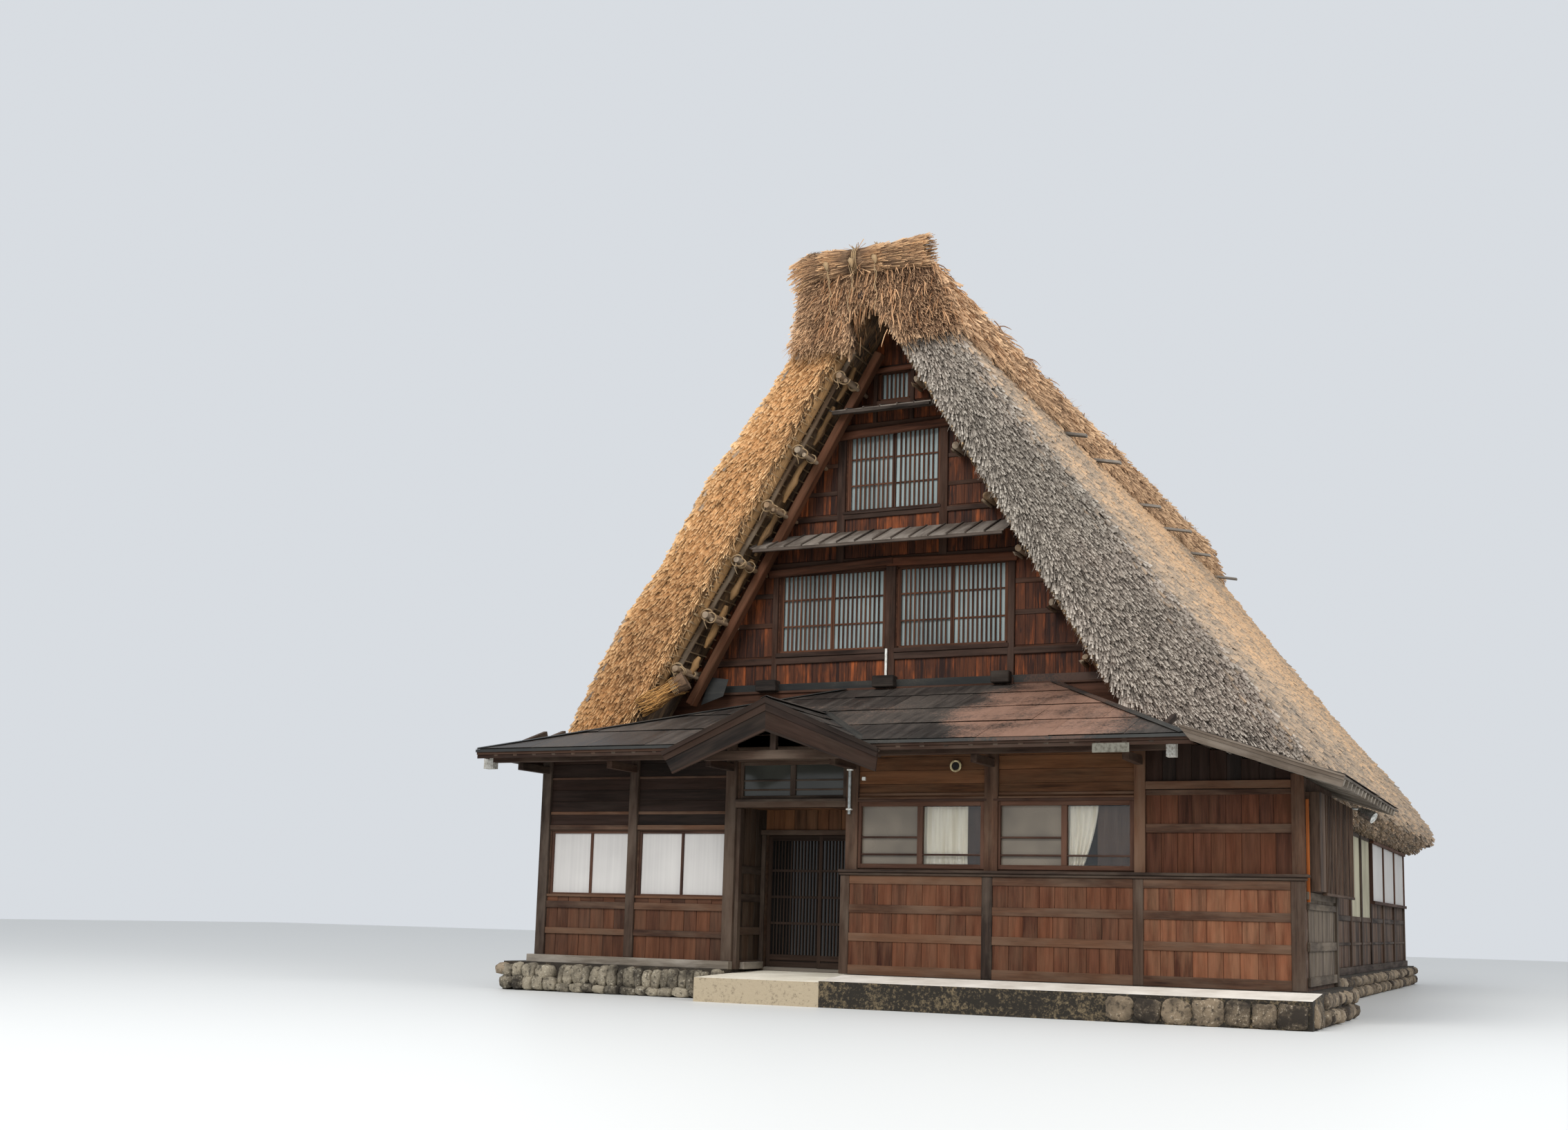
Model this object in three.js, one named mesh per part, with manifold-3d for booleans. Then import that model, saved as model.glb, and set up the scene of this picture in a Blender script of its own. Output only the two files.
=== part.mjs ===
// Minka farmhouse with a steep thatched gable roof, in millimetres, +Z up, front towards -Y
import * as THREE from 'three';
import { mergeVertices } from 'three/addons/utils/BufferGeometryUtils.js';
import Module from 'manifold-3d';

const wasm = await Module();
wasm.setup();

// Driving sizes: X from the left corner post, Y back from the front wall's face, Z from the sill's underside
const BASE_HEIGHT = 400;
const SEAT_GAP = 0.3;
const RIDGE_X = 4200;
const WALL = 90;
const LEFT_FACE = 50;
const MAIN_RIGHT = 9350;
const LEAN_RIGHT = 10060;
const GABLE_Y = 2100;
const GABLE_WALL = 100;
const BACK_WALL_Y = 17500;
const BACK_FACE_Y = BACK_WALL_Y + GABLE_WALL;
const VERGE_FRONT_Y = 1150;
const VERGE_BACK_Y = 18500;
const EAVE_Y = -950;
const EAVE_Z = 2720;
const PENT_SLOPE = 0.35;
const PENT_LEFT = -420;
const PENT_RIGHT = 9040;
const PENT_HIP_X = 8950;
const HIP_LEFT_SLOPE = 0.27;
const HIP_RIGHT_SLOPE = 0.45;
const LEAN_EAVE_X = 10630;
const LEAN_EAVE_Z = 2240;
const LEAN_SLOPE = 0.333;
const LEAN_BACK_Y = 4400;
const BACK_EAVE_Y = 19000;
const BACK_EAVE_Z = 2500;
const SHEET = 40;
const RAFTER_DEPTH = 75;
const RAFTER_WIDTH = 60;
const RAFTER_STEP = 300;
const INNER_SLOPE = 1.659;
const STRAW_LINE_X = 740;
const STRAW_LINE_Z = 3460;
const SOLE = -30;
const DOOR_Y = 750;
const DOOR_WALL_BACK = 870;
const DOORWAY = { x0: 3055, x1: 4620, z1: 1702 };
const RUNNING_GAP = 6;

// Colours and finishes read from the photograph
const finish = {
  post: { color: 0x3a2a20, roughness: 0.85 },
  board: { color: 0x5a3826, roughness: 0.85 },
  gableBoard: { color: 0x7a4526, roughness: 0.85 },
  greyWood: { color: 0x6f675e, roughness: 0.9 },
  straw: { color: 0x8b7d66, roughness: 1.0 },
  newStraw: { color: 0xb98a4c, roughness: 1.0 },
  sheetRoof: { color: 0x35383a, roughness: 0.6, metalness: 0.5 },
  stone: { color: 0x6b6357, roughness: 0.95 },
  concrete: { color: 0xb9ad9c, roughness: 0.9 },
  paper: { color: 0xd9dcdc, roughness: 0.7 },
  latticeWindow: { color: 0x9aa8ab, roughness: 0.6 },
  frosted: { color: 0x77776f, roughness: 0.3 },
  floor: { color: 0x6b4a30, roughness: 0.8 },
};

const farmhouse = new THREE.Group();
const raised = new THREE.Group();
raised.position.z = BASE_HEIGHT;
farmhouse.add(raised);

// Closed geometries go to manifold-3d solids for joins and cuts, and come back
function toSolid(geometry) {
  const bare = geometry.clone();
  bare.deleteAttribute('normal');
  bare.deleteAttribute('uv');
  const merged = mergeVertices(bare, 1e-3);
  return new wasm.Manifold(new wasm.Mesh({
    numProp: 3,
    vertProperties: new Float32Array(merged.attributes.position.array),
    triVerts: new Uint32Array(merged.index.array),
  }));
}

function toGeometry(solid) {
  const mesh = solid.getMesh();
  const geometry = new THREE.BufferGeometry();
  geometry.setAttribute('position', new THREE.BufferAttribute(new Float32Array(mesh.vertProperties), 3));
  geometry.setIndex(new THREE.BufferAttribute(new Uint32Array(mesh.triVerts), 1));
  geometry.computeVertexNormals();
  return geometry;
}

function join(geometries) {
  const [first, ...others] = geometries.map(toSolid);
  return toGeometry(others.reduce((sum, solid) => sum.add(solid), first));
}

function cut(geometry, cutters) {
  return toGeometry(cutters.map(toSolid).reduce((left, solid) => left.subtract(solid), toSolid(geometry)));
}

function common(one, other) {
  return toGeometry(toSolid(one).intersect(toSolid(other)));
}

// A box between two corners
function box(x0, x1, y0, y1, z0, z1) {
  const geometry = new THREE.BoxGeometry(x1 - x0, y1 - y0, z1 - z0);
  geometry.translate((x0 + x1) / 2, (y0 + y1) / 2, (z0 + z1) / 2);
  return geometry;
}

// An outline drawn on a plane and extruded: [x, z] from y0 to y1, [y, z] from x0 to x1, [x, y] from z0 to z1
function extruded(outline, depth) {
  const shape = new THREE.Shape(outline.map(([u, v]) => new THREE.Vector2(u, v)));
  return new THREE.ExtrudeGeometry(shape, { depth, bevelEnabled: false });
}

function alongY(outline, y0, y1) {
  return extruded(outline, y1 - y0).rotateX(Math.PI / 2).translate(0, y1, 0);
}

function alongX(outline, x0, x1) {
  const turn = new THREE.Matrix4().makeBasis(
    new THREE.Vector3(0, 1, 0), new THREE.Vector3(0, 0, 1), new THREE.Vector3(1, 0, 0));
  return extruded(outline, x1 - x0).applyMatrix4(turn).translate(x0, 0, 0);
}

function upward(outline, z0, z1) {
  return extruded(outline, z1 - z0).translate(0, 0, z0);
}

function addPart(name, geometry, look) {
  const mesh = new THREE.Mesh(geometry, new THREE.MeshStandardMaterial({ metalness: 0, ...finish[look] }));
  mesh.name = name;
  raised.add(mesh);
}

// Roof planes: the pent roof falls forward and is hipped at both ends, the lean-to falls right
const pentTop = (y) => EAVE_Z + PENT_SLOPE * (y - EAVE_Y);
const pentLeftTop = (x) => EAVE_Z + HIP_LEFT_SLOPE * (x - PENT_LEFT);
const pentRightTop = (x) => EAVE_Z + HIP_RIGHT_SLOPE * (PENT_HIP_X - x);
const leanTop = (x) => LEAN_EAVE_Z + LEAN_SLOPE * (LEAN_EAVE_X - x);
const backPentTop = (y) => BACK_EAVE_Z + PENT_SLOPE * (BACK_EAVE_Y - y);
const mirrored = (x) => 2 * RIDGE_X - x;

// The straw's inner face on the left slope at a height
const strawX = (z) => STRAW_LINE_X + (z - STRAW_LINE_Z) / INNER_SLOPE;

// Everything below the pent roof's top, raised by lift and widened by margin
const DEEP = 1500;
function underPent(lift, margin) {
  const front = alongX([
    [EAVE_Y - margin, DEEP], [GABLE_Y + margin, DEEP],
    [GABLE_Y + margin, pentTop(GABLE_Y + margin) + lift], [EAVE_Y - margin, pentTop(EAVE_Y - margin) + lift],
  ], PENT_LEFT - margin, PENT_RIGHT + margin);
  const nearX = PENT_LEFT - 2 * margin - 1;
  const farX = PENT_RIGHT + 2 * margin + 1;
  const ends = [pentLeftTop, pentRightTop].map((top) => alongY([
    [nearX, DEEP - 1], [farX, DEEP - 1], [farX, top(farX) + lift], [nearX, top(nearX) + lift],
  ], EAVE_Y - 2 * margin - 1, GABLE_Y + 2 * margin + 1));
  return ends.reduce(common, front);
}

function underLean(lift, margin) {
  const x0 = PENT_RIGHT - margin;
  const x1 = LEAN_EAVE_X + margin;
  return alongY([[x0, DEEP], [x1, DEEP], [x1, leanTop(x1) + lift], [x0, leanTop(x0) + lift]],
    EAVE_Y - margin, LEAN_BACK_Y + margin);
}

// Closed loft of one [x, z] outline that changes along Y
function lofted(outlineAt, places) {
  const loops = places.map((y) => {
    const outline = outlineAt(y).map(([x, z]) => new THREE.Vector2(x, z));
    return THREE.ShapeUtils.isClockWise(outline) ? outline.reverse() : outline;
  });
  const count = loops[0].length;
  const corners = loops.flatMap((loop, row) => loop.map((point) => [point.x, places[row], point.y]));
  const lid = THREE.ShapeUtils.triangulateShape(loops[0], []);
  const last = (loops.length - 1) * count;
  const faces = lid.flatMap(([a, b, c]) => [[a, b, c], [last + a, last + c, last + b]]);
  for (let row = 0; row < loops.length - 1; row += 1) {
    for (let index = 0; index < count; index += 1) {
      const a = row * count + index;
      const b = row * count + (index + 1) % count;
      faces.push([a, b + count, b], [a, a + count, b + count]);
    }
  }
  const geometry = new THREE.BufferGeometry();
  geometry.setAttribute('position', new THREE.Float32BufferAttribute(corners.flat(), 3));
  geometry.setIndex(faces.flat());
  return geometry;
}

// Thatch: each slope is one solid from its thick cut eave to the ridge plane, sizes out from the ridge.
// Soft swells run down the reed, where it is bound tighter over the rafters
const INNER_APEX_Z = 9190;
const THATCH_TOP_Z = 9250;
const slopes = {
  left: {
    sign: -1,
    outer: [
      [980, 8840], [1280, 8270], [1750, 7620], [2480, 6680], [3110, 5630],
      [3760, 4760], [4230, 3880], [4600, 3170], [4680, 2690],
    ],
    inner: [[4080, 2330], [3500, 3400]],
  },
  right: {
    sign: 1,
    outer: [[980, 8840], [2300, 7020], [3950, 4900], [4950, 3720], [5690, 2690]],
    inner: [[5200, 2330], [3650, 3170]],
  },
};

const SKIN_STEPS = 16;
const SWELL = 19;
const SWELL_STEP = 1214;
const SWELL_WANDER = 0.9;
const swell = (y, step) => SWELL * Math.sin(Math.PI * step / SKIN_STEPS)
  * Math.cos(2 * Math.PI * (y - VERGE_FRONT_Y) / SWELL_STEP + SWELL_WANDER * Math.sin(step));
const stationCount = Math.round((VERGE_BACK_Y - VERGE_FRONT_Y) / (SWELL_STEP / 4));
const stations = Array.from({ length: stationCount + 1 },
  (_, index) => VERGE_FRONT_Y + (VERGE_BACK_Y - VERGE_FRONT_Y) * index / stationCount);

function thatch(side, grow) {
  const { sign, outer, inner } = slopes[side];
  const curve = new THREE.SplineCurve(outer.map(([x, z]) => new THREE.Vector2(x, z)));
  const skin = curve.getPoints(SKIN_STEPS);
  const tip = skin.pop();
  const apexHalf = RIDGE_X - strawX(INNER_APEX_Z);
  const outlineAt = (y) => [
    [-grow, THATCH_TOP_Z + grow],
    ...skin.map((point, step) => {
      const { x, y: z } = curve.getTangent(step / SKIN_STEPS);
      return [point.x - z * swell(y, step) + grow, point.y + x * swell(y, step) + grow];
    }),
    [tip.x + grow, tip.y - grow],
    ...inner.map(([x, z]) => [x - grow, z - grow]),
    [apexHalf - grow, INNER_APEX_Z - grow],
    [-grow, INNER_APEX_Z - grow],
  ].map(([x, z]) => [RIDGE_X + sign * x, z]);
  const places = [VERGE_FRONT_Y - grow, ...stations.slice(1, -1), VERGE_BACK_Y + grow];
  return lofted(outlineAt, places);
}

const strawLeft = thatch('left', SEAT_GAP);
const strawRight = thatch('right', SEAT_GAP);
addPart('thatch_left', cut(thatch('left', 0), [underPent(SEAT_GAP, 1)]), 'straw');
addPart('thatch_right', cut(thatch('right', 0), [underPent(SEAT_GAP, 1), underLean(SEAT_GAP, 1)]), 'straw');

// Ridge cap: a saddle of straw over both slopes, its front end a tied roll across the gable
const CAP_FRONT_Y = 950;
const CAP_BACK_Y = 18650;
const CAP_LOW_Z = 8480;
const CAP_ARCH_Z = 9000;
const VERGE_OUT = VERGE_FRONT_Y - CAP_FRONT_Y;
const capSide = new THREE.SplineCurve([
  [1330, CAP_LOW_Z], [1130, 9000], [930, 9400], [520, 9640], [0, 9700],
].map(([x, z]) => new THREE.Vector2(x, z))).getPoints(10);
const capOutline = [
  ...capSide.map((point) => [RIDGE_X + point.x, point.y]),
  ...capSide.slice(0, -1).reverse().map((point) => [RIDGE_X - point.x, point.y]),
];
const underCap = CAP_LOW_Z - 100;
const HOLLOW_MARGIN = 3;
const hollowX = (z) => strawX(z) - HOLLOW_MARGIN;
const capHollow = (archZ, y0, y1) => alongY([
  [hollowX(underCap), underCap], [mirrored(hollowX(underCap)), underCap],
  [mirrored(hollowX(archZ)), archZ], [hollowX(archZ), archZ],
], y0, y1);
const ROLL_HALF = 985;
const ROLL_RADIUS = 190;
const ROLL_Z = 9580;
const roll = new THREE.CylinderGeometry(ROLL_RADIUS, ROLL_RADIUS, 2 * ROLL_HALF, 16)
  .rotateZ(Math.PI / 2).translate(RIDGE_X - 70, CAP_FRONT_Y + ROLL_RADIUS / 2, ROLL_Z);
addPart('ridge_cap', join([
  cut(alongY(capOutline, CAP_FRONT_Y, CAP_BACK_Y), [
    thatch('left', 1), thatch('right', 1),
    capHollow(INNER_APEX_Z, CAP_FRONT_Y - 10, CAP_BACK_Y + 10),
    capHollow(CAP_ARCH_Z, CAP_FRONT_Y - 10, CAP_FRONT_Y + VERGE_OUT - 1),
    capHollow(CAP_ARCH_Z, VERGE_BACK_Y + 1, CAP_BACK_Y + 10),
  ]),
  roll,
]), 'newStraw');

// Stone base under the walls, the concrete landing at the door and the slab along the right half
const BASE_FRONT = -180;
const SLAB_FRONT = -900;
const BASE_RIGHT = 10250;
const BASE_LEFT = -350;
const MAIN_BASE = { left: -150, right: 9520, back: 17750 };
const LEAN_BASE_BACK = 2350;
const LANDING = { x0: 2950, x1: 4620 };
const LANDING_TOP = -50;
const LANDING_EDGE = -110;
const SLAB_TOP = -35;
const SLAB_EDGE = -95;
addPart('stone_base', upward([
  [BASE_LEFT, BASE_FRONT], [LANDING.x0, BASE_FRONT], [LANDING.x0, DOOR_WALL_BACK], [LANDING.x1, DOOR_WALL_BACK],
  [LANDING.x1, BASE_FRONT], [BASE_RIGHT, BASE_FRONT], [BASE_RIGHT, LEAN_BASE_BACK],
  [MAIN_BASE.right, LEAN_BASE_BACK], [MAIN_BASE.right, MAIN_BASE.back],
  [MAIN_BASE.left, MAIN_BASE.back], [MAIN_BASE.left, 300], [BASE_LEFT, 300],
], -BASE_HEIGHT, SOLE), 'stone');
addPart('door_landing', alongX([
  [SLAB_FRONT, -BASE_HEIGHT], [DOOR_WALL_BACK, -BASE_HEIGHT], [DOOR_WALL_BACK, LANDING_TOP],
  [SLAB_FRONT, LANDING_EDGE],
], LANDING.x0, LANDING.x1), 'concrete');
addPart('front_slab', alongX([
  [SLAB_FRONT, -BASE_HEIGHT], [BASE_FRONT, -BASE_HEIGHT], [BASE_FRONT, SLAB_TOP], [SLAB_FRONT, SLAB_EDGE],
], LANDING.x1, BASE_RIGHT), 'concrete');

// Floors of the four storeys, the upper ones trimmed by the straw's inner faces
const FLOOR_2 = 3460;
const FLOOR_3 = 5760;
const FLOOR_ATTIC = 7640;
const FLOOR_THICK = 80;
const innerLeft = LEFT_FACE + WALL;
const innerRight = MAIN_RIGHT - WALL;
const leanInner = LEAN_RIGHT - WALL;
const WALL_BACK = 140;
const PORCH = { left: 2880, right: 4700 };
addPart('ground_floor', upward([
  [innerLeft, WALL_BACK], [PORCH.left, WALL_BACK],
  [PORCH.left, DOOR_WALL_BACK], [PORCH.right, DOOR_WALL_BACK],
  [PORCH.right, WALL_BACK], [leanInner, WALL_BACK], [leanInner, GABLE_Y + 10],
  [innerRight, GABLE_Y + 10], [innerRight, BACK_WALL_Y], [innerLeft, BACK_WALL_Y],
], SOLE, 40), 'floor');
const upperFloors = { second_floor: FLOOR_2, third_floor: FLOOR_3, attic_floor: FLOOR_ATTIC };
for (const [name, top] of Object.entries(upperFloors)) {
  const x0 = strawX(top) - 200;
  const plate = box(x0, mirrored(x0), GABLE_Y + GABLE_WALL, BACK_WALL_Y, top - FLOOR_THICK, top);
  addPart(name, cut(plate, [strawLeft, strawRight]), 'floor');
}

// A window: frame, stiles, rails and a thin pane, one closed solid in a wall facing Y or X
function windowPanel(facing, u0, u1, d0, d1, z0, z1, { stiles = [], rails = [], bar = 40 }) {
  const place = facing === 'y'
    ? (a0, a1, b0, b1, c0, c1) => box(a0, a1, b0, b1, c0, c1)
    : (a0, a1, b0, b1, c0, c1) => box(b0, b1, a0, a1, c0, c1);
  const middle = (d0 + d1) / 2;
  return join([
    place(u0, u0 + bar, d0, d1, z0, z1),
    place(u1 - bar, u1, d0, d1, z0, z1),
    place(u0, u1, d0, d1, z0, z0 + bar),
    place(u0, u1, d0, d1, z1 - bar, z1),
    place(u0 + 1, u1 - 1, middle - 6, middle + 6, z0 + 1, z1 - 1),
    ...stiles.map((u) => place(u - bar / 2, u + bar / 2, d0 + 4, d1 - 4, z0 + 2, z1 - 2)),
    ...rails.map((z) => place(u0 + 2, u1 - 2, d0 + 8, d1 - 8, z - 12, z + 12)),
  ]);
}

// Front timber frame, proud of the wall by the depth of its posts
const FRAME = 50;
const WALL_FACE = FRAME;
const HEAD_TOP = pentTop(0) - SHEET - RAFTER_DEPTH - SEAT_GAP;
const HEAD_LOW = 2780;
const SILL_FACE = -60;
const posts = {
  A: [0, 140], B: [1380, 1510], C: [2820, 2970], E: [4520, 4680], F: [6330, 6500], G: [8150, 8280],
};
const CORNER_POST = [9920, LEAN_RIGHT];
const CORNER_TOP = 2300;
const LEFT_END = 2970;
const SILL_LEFT = -80;
const SILL_TOP = 70;
const RAIL_FACE = 15;
const leftRails = [[350, 430], [690, 780], [840, 870], [1730, 1790]];
const windowHead = [2080, 2130];
const bayRails = [[2200, 2290], [1700, 1800]];
const wainscotPosts = [[4490, 4610], [6330, 6460], [8150, 8270], [9910, LEAN_RIGHT]];
const wainscotRails = [[SOLE, 90], [370, 470], [710, 820]];
const WAINSCOT_BACK = -30;
const CAP_FACE = -100;
const CAP_TOP = 1240;
const CAP_LOW = 1170;
const overSheet = cut(box(-1000, PENT_RIGHT, -2000, GABLE_Y - 1, 2600, 5000),
  [underPent(-SHEET - SEAT_GAP, 20)]);
addPart('front_frame_left', cut(join([
  ...['A', 'B', 'C'].map((key) => box(...posts[key], 0, FRAME, SOLE, HEAD_TOP)),
  box(SILL_LEFT, LEFT_END, SILL_FACE, FRAME, SOLE, SILL_TOP),
  box(0, LEFT_END, 0, FRAME, HEAD_LOW, HEAD_TOP),
  ...leftRails.map(([z0, z1]) => box(posts.A[0] + 100, posts.C[0] + 40, RAIL_FACE, FRAME, z0, z1)),
]), [overSheet]), 'post');
addPart('front_frame_right', join([
  ...['E', 'F', 'G'].map((key) => box(...posts[key], 0, FRAME, CAP_TOP, HEAD_TOP)),
  box(...CORNER_POST, 0, FRAME, CAP_TOP, CORNER_TOP),
  box(posts.E[0], posts.G[1], 0, FRAME, HEAD_LOW, HEAD_TOP),
  box(posts.E[0] + 80, posts.G[0] + 50, RAIL_FACE, FRAME, ...windowHead),
  ...bayRails.map((levels) => box(posts.G[0] + 50, CORNER_POST[0] + 60, RAIL_FACE - 10, FRAME, ...levels)),
]), 'post');
addPart('wainscot_frame', join([
  ...wainscotPosts.map(([x0, x1]) => box(x0, x1, SILL_FACE, WAINSCOT_BACK, SOLE, CAP_TOP)),
  ...wainscotRails.map(([z0, z1]) => (
    box(wainscotPosts[0][0], LEAN_RIGHT, SILL_FACE + 5, WAINSCOT_BACK, z0, z1))),
  box(wainscotPosts[0][0], LEAN_RIGHT + 50, CAP_FACE, WALL_FACE, CAP_LOW, CAP_TOP),
]), 'post');

// Front walls: the left one with two shoji openings, the right one with two window openings
const shojiHoles = [[160, 1415], [1530, 2820]];
const sashHoles = [[4660, 6330], [6470, 8150]];
const SHOJI_Z = [860, 1715];
const SASH_Z = [1260, 2075];
addPart('front_wall_left', cut(box(0, LEFT_END, WALL_FACE, WALL_BACK, SOLE, HEAD_TOP),
  [overSheet, ...shojiHoles.map(([x0, x1]) => box(x0, x1, 0, 200, ...SHOJI_Z))]), 'board');
const leanWallTop = (x) => leanTop(x) - SHEET - RAFTER_DEPTH - 2;
const upperWall = alongY([
  [posts.E[0], CAP_LOW - 10], [LEAN_RIGHT, CAP_LOW - 10], [LEAN_RIGHT, leanWallTop(LEAN_RIGHT)],
  [PENT_RIGHT, leanWallTop(PENT_RIGHT)], [PENT_RIGHT - 10, HEAD_TOP], [posts.E[0], HEAD_TOP],
], WALL_FACE, WALL_BACK);
const lowerWall = box(posts.E[0], LEAN_RIGHT, WAINSCOT_BACK, WALL_BACK, SOLE, CAP_LOW);
addPart('front_wall_right', cut(join([upperWall, lowerWall]),
  [overSheet, ...sashHoles.map(([x0, x1]) => box(x0, x1, 0, 200, ...SASH_Z))]), 'board');
shojiHoles.forEach(([x0, x1], index) => addPart(`shoji_window_${index + 1}`,
  windowPanel('y', x0, x1, 65, 115, ...SHOJI_Z, { stiles: [(x0 + x1) / 2], bar: 36 }), 'paper'));
const SASH_RAILS = [1430, 1640];
sashHoles.forEach(([x0, x1], index) => addPart(`sash_window_${index + 1}`,
  windowPanel('y', x0, x1, FRAME, 120, ...SASH_Z,
    { stiles: [(x0 + x1) / 2], rails: SASH_RAILS, bar: 45 }), 'frosted'));

// Recessed entrance: side walls, head wall over the doorway, ceiling, lintel with its transom
const PORCH_CEILING = [2040, 2065];
addPart('porch_left_wall', join([
  box(PORCH.left, LEFT_END, WALL_BACK, DOOR_WALL_BACK, SOLE, HEAD_TOP),
  box(LEFT_END - 10, DOORWAY.x0, DOOR_Y, DOOR_WALL_BACK, LANDING_TOP, HEAD_TOP),
]), 'board');
addPart('porch_right_wall', box(DOORWAY.x1, PORCH.right, WALL_BACK, DOOR_WALL_BACK, SOLE, HEAD_TOP), 'board');
addPart('door_head_wall', join([
  box(DOORWAY.x0, DOORWAY.x1, DOOR_Y, DOOR_WALL_BACK, DOORWAY.z1, HEAD_TOP),
  box(LEFT_END, DOORWAY.x1, WALL_BACK, DOOR_Y, ...PORCH_CEILING),
]), 'board');
const TRANSOM = { x0: 3000, x1: 4495, z0: 2120, z1: 2600 };
const LINTEL = [2010, 2110];
addPart('transom_wall', cut(join([
  box(LEFT_END, posts.E[0], WALL_FACE, WALL_BACK, LINTEL[0], HEAD_TOP),
  box(LEFT_END, posts.E[0], 0, WALL_FACE + 10, ...LINTEL),
  box(LEFT_END, posts.E[0], 0, WALL_FACE + 10, HEAD_LOW, HEAD_TOP),
]), [box(TRANSOM.x0, TRANSOM.x1, -10, 200, TRANSOM.z0, TRANSOM.z1)]), 'post');
addPart('transom_window', windowPanel('y', TRANSOM.x0, TRANSOM.x1, 60, 120, TRANSOM.z0, TRANSOM.z1,
  { stiles: [(TRANSOM.x0 + TRANSOM.x1) / 2], rails: [(TRANSOM.z0 + TRANSOM.z1) / 2] }), 'frosted');

// Sliding doors: each leaf runs on its own rail of the threshold, the right one in front
const THRESHOLD_TOP = -12;
const LEAF_BOTTOM = -4;
const RAIL_TOP = LEAF_BOTTOM - SEAT_GAP;
const RAIL_HALF = 5;
const LEAF_THICK = 34;
const LEAF_WIDTH = 805;
const LEAF_FOOT = 150;
const LEAF_HEAD = 70;
const LEAF_STILE = 55;
const leafRails = [560, 900, 1240];
const tracks = { right: DOOR_Y + 20, left: DOOR_Y + 66 };
addPart('door_threshold', join([
  box(DOORWAY.x0, DOORWAY.x1, DOOR_Y, DOOR_WALL_BACK, LANDING_TOP, THRESHOLD_TOP),
  ...Object.values(tracks).map((y) => (
    box(DOORWAY.x0 + 1, DOORWAY.x1 - 1, y + LEAF_THICK / 2 - RAIL_HALF, y + LEAF_THICK / 2 + RAIL_HALF,
      THRESHOLD_TOP - 8, RAIL_TOP))),
]), 'post');
const leafTop = DOORWAY.z1 - RUNNING_GAP;
function doorLeaf(name, x0, y0) {
  const x1 = x0 + LEAF_WIDTH;
  const y1 = y0 + LEAF_THICK;
  addPart(name, join([
    box(x0, x0 + LEAF_STILE, y0, y1, LEAF_BOTTOM, leafTop),
    box(x1 - LEAF_STILE, x1, y0, y1, LEAF_BOTTOM, leafTop),
    box(x0, x1, y0, y1, LEAF_BOTTOM, LEAF_FOOT),
    box(x0, x1, y0, y1, leafTop - LEAF_HEAD, leafTop),
    box(x0 + 1, x1 - 1, y0 + 20, y1 - 4, 1, leafTop - 1),
    ...leafRails.map((z) => box(x0 + 1, x1 - 1, y0 + 10, y1 - 2, z - 20, z + 20)),
  ]), 'post');
}
doorLeaf('door_leaf_left', DOORWAY.x0 + RUNNING_GAP, tracks.left);
doorLeaf('door_leaf_right', DOORWAY.x1 - RUNNING_GAP - LEAF_WIDTH, tracks.right);

// Side and back walls, their tops trimmed to the straw
const sideWallTop = 2900;
const SIDE_SHOJI_Z = [1180, 2190];
const SIDE_ROW = [11950, 17350];
const sideRowHole = (x0, x1) => box(x0, x1, ...SIDE_ROW, ...SIDE_SHOJI_Z);
const rowStiles = [1, 2].map((third) => SIDE_ROW[0] + (SIDE_ROW[1] - SIDE_ROW[0]) * third / 3);
const leftUnderPent = pentLeftTop(LEFT_FACE) - SHEET - 1;
addPart('left_wall', join([
  cut(box(LEFT_FACE, innerLeft, GABLE_Y, BACK_WALL_Y, SOLE, sideWallTop), [strawLeft, sideRowHole(0, 200)]),
  box(LEFT_FACE, innerLeft, WALL_BACK, GABLE_Y, SOLE, leftUnderPent),
]), 'board');
const overLean = cut(box(9000, 12000, -2000, LEAN_BACK_Y + 5, 2000, 5000),
  [underLean(-SHEET - SEAT_GAP, 20)]);
addPart('right_wall', cut(box(innerRight, MAIN_RIGHT, GABLE_Y + 10, BACK_WALL_Y, SOLE, sideWallTop),
  [strawRight, overLean, sideRowHole(innerRight - 50, MAIN_RIGHT + 50)]), 'board');
addPart('right_shoji_row', windowPanel('x', ...SIDE_ROW, innerRight + 20, MAIN_RIGHT - 10, ...SIDE_SHOJI_Z,
  { stiles: rowStiles, bar: 90 }), 'paper');
addPart('left_shoji_row', windowPanel('x', ...SIDE_ROW, LEFT_FACE + 10, innerLeft - 20, ...SIDE_SHOJI_Z,
  { stiles: rowStiles, bar: 90 }), 'paper');
const LEAN_WALL_TOP = leanTop(LEAN_RIGHT) - SHEET - RAFTER_DEPTH - SEAT_GAP;
addPart('lean_to_side_wall', join([
  box(leanInner, LEAN_RIGHT, WALL_BACK, GABLE_Y + 100, SOLE, LEAN_WALL_TOP),
  box(MAIN_RIGHT, LEAN_RIGHT, GABLE_Y + 10, GABLE_Y + 100, SOLE, LEAN_WALL_TOP),
]), 'board');
const SHUTTER = { depth: 140, y0: 100, y1: 2900, z0: 1060, z1: 2160 };
addPart('shutter_box', box(LEAN_RIGHT, LEAN_RIGHT + SHUTTER.depth, SHUTTER.y0, SHUTTER.y1, SHUTTER.z0,
  SHUTTER.z1), 'greyWood');
const backHoles = [[1700, 3400], [5900, 7600]];
addPart('back_wall', cut(box(LEFT_FACE, MAIN_RIGHT, BACK_WALL_Y, BACK_FACE_Y, SOLE, FLOOR_2 - FLOOR_THICK), [
  strawLeft, strawRight,
  ...backHoles.map(([x0, x1]) => box(x0, x1, BACK_WALL_Y - 50, BACK_FACE_Y + 50, ...SASH_Z)),
]), 'board');
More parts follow.
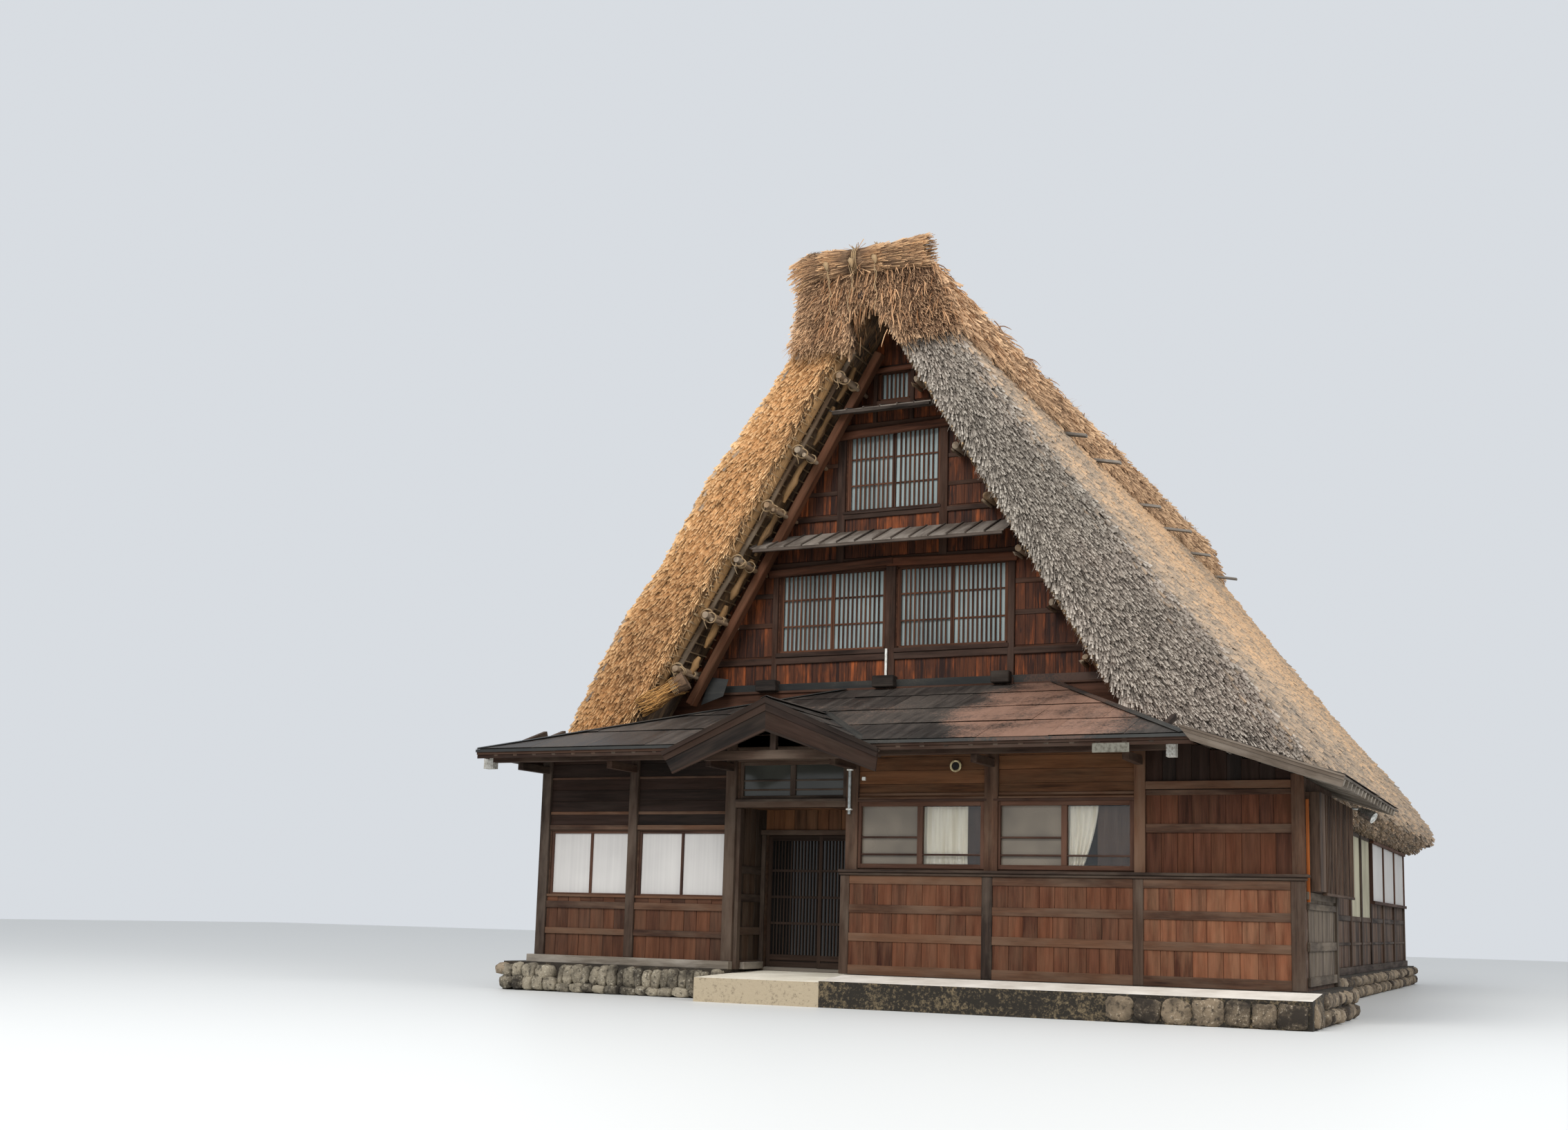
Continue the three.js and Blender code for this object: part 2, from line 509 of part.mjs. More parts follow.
backHoles.forEach(([x0, x1], index) => addPart(`back_window_${index + 1}`,
  windowPanel('y', x0, x1, BACK_WALL_Y + 10, BACK_FACE_Y + 20, ...SASH_Z,
    { stiles: [(x0 + x1) / 2], rails: SASH_RAILS, bar: 45 }), 'frosted'));

// Gable walls with their lattice windows; the back repeats the front about the middle of the house
const turnedBack = (y) => GABLE_Y + BACK_FACE_Y - y;
const storeyWindows = {
  front: {
    second: { z: [4360, 5500], holes: [[2480, 4120], [4290, 5905]] },
    third: { z: [6340, 7490], holes: [[3490, 4900]] },
    attic: { z: [7925, 8350], holes: [[3945, 4435]] },
  },
  back: {
    second: { z: [4360, 5500], holes: [[2480, 5905]] },
    third: { z: [6340, 7490], holes: [[3490, 4900]] },
  },
};
const gableOutline = [
  [strawX(FLOOR_2) - 200, FLOOR_2 - FLOOR_THICK], [mirrored(strawX(FLOOR_2) - 200), FLOOR_2 - FLOOR_THICK],
  [mirrored(strawX(INNER_APEX_Z) - 60), INNER_APEX_Z - 1], [strawX(INNER_APEX_Z) - 60, INNER_APEX_Z - 1],
];
for (const [side, y0] of [['front', GABLE_Y], ['back', BACK_WALL_Y]]) {
  const y1 = y0 + GABLE_WALL;
  const levels = Object.entries(storeyWindows[side]);
  const holes = levels.flatMap(([, { z, holes: spans }]) => (
    spans.map((span) => box(...span, y0 - 50, y1 + 50, ...z))));
  const wall = cut(alongY(gableOutline, y0, y1), [strawLeft, strawRight, ...holes]);
  addPart(`${side}_gable_wall`, wall, 'gableBoard');
  for (const [level, { z, holes: spans }] of levels) {
    spans.forEach(([x0, x1], index) => {
      const count = spans.length > 1 ? `_${index + 1}` : '';
      const rails = level === 'attic' ? [] : [1, 2].map((third) => z[0] + (z[1] - z[0]) * third / 3);
      const stiles = level === 'attic' ? [] : [(x0 + x1) / 2];
      const panel = windowPanel('y', x0, x1, y0 + 20, y1 - 20, ...z, { stiles, rails, bar: 36 });
      addPart(`${side}_lattice_${level}${count}`, panel, 'latticeWindow');
    });
  }
}

// Timber frame on a gable wall: posts, sills, heads and short rails out to the rafters
function gableFrame(side) {
  const y = side === 'front' ? (d) => d : turnedBack;
  const beam = (x0, x1, z0, z1, proud = 50) => {
    const faces = [y(GABLE_Y - proud), y(GABLE_Y)].sort((a, b) => a - b);
    return box(x0, x1, ...faces, z0, z1);
  };
  const across = (z0, z1, inset, proud) => (
    beam(strawX(z1) + inset, mirrored(strawX(z1) + inset), z0, z1, proud));
  const low = side === 'front' ? pentTop(GABLE_Y) + 2 : FLOOR_2 - FLOOR_THICK;
  const pieces = [
    across(low, low + 60, 120, 30),
    ...[[2385, 2463], [4132, 4278], [5914, 6012]].map(([x0, x1]) => beam(x0, x1, low, 5600)),
    across(4190, 4330, 60, 45),
    across(4740, 4800, 60, 25),
    across(5080, 5140, 60, 25),
    across(5520, 5680, 60, 50),
    ...[[3360, 3480], [4907, 5026]].map(([x0, x1]) => beam(x0, x1, 5600, 7600)),
    across(6230, 6335, 60, 45),
    across(6600, 6660, 60, 25),
    across(7000, 7060, 60, 25),
    across(7500, 7620, 60, 50),
    beam(3880, 3940, 7600, 8430),
    beam(4440, 4500, 7600, 8430),
    beam(3880, 4500, 7840, 7920, 45),
    beam(3880, 4500, 8355, 8440, 45),
  ];
  const clear = Object.values(storeyWindows[side]).flatMap(({ z, holes }) => holes.map(([x0, x1]) => (
    box(x0, x1, y(GABLE_Y) - 100, y(GABLE_Y) + 100, ...z))));
  return cut(join(pieces), clear);
}

// Principal rafters under each verge, with the purlin ends and the pole that carries the straw's edge
const RAFTER_LINE_X = 1410;
const RAFTER_LINE_Z = 4070;
const RAFTER_SLOPE = 1.722;
const RAFTER_ACROSS = 190;
const RAFTER_TOP_Z = 8600;
const normalX = INNER_SLOPE / Math.hypot(1, INNER_SLOPE);
const normalZ = 1 / Math.hypot(1, INNER_SLOPE);
const rafterX = (z) => RAFTER_LINE_X + (z - RAFTER_LINE_Z) / RAFTER_SLOPE;
function roofFrame(side, footZ) {
  const y = side === 'front' ? (d) => d : turnedBack;
  const span = (d0, d1) => [y(d0), y(d1)].sort((a, b) => a - b);
  const meetZ = RAFTER_LINE_Z + (RIDGE_X - RAFTER_ACROSS - RAFTER_LINE_X) * RAFTER_SLOPE;
  const rafters = alongY([
    [rafterX(footZ), footZ], [rafterX(footZ) + RAFTER_ACROSS, footZ], [RIDGE_X, meetZ],
    [mirrored(rafterX(footZ) + RAFTER_ACROSS), footZ], [mirrored(rafterX(footZ)), footZ],
    [mirrored(rafterX(RAFTER_TOP_Z)), RAFTER_TOP_Z], [rafterX(RAFTER_TOP_Z), RAFTER_TOP_Z],
  ], ...span(1700, 1880));
  const poleIn = 120;
  const poleLine = (z, off) => strawX(z) + off / normalX;
  const poleTop = 8500;
  const poleFoot = Math.max(footZ, STRAW_LINE_Z + 20);
  const poles = [1, -1].map((sign) => {
    const across = (x) => (sign > 0 ? x : mirrored(x));
    return alongY([
      [across(poleLine(poleFoot, 4)), poleFoot], [across(poleLine(poleFoot, poleIn)), poleFoot],
      [across(poleLine(poleTop, poleIn)), poleTop], [across(poleLine(poleTop, 4)), poleTop],
    ], ...span(1290, 1370));
  });
  const purlins = [4150, 4900, 5650, 6400, 7150, 8150].flatMap((z) => [1, -1].map((sign) => {
    const x = strawX(z) + 190 * normalX;
    const [y0, y1] = span(1230, GABLE_Y - 50 - SEAT_GAP);
    return new THREE.CylinderGeometry(85, 85, y1 - y0, 8)
      .translate(sign > 0 ? x : mirrored(x), (y0 + y1) / 2, z - 190 * normalZ);
  }));
  return join([rafters, ...poles, ...purlins]);
}
const underBackPent = alongX([
  [BACK_FACE_Y - 500, DEEP], [BACK_EAVE_Y + 10, DEEP],
  [BACK_EAVE_Y + 10, backPentTop(BACK_EAVE_Y + 10) + SEAT_GAP],
  [BACK_FACE_Y - 500, backPentTop(BACK_FACE_Y - 500) + SEAT_GAP],
], -1000, 11000);
const straw = [strawLeft, strawRight];
addPart('gable_frame_front', cut(gableFrame('front'), [underPent(SEAT_GAP, 0), ...straw]), 'post');
addPart('gable_frame_back', cut(gableFrame('back'), [underBackPent, ...straw]), 'post');
addPart('roof_frame_front', cut(roofFrame('front', 3600), [underPent(SEAT_GAP, 0), ...straw]), 'post');
addPart('roof_frame_back', cut(roofFrame('back', 2800), [underBackPent, ...straw]), 'post');

// Small board-covered roofs over the gable windows, notched round the rafters
function hisashi(side, x0, x1, frontY, lowZ, highZ) {
  const y = side === 'front' ? (d) => d : turnedBack;
  const plate = alongX([
    [y(frontY), lowZ - 30], [y(GABLE_Y - 50), highZ - 30], [y(GABLE_Y - 50), highZ], [y(frontY), lowZ],
  ], x0, x1);
  const notches = [1, -1].map((sign) => {
    const across = (x) => (sign > 0 ? x : mirrored(x));
    const z0 = lowZ - 200;
    const z1 = highZ + 200;
    const far = RAFTER_ACROSS + 1;
    return alongY([
      [across(rafterX(z0) - 1), z0], [across(rafterX(z0) + far), z0],
      [across(rafterX(z1) + far), z1], [across(rafterX(z1) - 1), z1],
    ], ...[y(1699), y(1881)].sort((a, b) => a - b));
  });
  return cut(plate, [...notches, strawLeft, strawRight]);
}
for (const side of ['front', 'back']) {
  addPart(`middle_hisashi_${side}`, hisashi(side, 2330, mirrored(2330), 1400, 5750, 6050), 'greyWood');
}
addPart('top_hisashi_front', hisashi('front', 3440, mirrored(3440), 1550, 7680, 7830), 'greyWood');

// Entrance hood: two sheets falling left and right from its ridge, and moulded bargeboards in front
const HOOD_X = 3930;
const HOOD_TOP = 3250;
const HOOD_SLOPE = 0.45;
const HOOD_HALF = 1430;
const HOOD_FRONT = -1100;
const hoodMeets = (HOOD_TOP - EAVE_Z) / HOOD_SLOPE;
const hoodZ = (off) => HOOD_TOP - HOOD_SLOPE * off;
const underHood = alongY([
  [HOOD_X - hoodMeets, DEEP], [HOOD_X + hoodMeets, DEEP], [HOOD_X + hoodMeets, EAVE_Z + SEAT_GAP],
  [HOOD_X, HOOD_TOP + SEAT_GAP], [HOOD_X - hoodMeets, EAVE_Z + SEAT_GAP],
], EAVE_Y - 30, 900);
const hoodFoot = hoodZ(HOOD_HALF);
const hoodPlate = alongY([
  [HOOD_X - HOOD_HALF, hoodFoot - 50], [HOOD_X, HOOD_TOP - 50], [HOOD_X + HOOD_HALF, hoodFoot - 50],
  [HOOD_X + HOOD_HALF, hoodFoot], [HOOD_X, HOOD_TOP], [HOOD_X - HOOD_HALF, hoodFoot],
], HOOD_FRONT, 900);
addPart('hood_roof', cut(hoodPlate, [underPent(SEAT_GAP, 0)]), 'sheetRoof');
addPart('hood_bargeboards', alongY([
  [2670, 2350], [HOOD_X, 2850], [5380, 2340], [5410, 2620], [HOOD_X, HOOD_TOP + 10], [2500, 2620],
], HOOD_FRONT - 55, HOOD_FRONT), 'greyWood');

// Pent roof: sheet on rafters that rest on the head beam, open under the hood
const rafterOutline = (top, u0, u1) => [
  [u0, top(u0) - SHEET - RAFTER_DEPTH], [u1, top(u1) - SHEET - RAFTER_DEPTH],
  [u1, top(u1) - SHEET + 5], [u0, top(u0) - SHEET + 5],
];
const rafterPlaces = Array.from({ length: 30 }, (_, index) => -150 + index * RAFTER_STEP);
const pentRafters = rafterPlaces.map((x) => (
  alongX(rafterOutline(pentTop, EAVE_Y + 20, WALL_BACK + 60), x, x + RAFTER_WIDTH)));
const pentShell = cut(underPent(0, 0), [underPent(-SHEET, 20)]);
addPart('pent_roof_front', cut(join([
  pentShell,
  common(join([
    box(PENT_LEFT + 60, PENT_RIGHT - 10, EAVE_Y + 2, EAVE_Y + 30, EAVE_Z - 110, EAVE_Z - 5),
    ...pentRafters,
  ]), underPent(5 - SHEET, 0)),
]), [underHood]), 'sheetRoof');
const armTop = 2510;
const purlinFront = -700;
const purlinTop = pentTop(purlinFront) - SHEET - RAFTER_DEPTH - SEAT_GAP;
const armHalf = 45;
addPart('eave_purlin', common(join([
  box(-470, 8800, purlinFront, purlinFront + 110, armTop - 10, purlinTop),
  ...Object.values(posts).map(([x0, x1]) => (x0 + x1) / 2).map((x) => (
    box(x - armHalf, x + armHalf, purlinFront, 0, armTop - 110, armTop))),
]), underPent(-SHEET - SEAT_GAP, 60)), 'greyWood');
addPart('pent_roof_back', cut(alongX([
  [BACK_FACE_Y, backPentTop(BACK_FACE_Y) - SHEET], [BACK_EAVE_Y, BACK_EAVE_Z - SHEET],
  [BACK_EAVE_Y, BACK_EAVE_Z], [BACK_FACE_Y, backPentTop(BACK_FACE_Y)],
], PENT_LEFT, 9800), [
  strawLeft, strawRight,
  box(PENT_LEFT - 10, 0, BACK_FACE_Y - 10, VERGE_BACK_Y, 2760, 3100),
  box(9200, 9900, BACK_FACE_Y - 10, VERGE_BACK_Y, 2760, 3100),
]), 'sheetRoof');

// Lean-to roof at the right with rafter ends under its side eave, and the board along its front edge
const leanPlaces = Array.from({ length: 17 }, (_, index) => EAVE_Y + 120 + index * RAFTER_STEP);
const leanRafters = leanPlaces.map((y) => (
  alongY(rafterOutline(leanTop, 9600, LEAN_EAVE_X - 20), y, y + RAFTER_WIDTH)));
const leanStart = PENT_RIGHT + SEAT_GAP;
addPart('lean_to_roof', join([
  alongY([
    [leanStart, leanTop(leanStart) - SHEET], [LEAN_EAVE_X, LEAN_EAVE_Z - SHEET], [LEAN_EAVE_X, LEAN_EAVE_Z],
    [leanStart, leanTop(leanStart)],
  ], EAVE_Y, LEAN_BACK_Y),
  ...leanRafters,
]), 'sheetRoof');
addPart('lean_to_verge_board', alongY([
  [9020, 2640], [LEAN_EAVE_X - 35, 2120], [LEAN_EAVE_X, LEAN_EAVE_Z + 5], [8860, 2835],
], EAVE_Y - 40, EAVE_Y), 'greyWood');

export default farmhouse;
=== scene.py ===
import math

import bmesh
import bpy
import numpy as np
from mathutils import Matrix, Vector


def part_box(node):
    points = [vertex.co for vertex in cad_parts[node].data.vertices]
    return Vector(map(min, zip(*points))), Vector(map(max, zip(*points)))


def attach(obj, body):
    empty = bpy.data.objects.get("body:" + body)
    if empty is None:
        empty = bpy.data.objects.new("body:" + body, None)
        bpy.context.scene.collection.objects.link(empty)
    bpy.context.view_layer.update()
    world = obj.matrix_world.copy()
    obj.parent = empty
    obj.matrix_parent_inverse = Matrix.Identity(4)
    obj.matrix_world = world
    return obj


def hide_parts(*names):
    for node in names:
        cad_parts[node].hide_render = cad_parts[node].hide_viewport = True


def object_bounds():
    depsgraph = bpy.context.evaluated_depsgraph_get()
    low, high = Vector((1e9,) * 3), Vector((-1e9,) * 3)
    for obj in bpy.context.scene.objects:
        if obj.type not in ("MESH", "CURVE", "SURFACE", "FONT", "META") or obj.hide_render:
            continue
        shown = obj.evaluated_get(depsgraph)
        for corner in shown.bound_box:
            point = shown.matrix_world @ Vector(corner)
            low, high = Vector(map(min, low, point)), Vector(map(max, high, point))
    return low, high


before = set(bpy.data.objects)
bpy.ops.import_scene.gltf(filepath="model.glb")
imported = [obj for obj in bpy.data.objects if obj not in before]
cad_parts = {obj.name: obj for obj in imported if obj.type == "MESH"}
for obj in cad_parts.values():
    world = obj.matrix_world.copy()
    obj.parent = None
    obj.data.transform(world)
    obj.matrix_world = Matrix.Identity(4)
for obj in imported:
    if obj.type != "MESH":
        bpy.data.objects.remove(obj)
cad_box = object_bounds()

# Camera: at eye height before the house and to its right. It looks a little up and to the left,
# level to within a degree and a half.
PHOTO_WIDTH, PHOTO_HEIGHT = 2268, 1634
FOCAL_PIXELS = 2403.9
LOOK_X, LOOK_Y = 1200.7, 977.8
EYE = Vector((12.924, -18.897, 1.028))
TURN_LEFT, TILT_UP, ROLL = 0.430, 0.145, 0.025
SENSOR = 36.0


def stood(name, data):
    """A new object in the scene"""
    made = bpy.data.objects.new(name, data)
    bpy.context.scene.collection.objects.link(made)
    return made


forward = Vector((-math.sin(TURN_LEFT) * math.cos(TILT_UP),
                  math.cos(TURN_LEFT) * math.cos(TILT_UP), math.sin(TILT_UP)))
level_right = Vector((math.cos(TURN_LEFT), math.sin(TURN_LEFT), 0.0))
level_up = level_right.cross(forward)
right = math.cos(ROLL) * level_right + math.sin(ROLL) * level_up
up = math.cos(ROLL) * level_up - math.sin(ROLL) * level_right
camera_data = bpy.data.cameras.new("camera")
camera_data.sensor_width = SENSOR
camera_data.sensor_fit = "HORIZONTAL"
camera_data.lens = FOCAL_PIXELS / PHOTO_WIDTH * SENSOR
camera_data.shift_x = 0.5 - LOOK_X / PHOTO_WIDTH
camera_data.shift_y = (LOOK_Y - PHOTO_HEIGHT / 2) / PHOTO_WIDTH
camera_data.clip_end = 300.0
camera = stood("camera", camera_data)
turn = Matrix((right, up, -forward)).transposed().to_4x4()
camera.matrix_world = Matrix.Translation(EYE) @ turn
bpy.context.scene.camera = camera

# Studio: a plain pale floor, a pale sky all round and two wide soft lights, a strong one high in
# front and a weaker one from the right.
FLOOR_HALF = 60.0
floor_mesh = bpy.data.meshes.new("studio_floor")
floor_mesh.from_pydata([(-FLOOR_HALF, -FLOOR_HALF, 0), (FLOOR_HALF, -FLOOR_HALF, 0),
                        (FLOOR_HALF, FLOOR_HALF, 0), (-FLOOR_HALF, FLOOR_HALF, 0)], [], [(0, 1, 2, 3)])
studio_floor = stood("studio_floor", floor_mesh)
floor_finish = bpy.data.materials.new("studio_floor")
floor_finish.use_nodes = True
floor_finish.node_tree.nodes["Principled BSDF"].inputs["Base Color"].default_value = (0.72, 0.72, 0.7, 1)
floor_mesh.materials.append(floor_finish)
world = bpy.data.worlds.new("studio")
world.use_nodes = True
world.node_tree.nodes["Background"].inputs["Color"].default_value = (0.86, 0.9, 0.95, 1)
world.node_tree.nodes["Background"].inputs["Strength"].default_value = 0.8
bpy.context.scene.world = world
for name, place, size, power in (("key", (2, -22, 20), 14.0, 5200), ("side", (26, -6, 16), 12.0, 2600)):
    light_data = bpy.data.lights.new(name, "AREA")
    light_data.size = size
    light_data.energy = power
    light = stood(name, light_data)
    light.location = place
    aim = Vector((4.5, 6.0, 4.0)) - Vector(place)
    light.rotation_euler = aim.to_track_quat("-Z", "Y").to_euler()
bpy.context.scene.view_settings.view_transform = "Standard"

# Stone base: field stones set on edge in two courses round the house and packed with earth. The
# long upright ones stand at the front left. Each stone is one of three rounded lumps, sized for
# its place and then roughened, so that no two are alike.
STONE_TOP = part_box("stone_base")[1].z
STONE_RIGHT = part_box("stone_base")[1].x
LEAN_WALL_BACK = 2.35
MAIN_BASE_RIGHT = 9.52
MAIN_BASE_LEFT = -0.15
BASE_BACK = 17.75


def paint(code):
    """A colour written as on a paint card, as the linear values that a shader takes"""
    values = [int(code[i:i + 2], 16) / 255 for i in (0, 2, 4)]
    return tuple(((v + 0.055) / 1.055) ** 2.4 if v > 0.04045 else v / 12.92 for v in values) + (1.0,)


def fill(tree, sockets, values):
    """Fills inputs in order: another socket is wired, a value is set, None is left as it is"""
    for socket, value in zip(sockets, values):
        if isinstance(value, bpy.types.NodeSocket):
            tree.links.new(value, socket)
        elif value is not None:
            socket.default_value = value


def put(tree, kind, *values, **options):
    """Adds a node and fills its inputs"""
    made = tree.nodes.new(kind)
    for key, value in options.items():
        setattr(made, key, value)
    fill(tree, made.inputs, values)
    return made


def new_tree(name, kind, takes, gives):
    """An empty node group with its named inputs and outputs"""
    tree = bpy.data.node_groups.new(name, kind)
    for label, socket in takes:
        tree.interface.new_socket(label, in_out="INPUT", socket_type="NodeSocket" + socket)
    for label, socket in gives:
        tree.interface.new_socket(label, in_out="OUTPUT", socket_type="NodeSocket" + socket)
    return tree, tree.nodes.new("NodeGroupInput").outputs, tree.nodes.new("NodeGroupOutput").inputs


def named(tree, name, kind="FLOAT_VECTOR"):
    """What a geometry tree reads from an attribute of the mesh"""
    return put(tree, "GeometryNodeInputNamedAttribute", name, data_type=kind).outputs["Attribute"]


def kept(tree, geometry, name, value, kind="FLOAT_VECTOR", domain="POINT"):
    """Keeps a value on the mesh under a name, for the materials"""
    return put(tree, "GeometryNodeStoreNamedAttribute", geometry, None, name, value,
               data_type=kind, domain=domain).outputs[0]


def vector(tree, operation, *values):
    made = put(tree, "ShaderNodeVectorMath", *values, operation=operation)
    return made.outputs["Value" if operation in ("DOT_PRODUCT", "LENGTH", "DISTANCE") else "Vector"]


def number(tree, operation, *values):
    return put(tree, "ShaderNodeMath", *values, operation=operation).outputs[0]


def scaled(tree, places, amount):
    return vector(tree, "SCALE", places, None, None, amount)


def weighed(tree, *parts):
    """The sum of some values, each times its weight"""
    total = None
    for value, weight in parts:
        share = value if weight == 1 else number(tree, "MULTIPLY", value, weight)
        total = share if total is None else number(tree, "ADD", total, share)
    return total


def moved(tree, geometry, push):
    return put(tree, "GeometryNodeSetPosition", geometry, None, None, push).outputs[0]


def smoothed(tree, geometry):
    return put(tree, "GeometryNodeSetShadeSmooth", geometry, None, True).outputs[0]


def handed_on(tree, given, result, geometry):
    """A geometry tree's end: its shape with the finish given"""
    made = put(tree, "GeometryNodeSetMaterial", geometry, None, given["Finish"])
    tree.links.new(made.outputs[0], result["Geometry"])
    return tree


def between(tree, low, high, seed):
    """A number drawn for each piece"""
    return put(tree, "FunctionNodeRandomValue", None, None, low, high, None, None, None, None, seed,
               data_type="FLOAT").outputs[1]


def noise(tree, place, scale, detail=3.0, rough=0.55):
    return put(tree, "ShaderNodeTexNoise", place, None, scale, detail, rough)


def cloud(tree, place, scale, detail=3.0, rough=0.55):
    """Noise from 0 to 1. The scale is one number, or one for each way"""
    if isinstance(scale, tuple):
        place = vector(tree, "MULTIPLY", place, scale)
        scale = 1.0
    return noise(tree, place, scale, detail, rough).outputs[0]


def grown(name, tree, source, inputs):
    """A plain mesh object at the origin, made by a geometry tree from a source mesh"""
    piece = stood(name, source)
    modifier = piece.modifiers.new("tree", "NODES")
    modifier.node_group = tree
    for item in tree.interface.items_tree:
        if item.in_out == "INPUT" and item.name in inputs:
            modifier[item.identifier] = inputs[item.name]
    depsgraph = bpy.context.evaluated_depsgraph_get()
    result = bpy.data.meshes.new_from_object(piece.evaluated_get(depsgraph),
                                             preserve_all_data_layers=True, depsgraph=depsgraph)
    piece.modifiers.clear()
    piece.data = result
    return piece


def settle(piece, slot, *nodes, body="house"):
    """The piece moves with its body and stands for the nodes named; its slot is not used"""
    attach(piece, body)
    if nodes:
        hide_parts(*nodes)
    return piece


def keep_values(mesh, **values):
    """Keeps one vector or number for each point of a mesh, under its name"""
    for name, array in values.items():
        array = np.asarray(array, np.float32)
        kind = "FLOAT_VECTOR" if array.ndim == 2 else "FLOAT"
        layer = mesh.attributes.get(name) or mesh.attributes.new(name, kind, "POINT")
        layer.data.foreach_set("vector" if array.ndim == 2 else "value", array.ravel())


def points_mesh(places, **values):
    """Loose points with what is kept for each"""
    mesh = bpy.data.meshes.new("places")
    mesh.from_pydata([tuple(place) for place in places], [], [])
    keep_values(mesh, **values)
    return mesh


def boulder(name, squareness, detail):
    """A rounded lump one unit across, between a ball and a block"""
    mesh = bpy.data.meshes.new(name)
    shape = bmesh.new()
    bmesh.ops.create_icosphere(shape, subdivisions=detail, radius=1.0)
    for vertex in shape.verts:
        largest = max(abs(c) for c in vertex.co)
        vertex.co = vertex.co * (0.5 * largest ** -squareness)
    shape.to_mesh(mesh)
    shape.free()
    return bpy.data.objects.new(name, mesh)


def mixed(tree, amount, low, high):
    made = put(tree, "ShaderNodeMix", amount, data_type="RGBA")
    fill(tree, made.inputs[6:], (low, high))
    return made.outputs[2]


def spread(tree, value, low, high, to_low=0.0, to_high=1.0):
    return put(tree, "ShaderNodeMapRange", value, low, high, to_low, to_high).outputs[0]


def shades(tree, value, low, high, first, second):
    """From the first colour to the second as the value goes from low to high"""
    return mixed(tree, spread(tree, value, low, high), paint(first), paint(second))


def new_material(name):
    """A material with its node tree, its shader and the mesh's own coordinates"""
    material = bpy.data.materials.new(name)
    material.use_nodes = True
    tree = material.node_tree
    here = put(tree, "ShaderNodeTexCoord").outputs["Object"]
    return material, tree, tree.nodes["Principled BSDF"].inputs, here


def attribute(tree, name):
    return put(tree, "ShaderNodeAttribute", attribute_name=name)


def bumped(tree, shader, height, strength, distance):
    bump = put(tree, "ShaderNodeBump", strength, distance)
    tree.links.new(height, bump.inputs["Height"])
    tree.links.new(bump.outputs["Normal"], shader["Normal"])


def set_stones_tree():
    tree, given, result = new_tree(
        "set_stones", "GeometryNodeTree",
        [("Geometry", "Geometry"), ("Stone", "Object"), ("Roughness", "Float"), ("Seed", "Int"),
         ("Finish", "Material")], [("Geometry", "Geometry")])
    stone = put(tree, "GeometryNodeObjectInfo", given["Stone"]).outputs["Geometry"]
    turned = put(tree, "FunctionNodeEulerToRotation", named(tree, "turn")).outputs[0]
    placed = put(tree, "GeometryNodeInstanceOnPoints", given["Geometry"], None, stone, None, None,
                 turned, named(tree, "size")).outputs[0]
    toned = kept(tree, placed, "tone", between(tree, 0.0, 1.0, given["Seed"]), "FLOAT", "INSTANCE")
    real = put(tree, "GeometryNodeRealizeInstances", toned).outputs[0]
    here = put(tree, "GeometryNodeInputPosition").outputs[0]
    shift = scaled(tree, (31.0, 17.0, 23.0), named(tree, "tone", "FLOAT"))
    lumps = noise(tree, vector(tree, "ADD", here, shift), 7.0, 2.0).outputs["Color"]
    uneven = vector(tree, "SUBTRACT", lumps, (0.5, 0.5, 0.5))
    rough = moved(tree, real, scaled(tree, uneven, given["Roughness"]))
    place = put(tree, "GeometryNodeInputPosition").outputs[0]
    above_ground = vector(tree, "MAXIMUM", place, (-99.0, -99.0, 0.0))
    rough = put(tree, "GeometryNodeSetPosition", rough, None, above_ground).outputs[0]
    return handed_on(tree, given, result, smoothed(tree, rough))


def stone_finish(name, dark, body, pale):
    """Weathered grey-brown stone: pale lichen on top, dark in the hollows, a grainy face"""
    material, tree, shader, here = new_material(name)
    tone = attribute(tree, "tone").outputs["Fac"]
    cloudy = cloud(tree, here, 5.0, 5.0, 0.65)
    grainy = cloud(tree, here, 42.0, 4.0, 0.7)
    mood = weighed(tree, (cloudy, 0.9), (tone, 0.35))
    colour = shades(tree, mood, 0.42, 0.78, dark, body)
    speck = spread(tree, grainy, 0.56, 0.68)
    speck = number(tree, "MULTIPLY", speck, spread(tree, cloudy, 0.42, 0.6))
    colour = mixed(tree, speck, colour, paint(pale))
    hollow = spread(tree, cloud(tree, here, 19.0, 3.0, 0.6), 0.33, 0.46, 0.8, 0.0)
    tree.links.new(mixed(tree, hollow, colour, paint(dark)), shader["Base Color"])
    shader["Roughness"].default_value = 0.92
    bumped(tree, shader, weighed(tree, (cloudy, 1.5), (grainy, 1)), 0.7, 0.012)
    return material


set_stones = set_stones_tree()
field_stone = stone_finish("field_stone", "32271c", "93826c", "ccbba3")
edge_stone = stone_finish("edge_stone", "2a2219", "83725c", "c6b69f")
base_stone = stone_finish("base_stone", "2b241b", "958a76", "d8ceb9")
upright_stone = boulder("upright_stone", 0.62, 3)
block_stone = boulder("block_stone", 0.8, 3)
small_stone = boulder("small_stone", 0.4, 2)


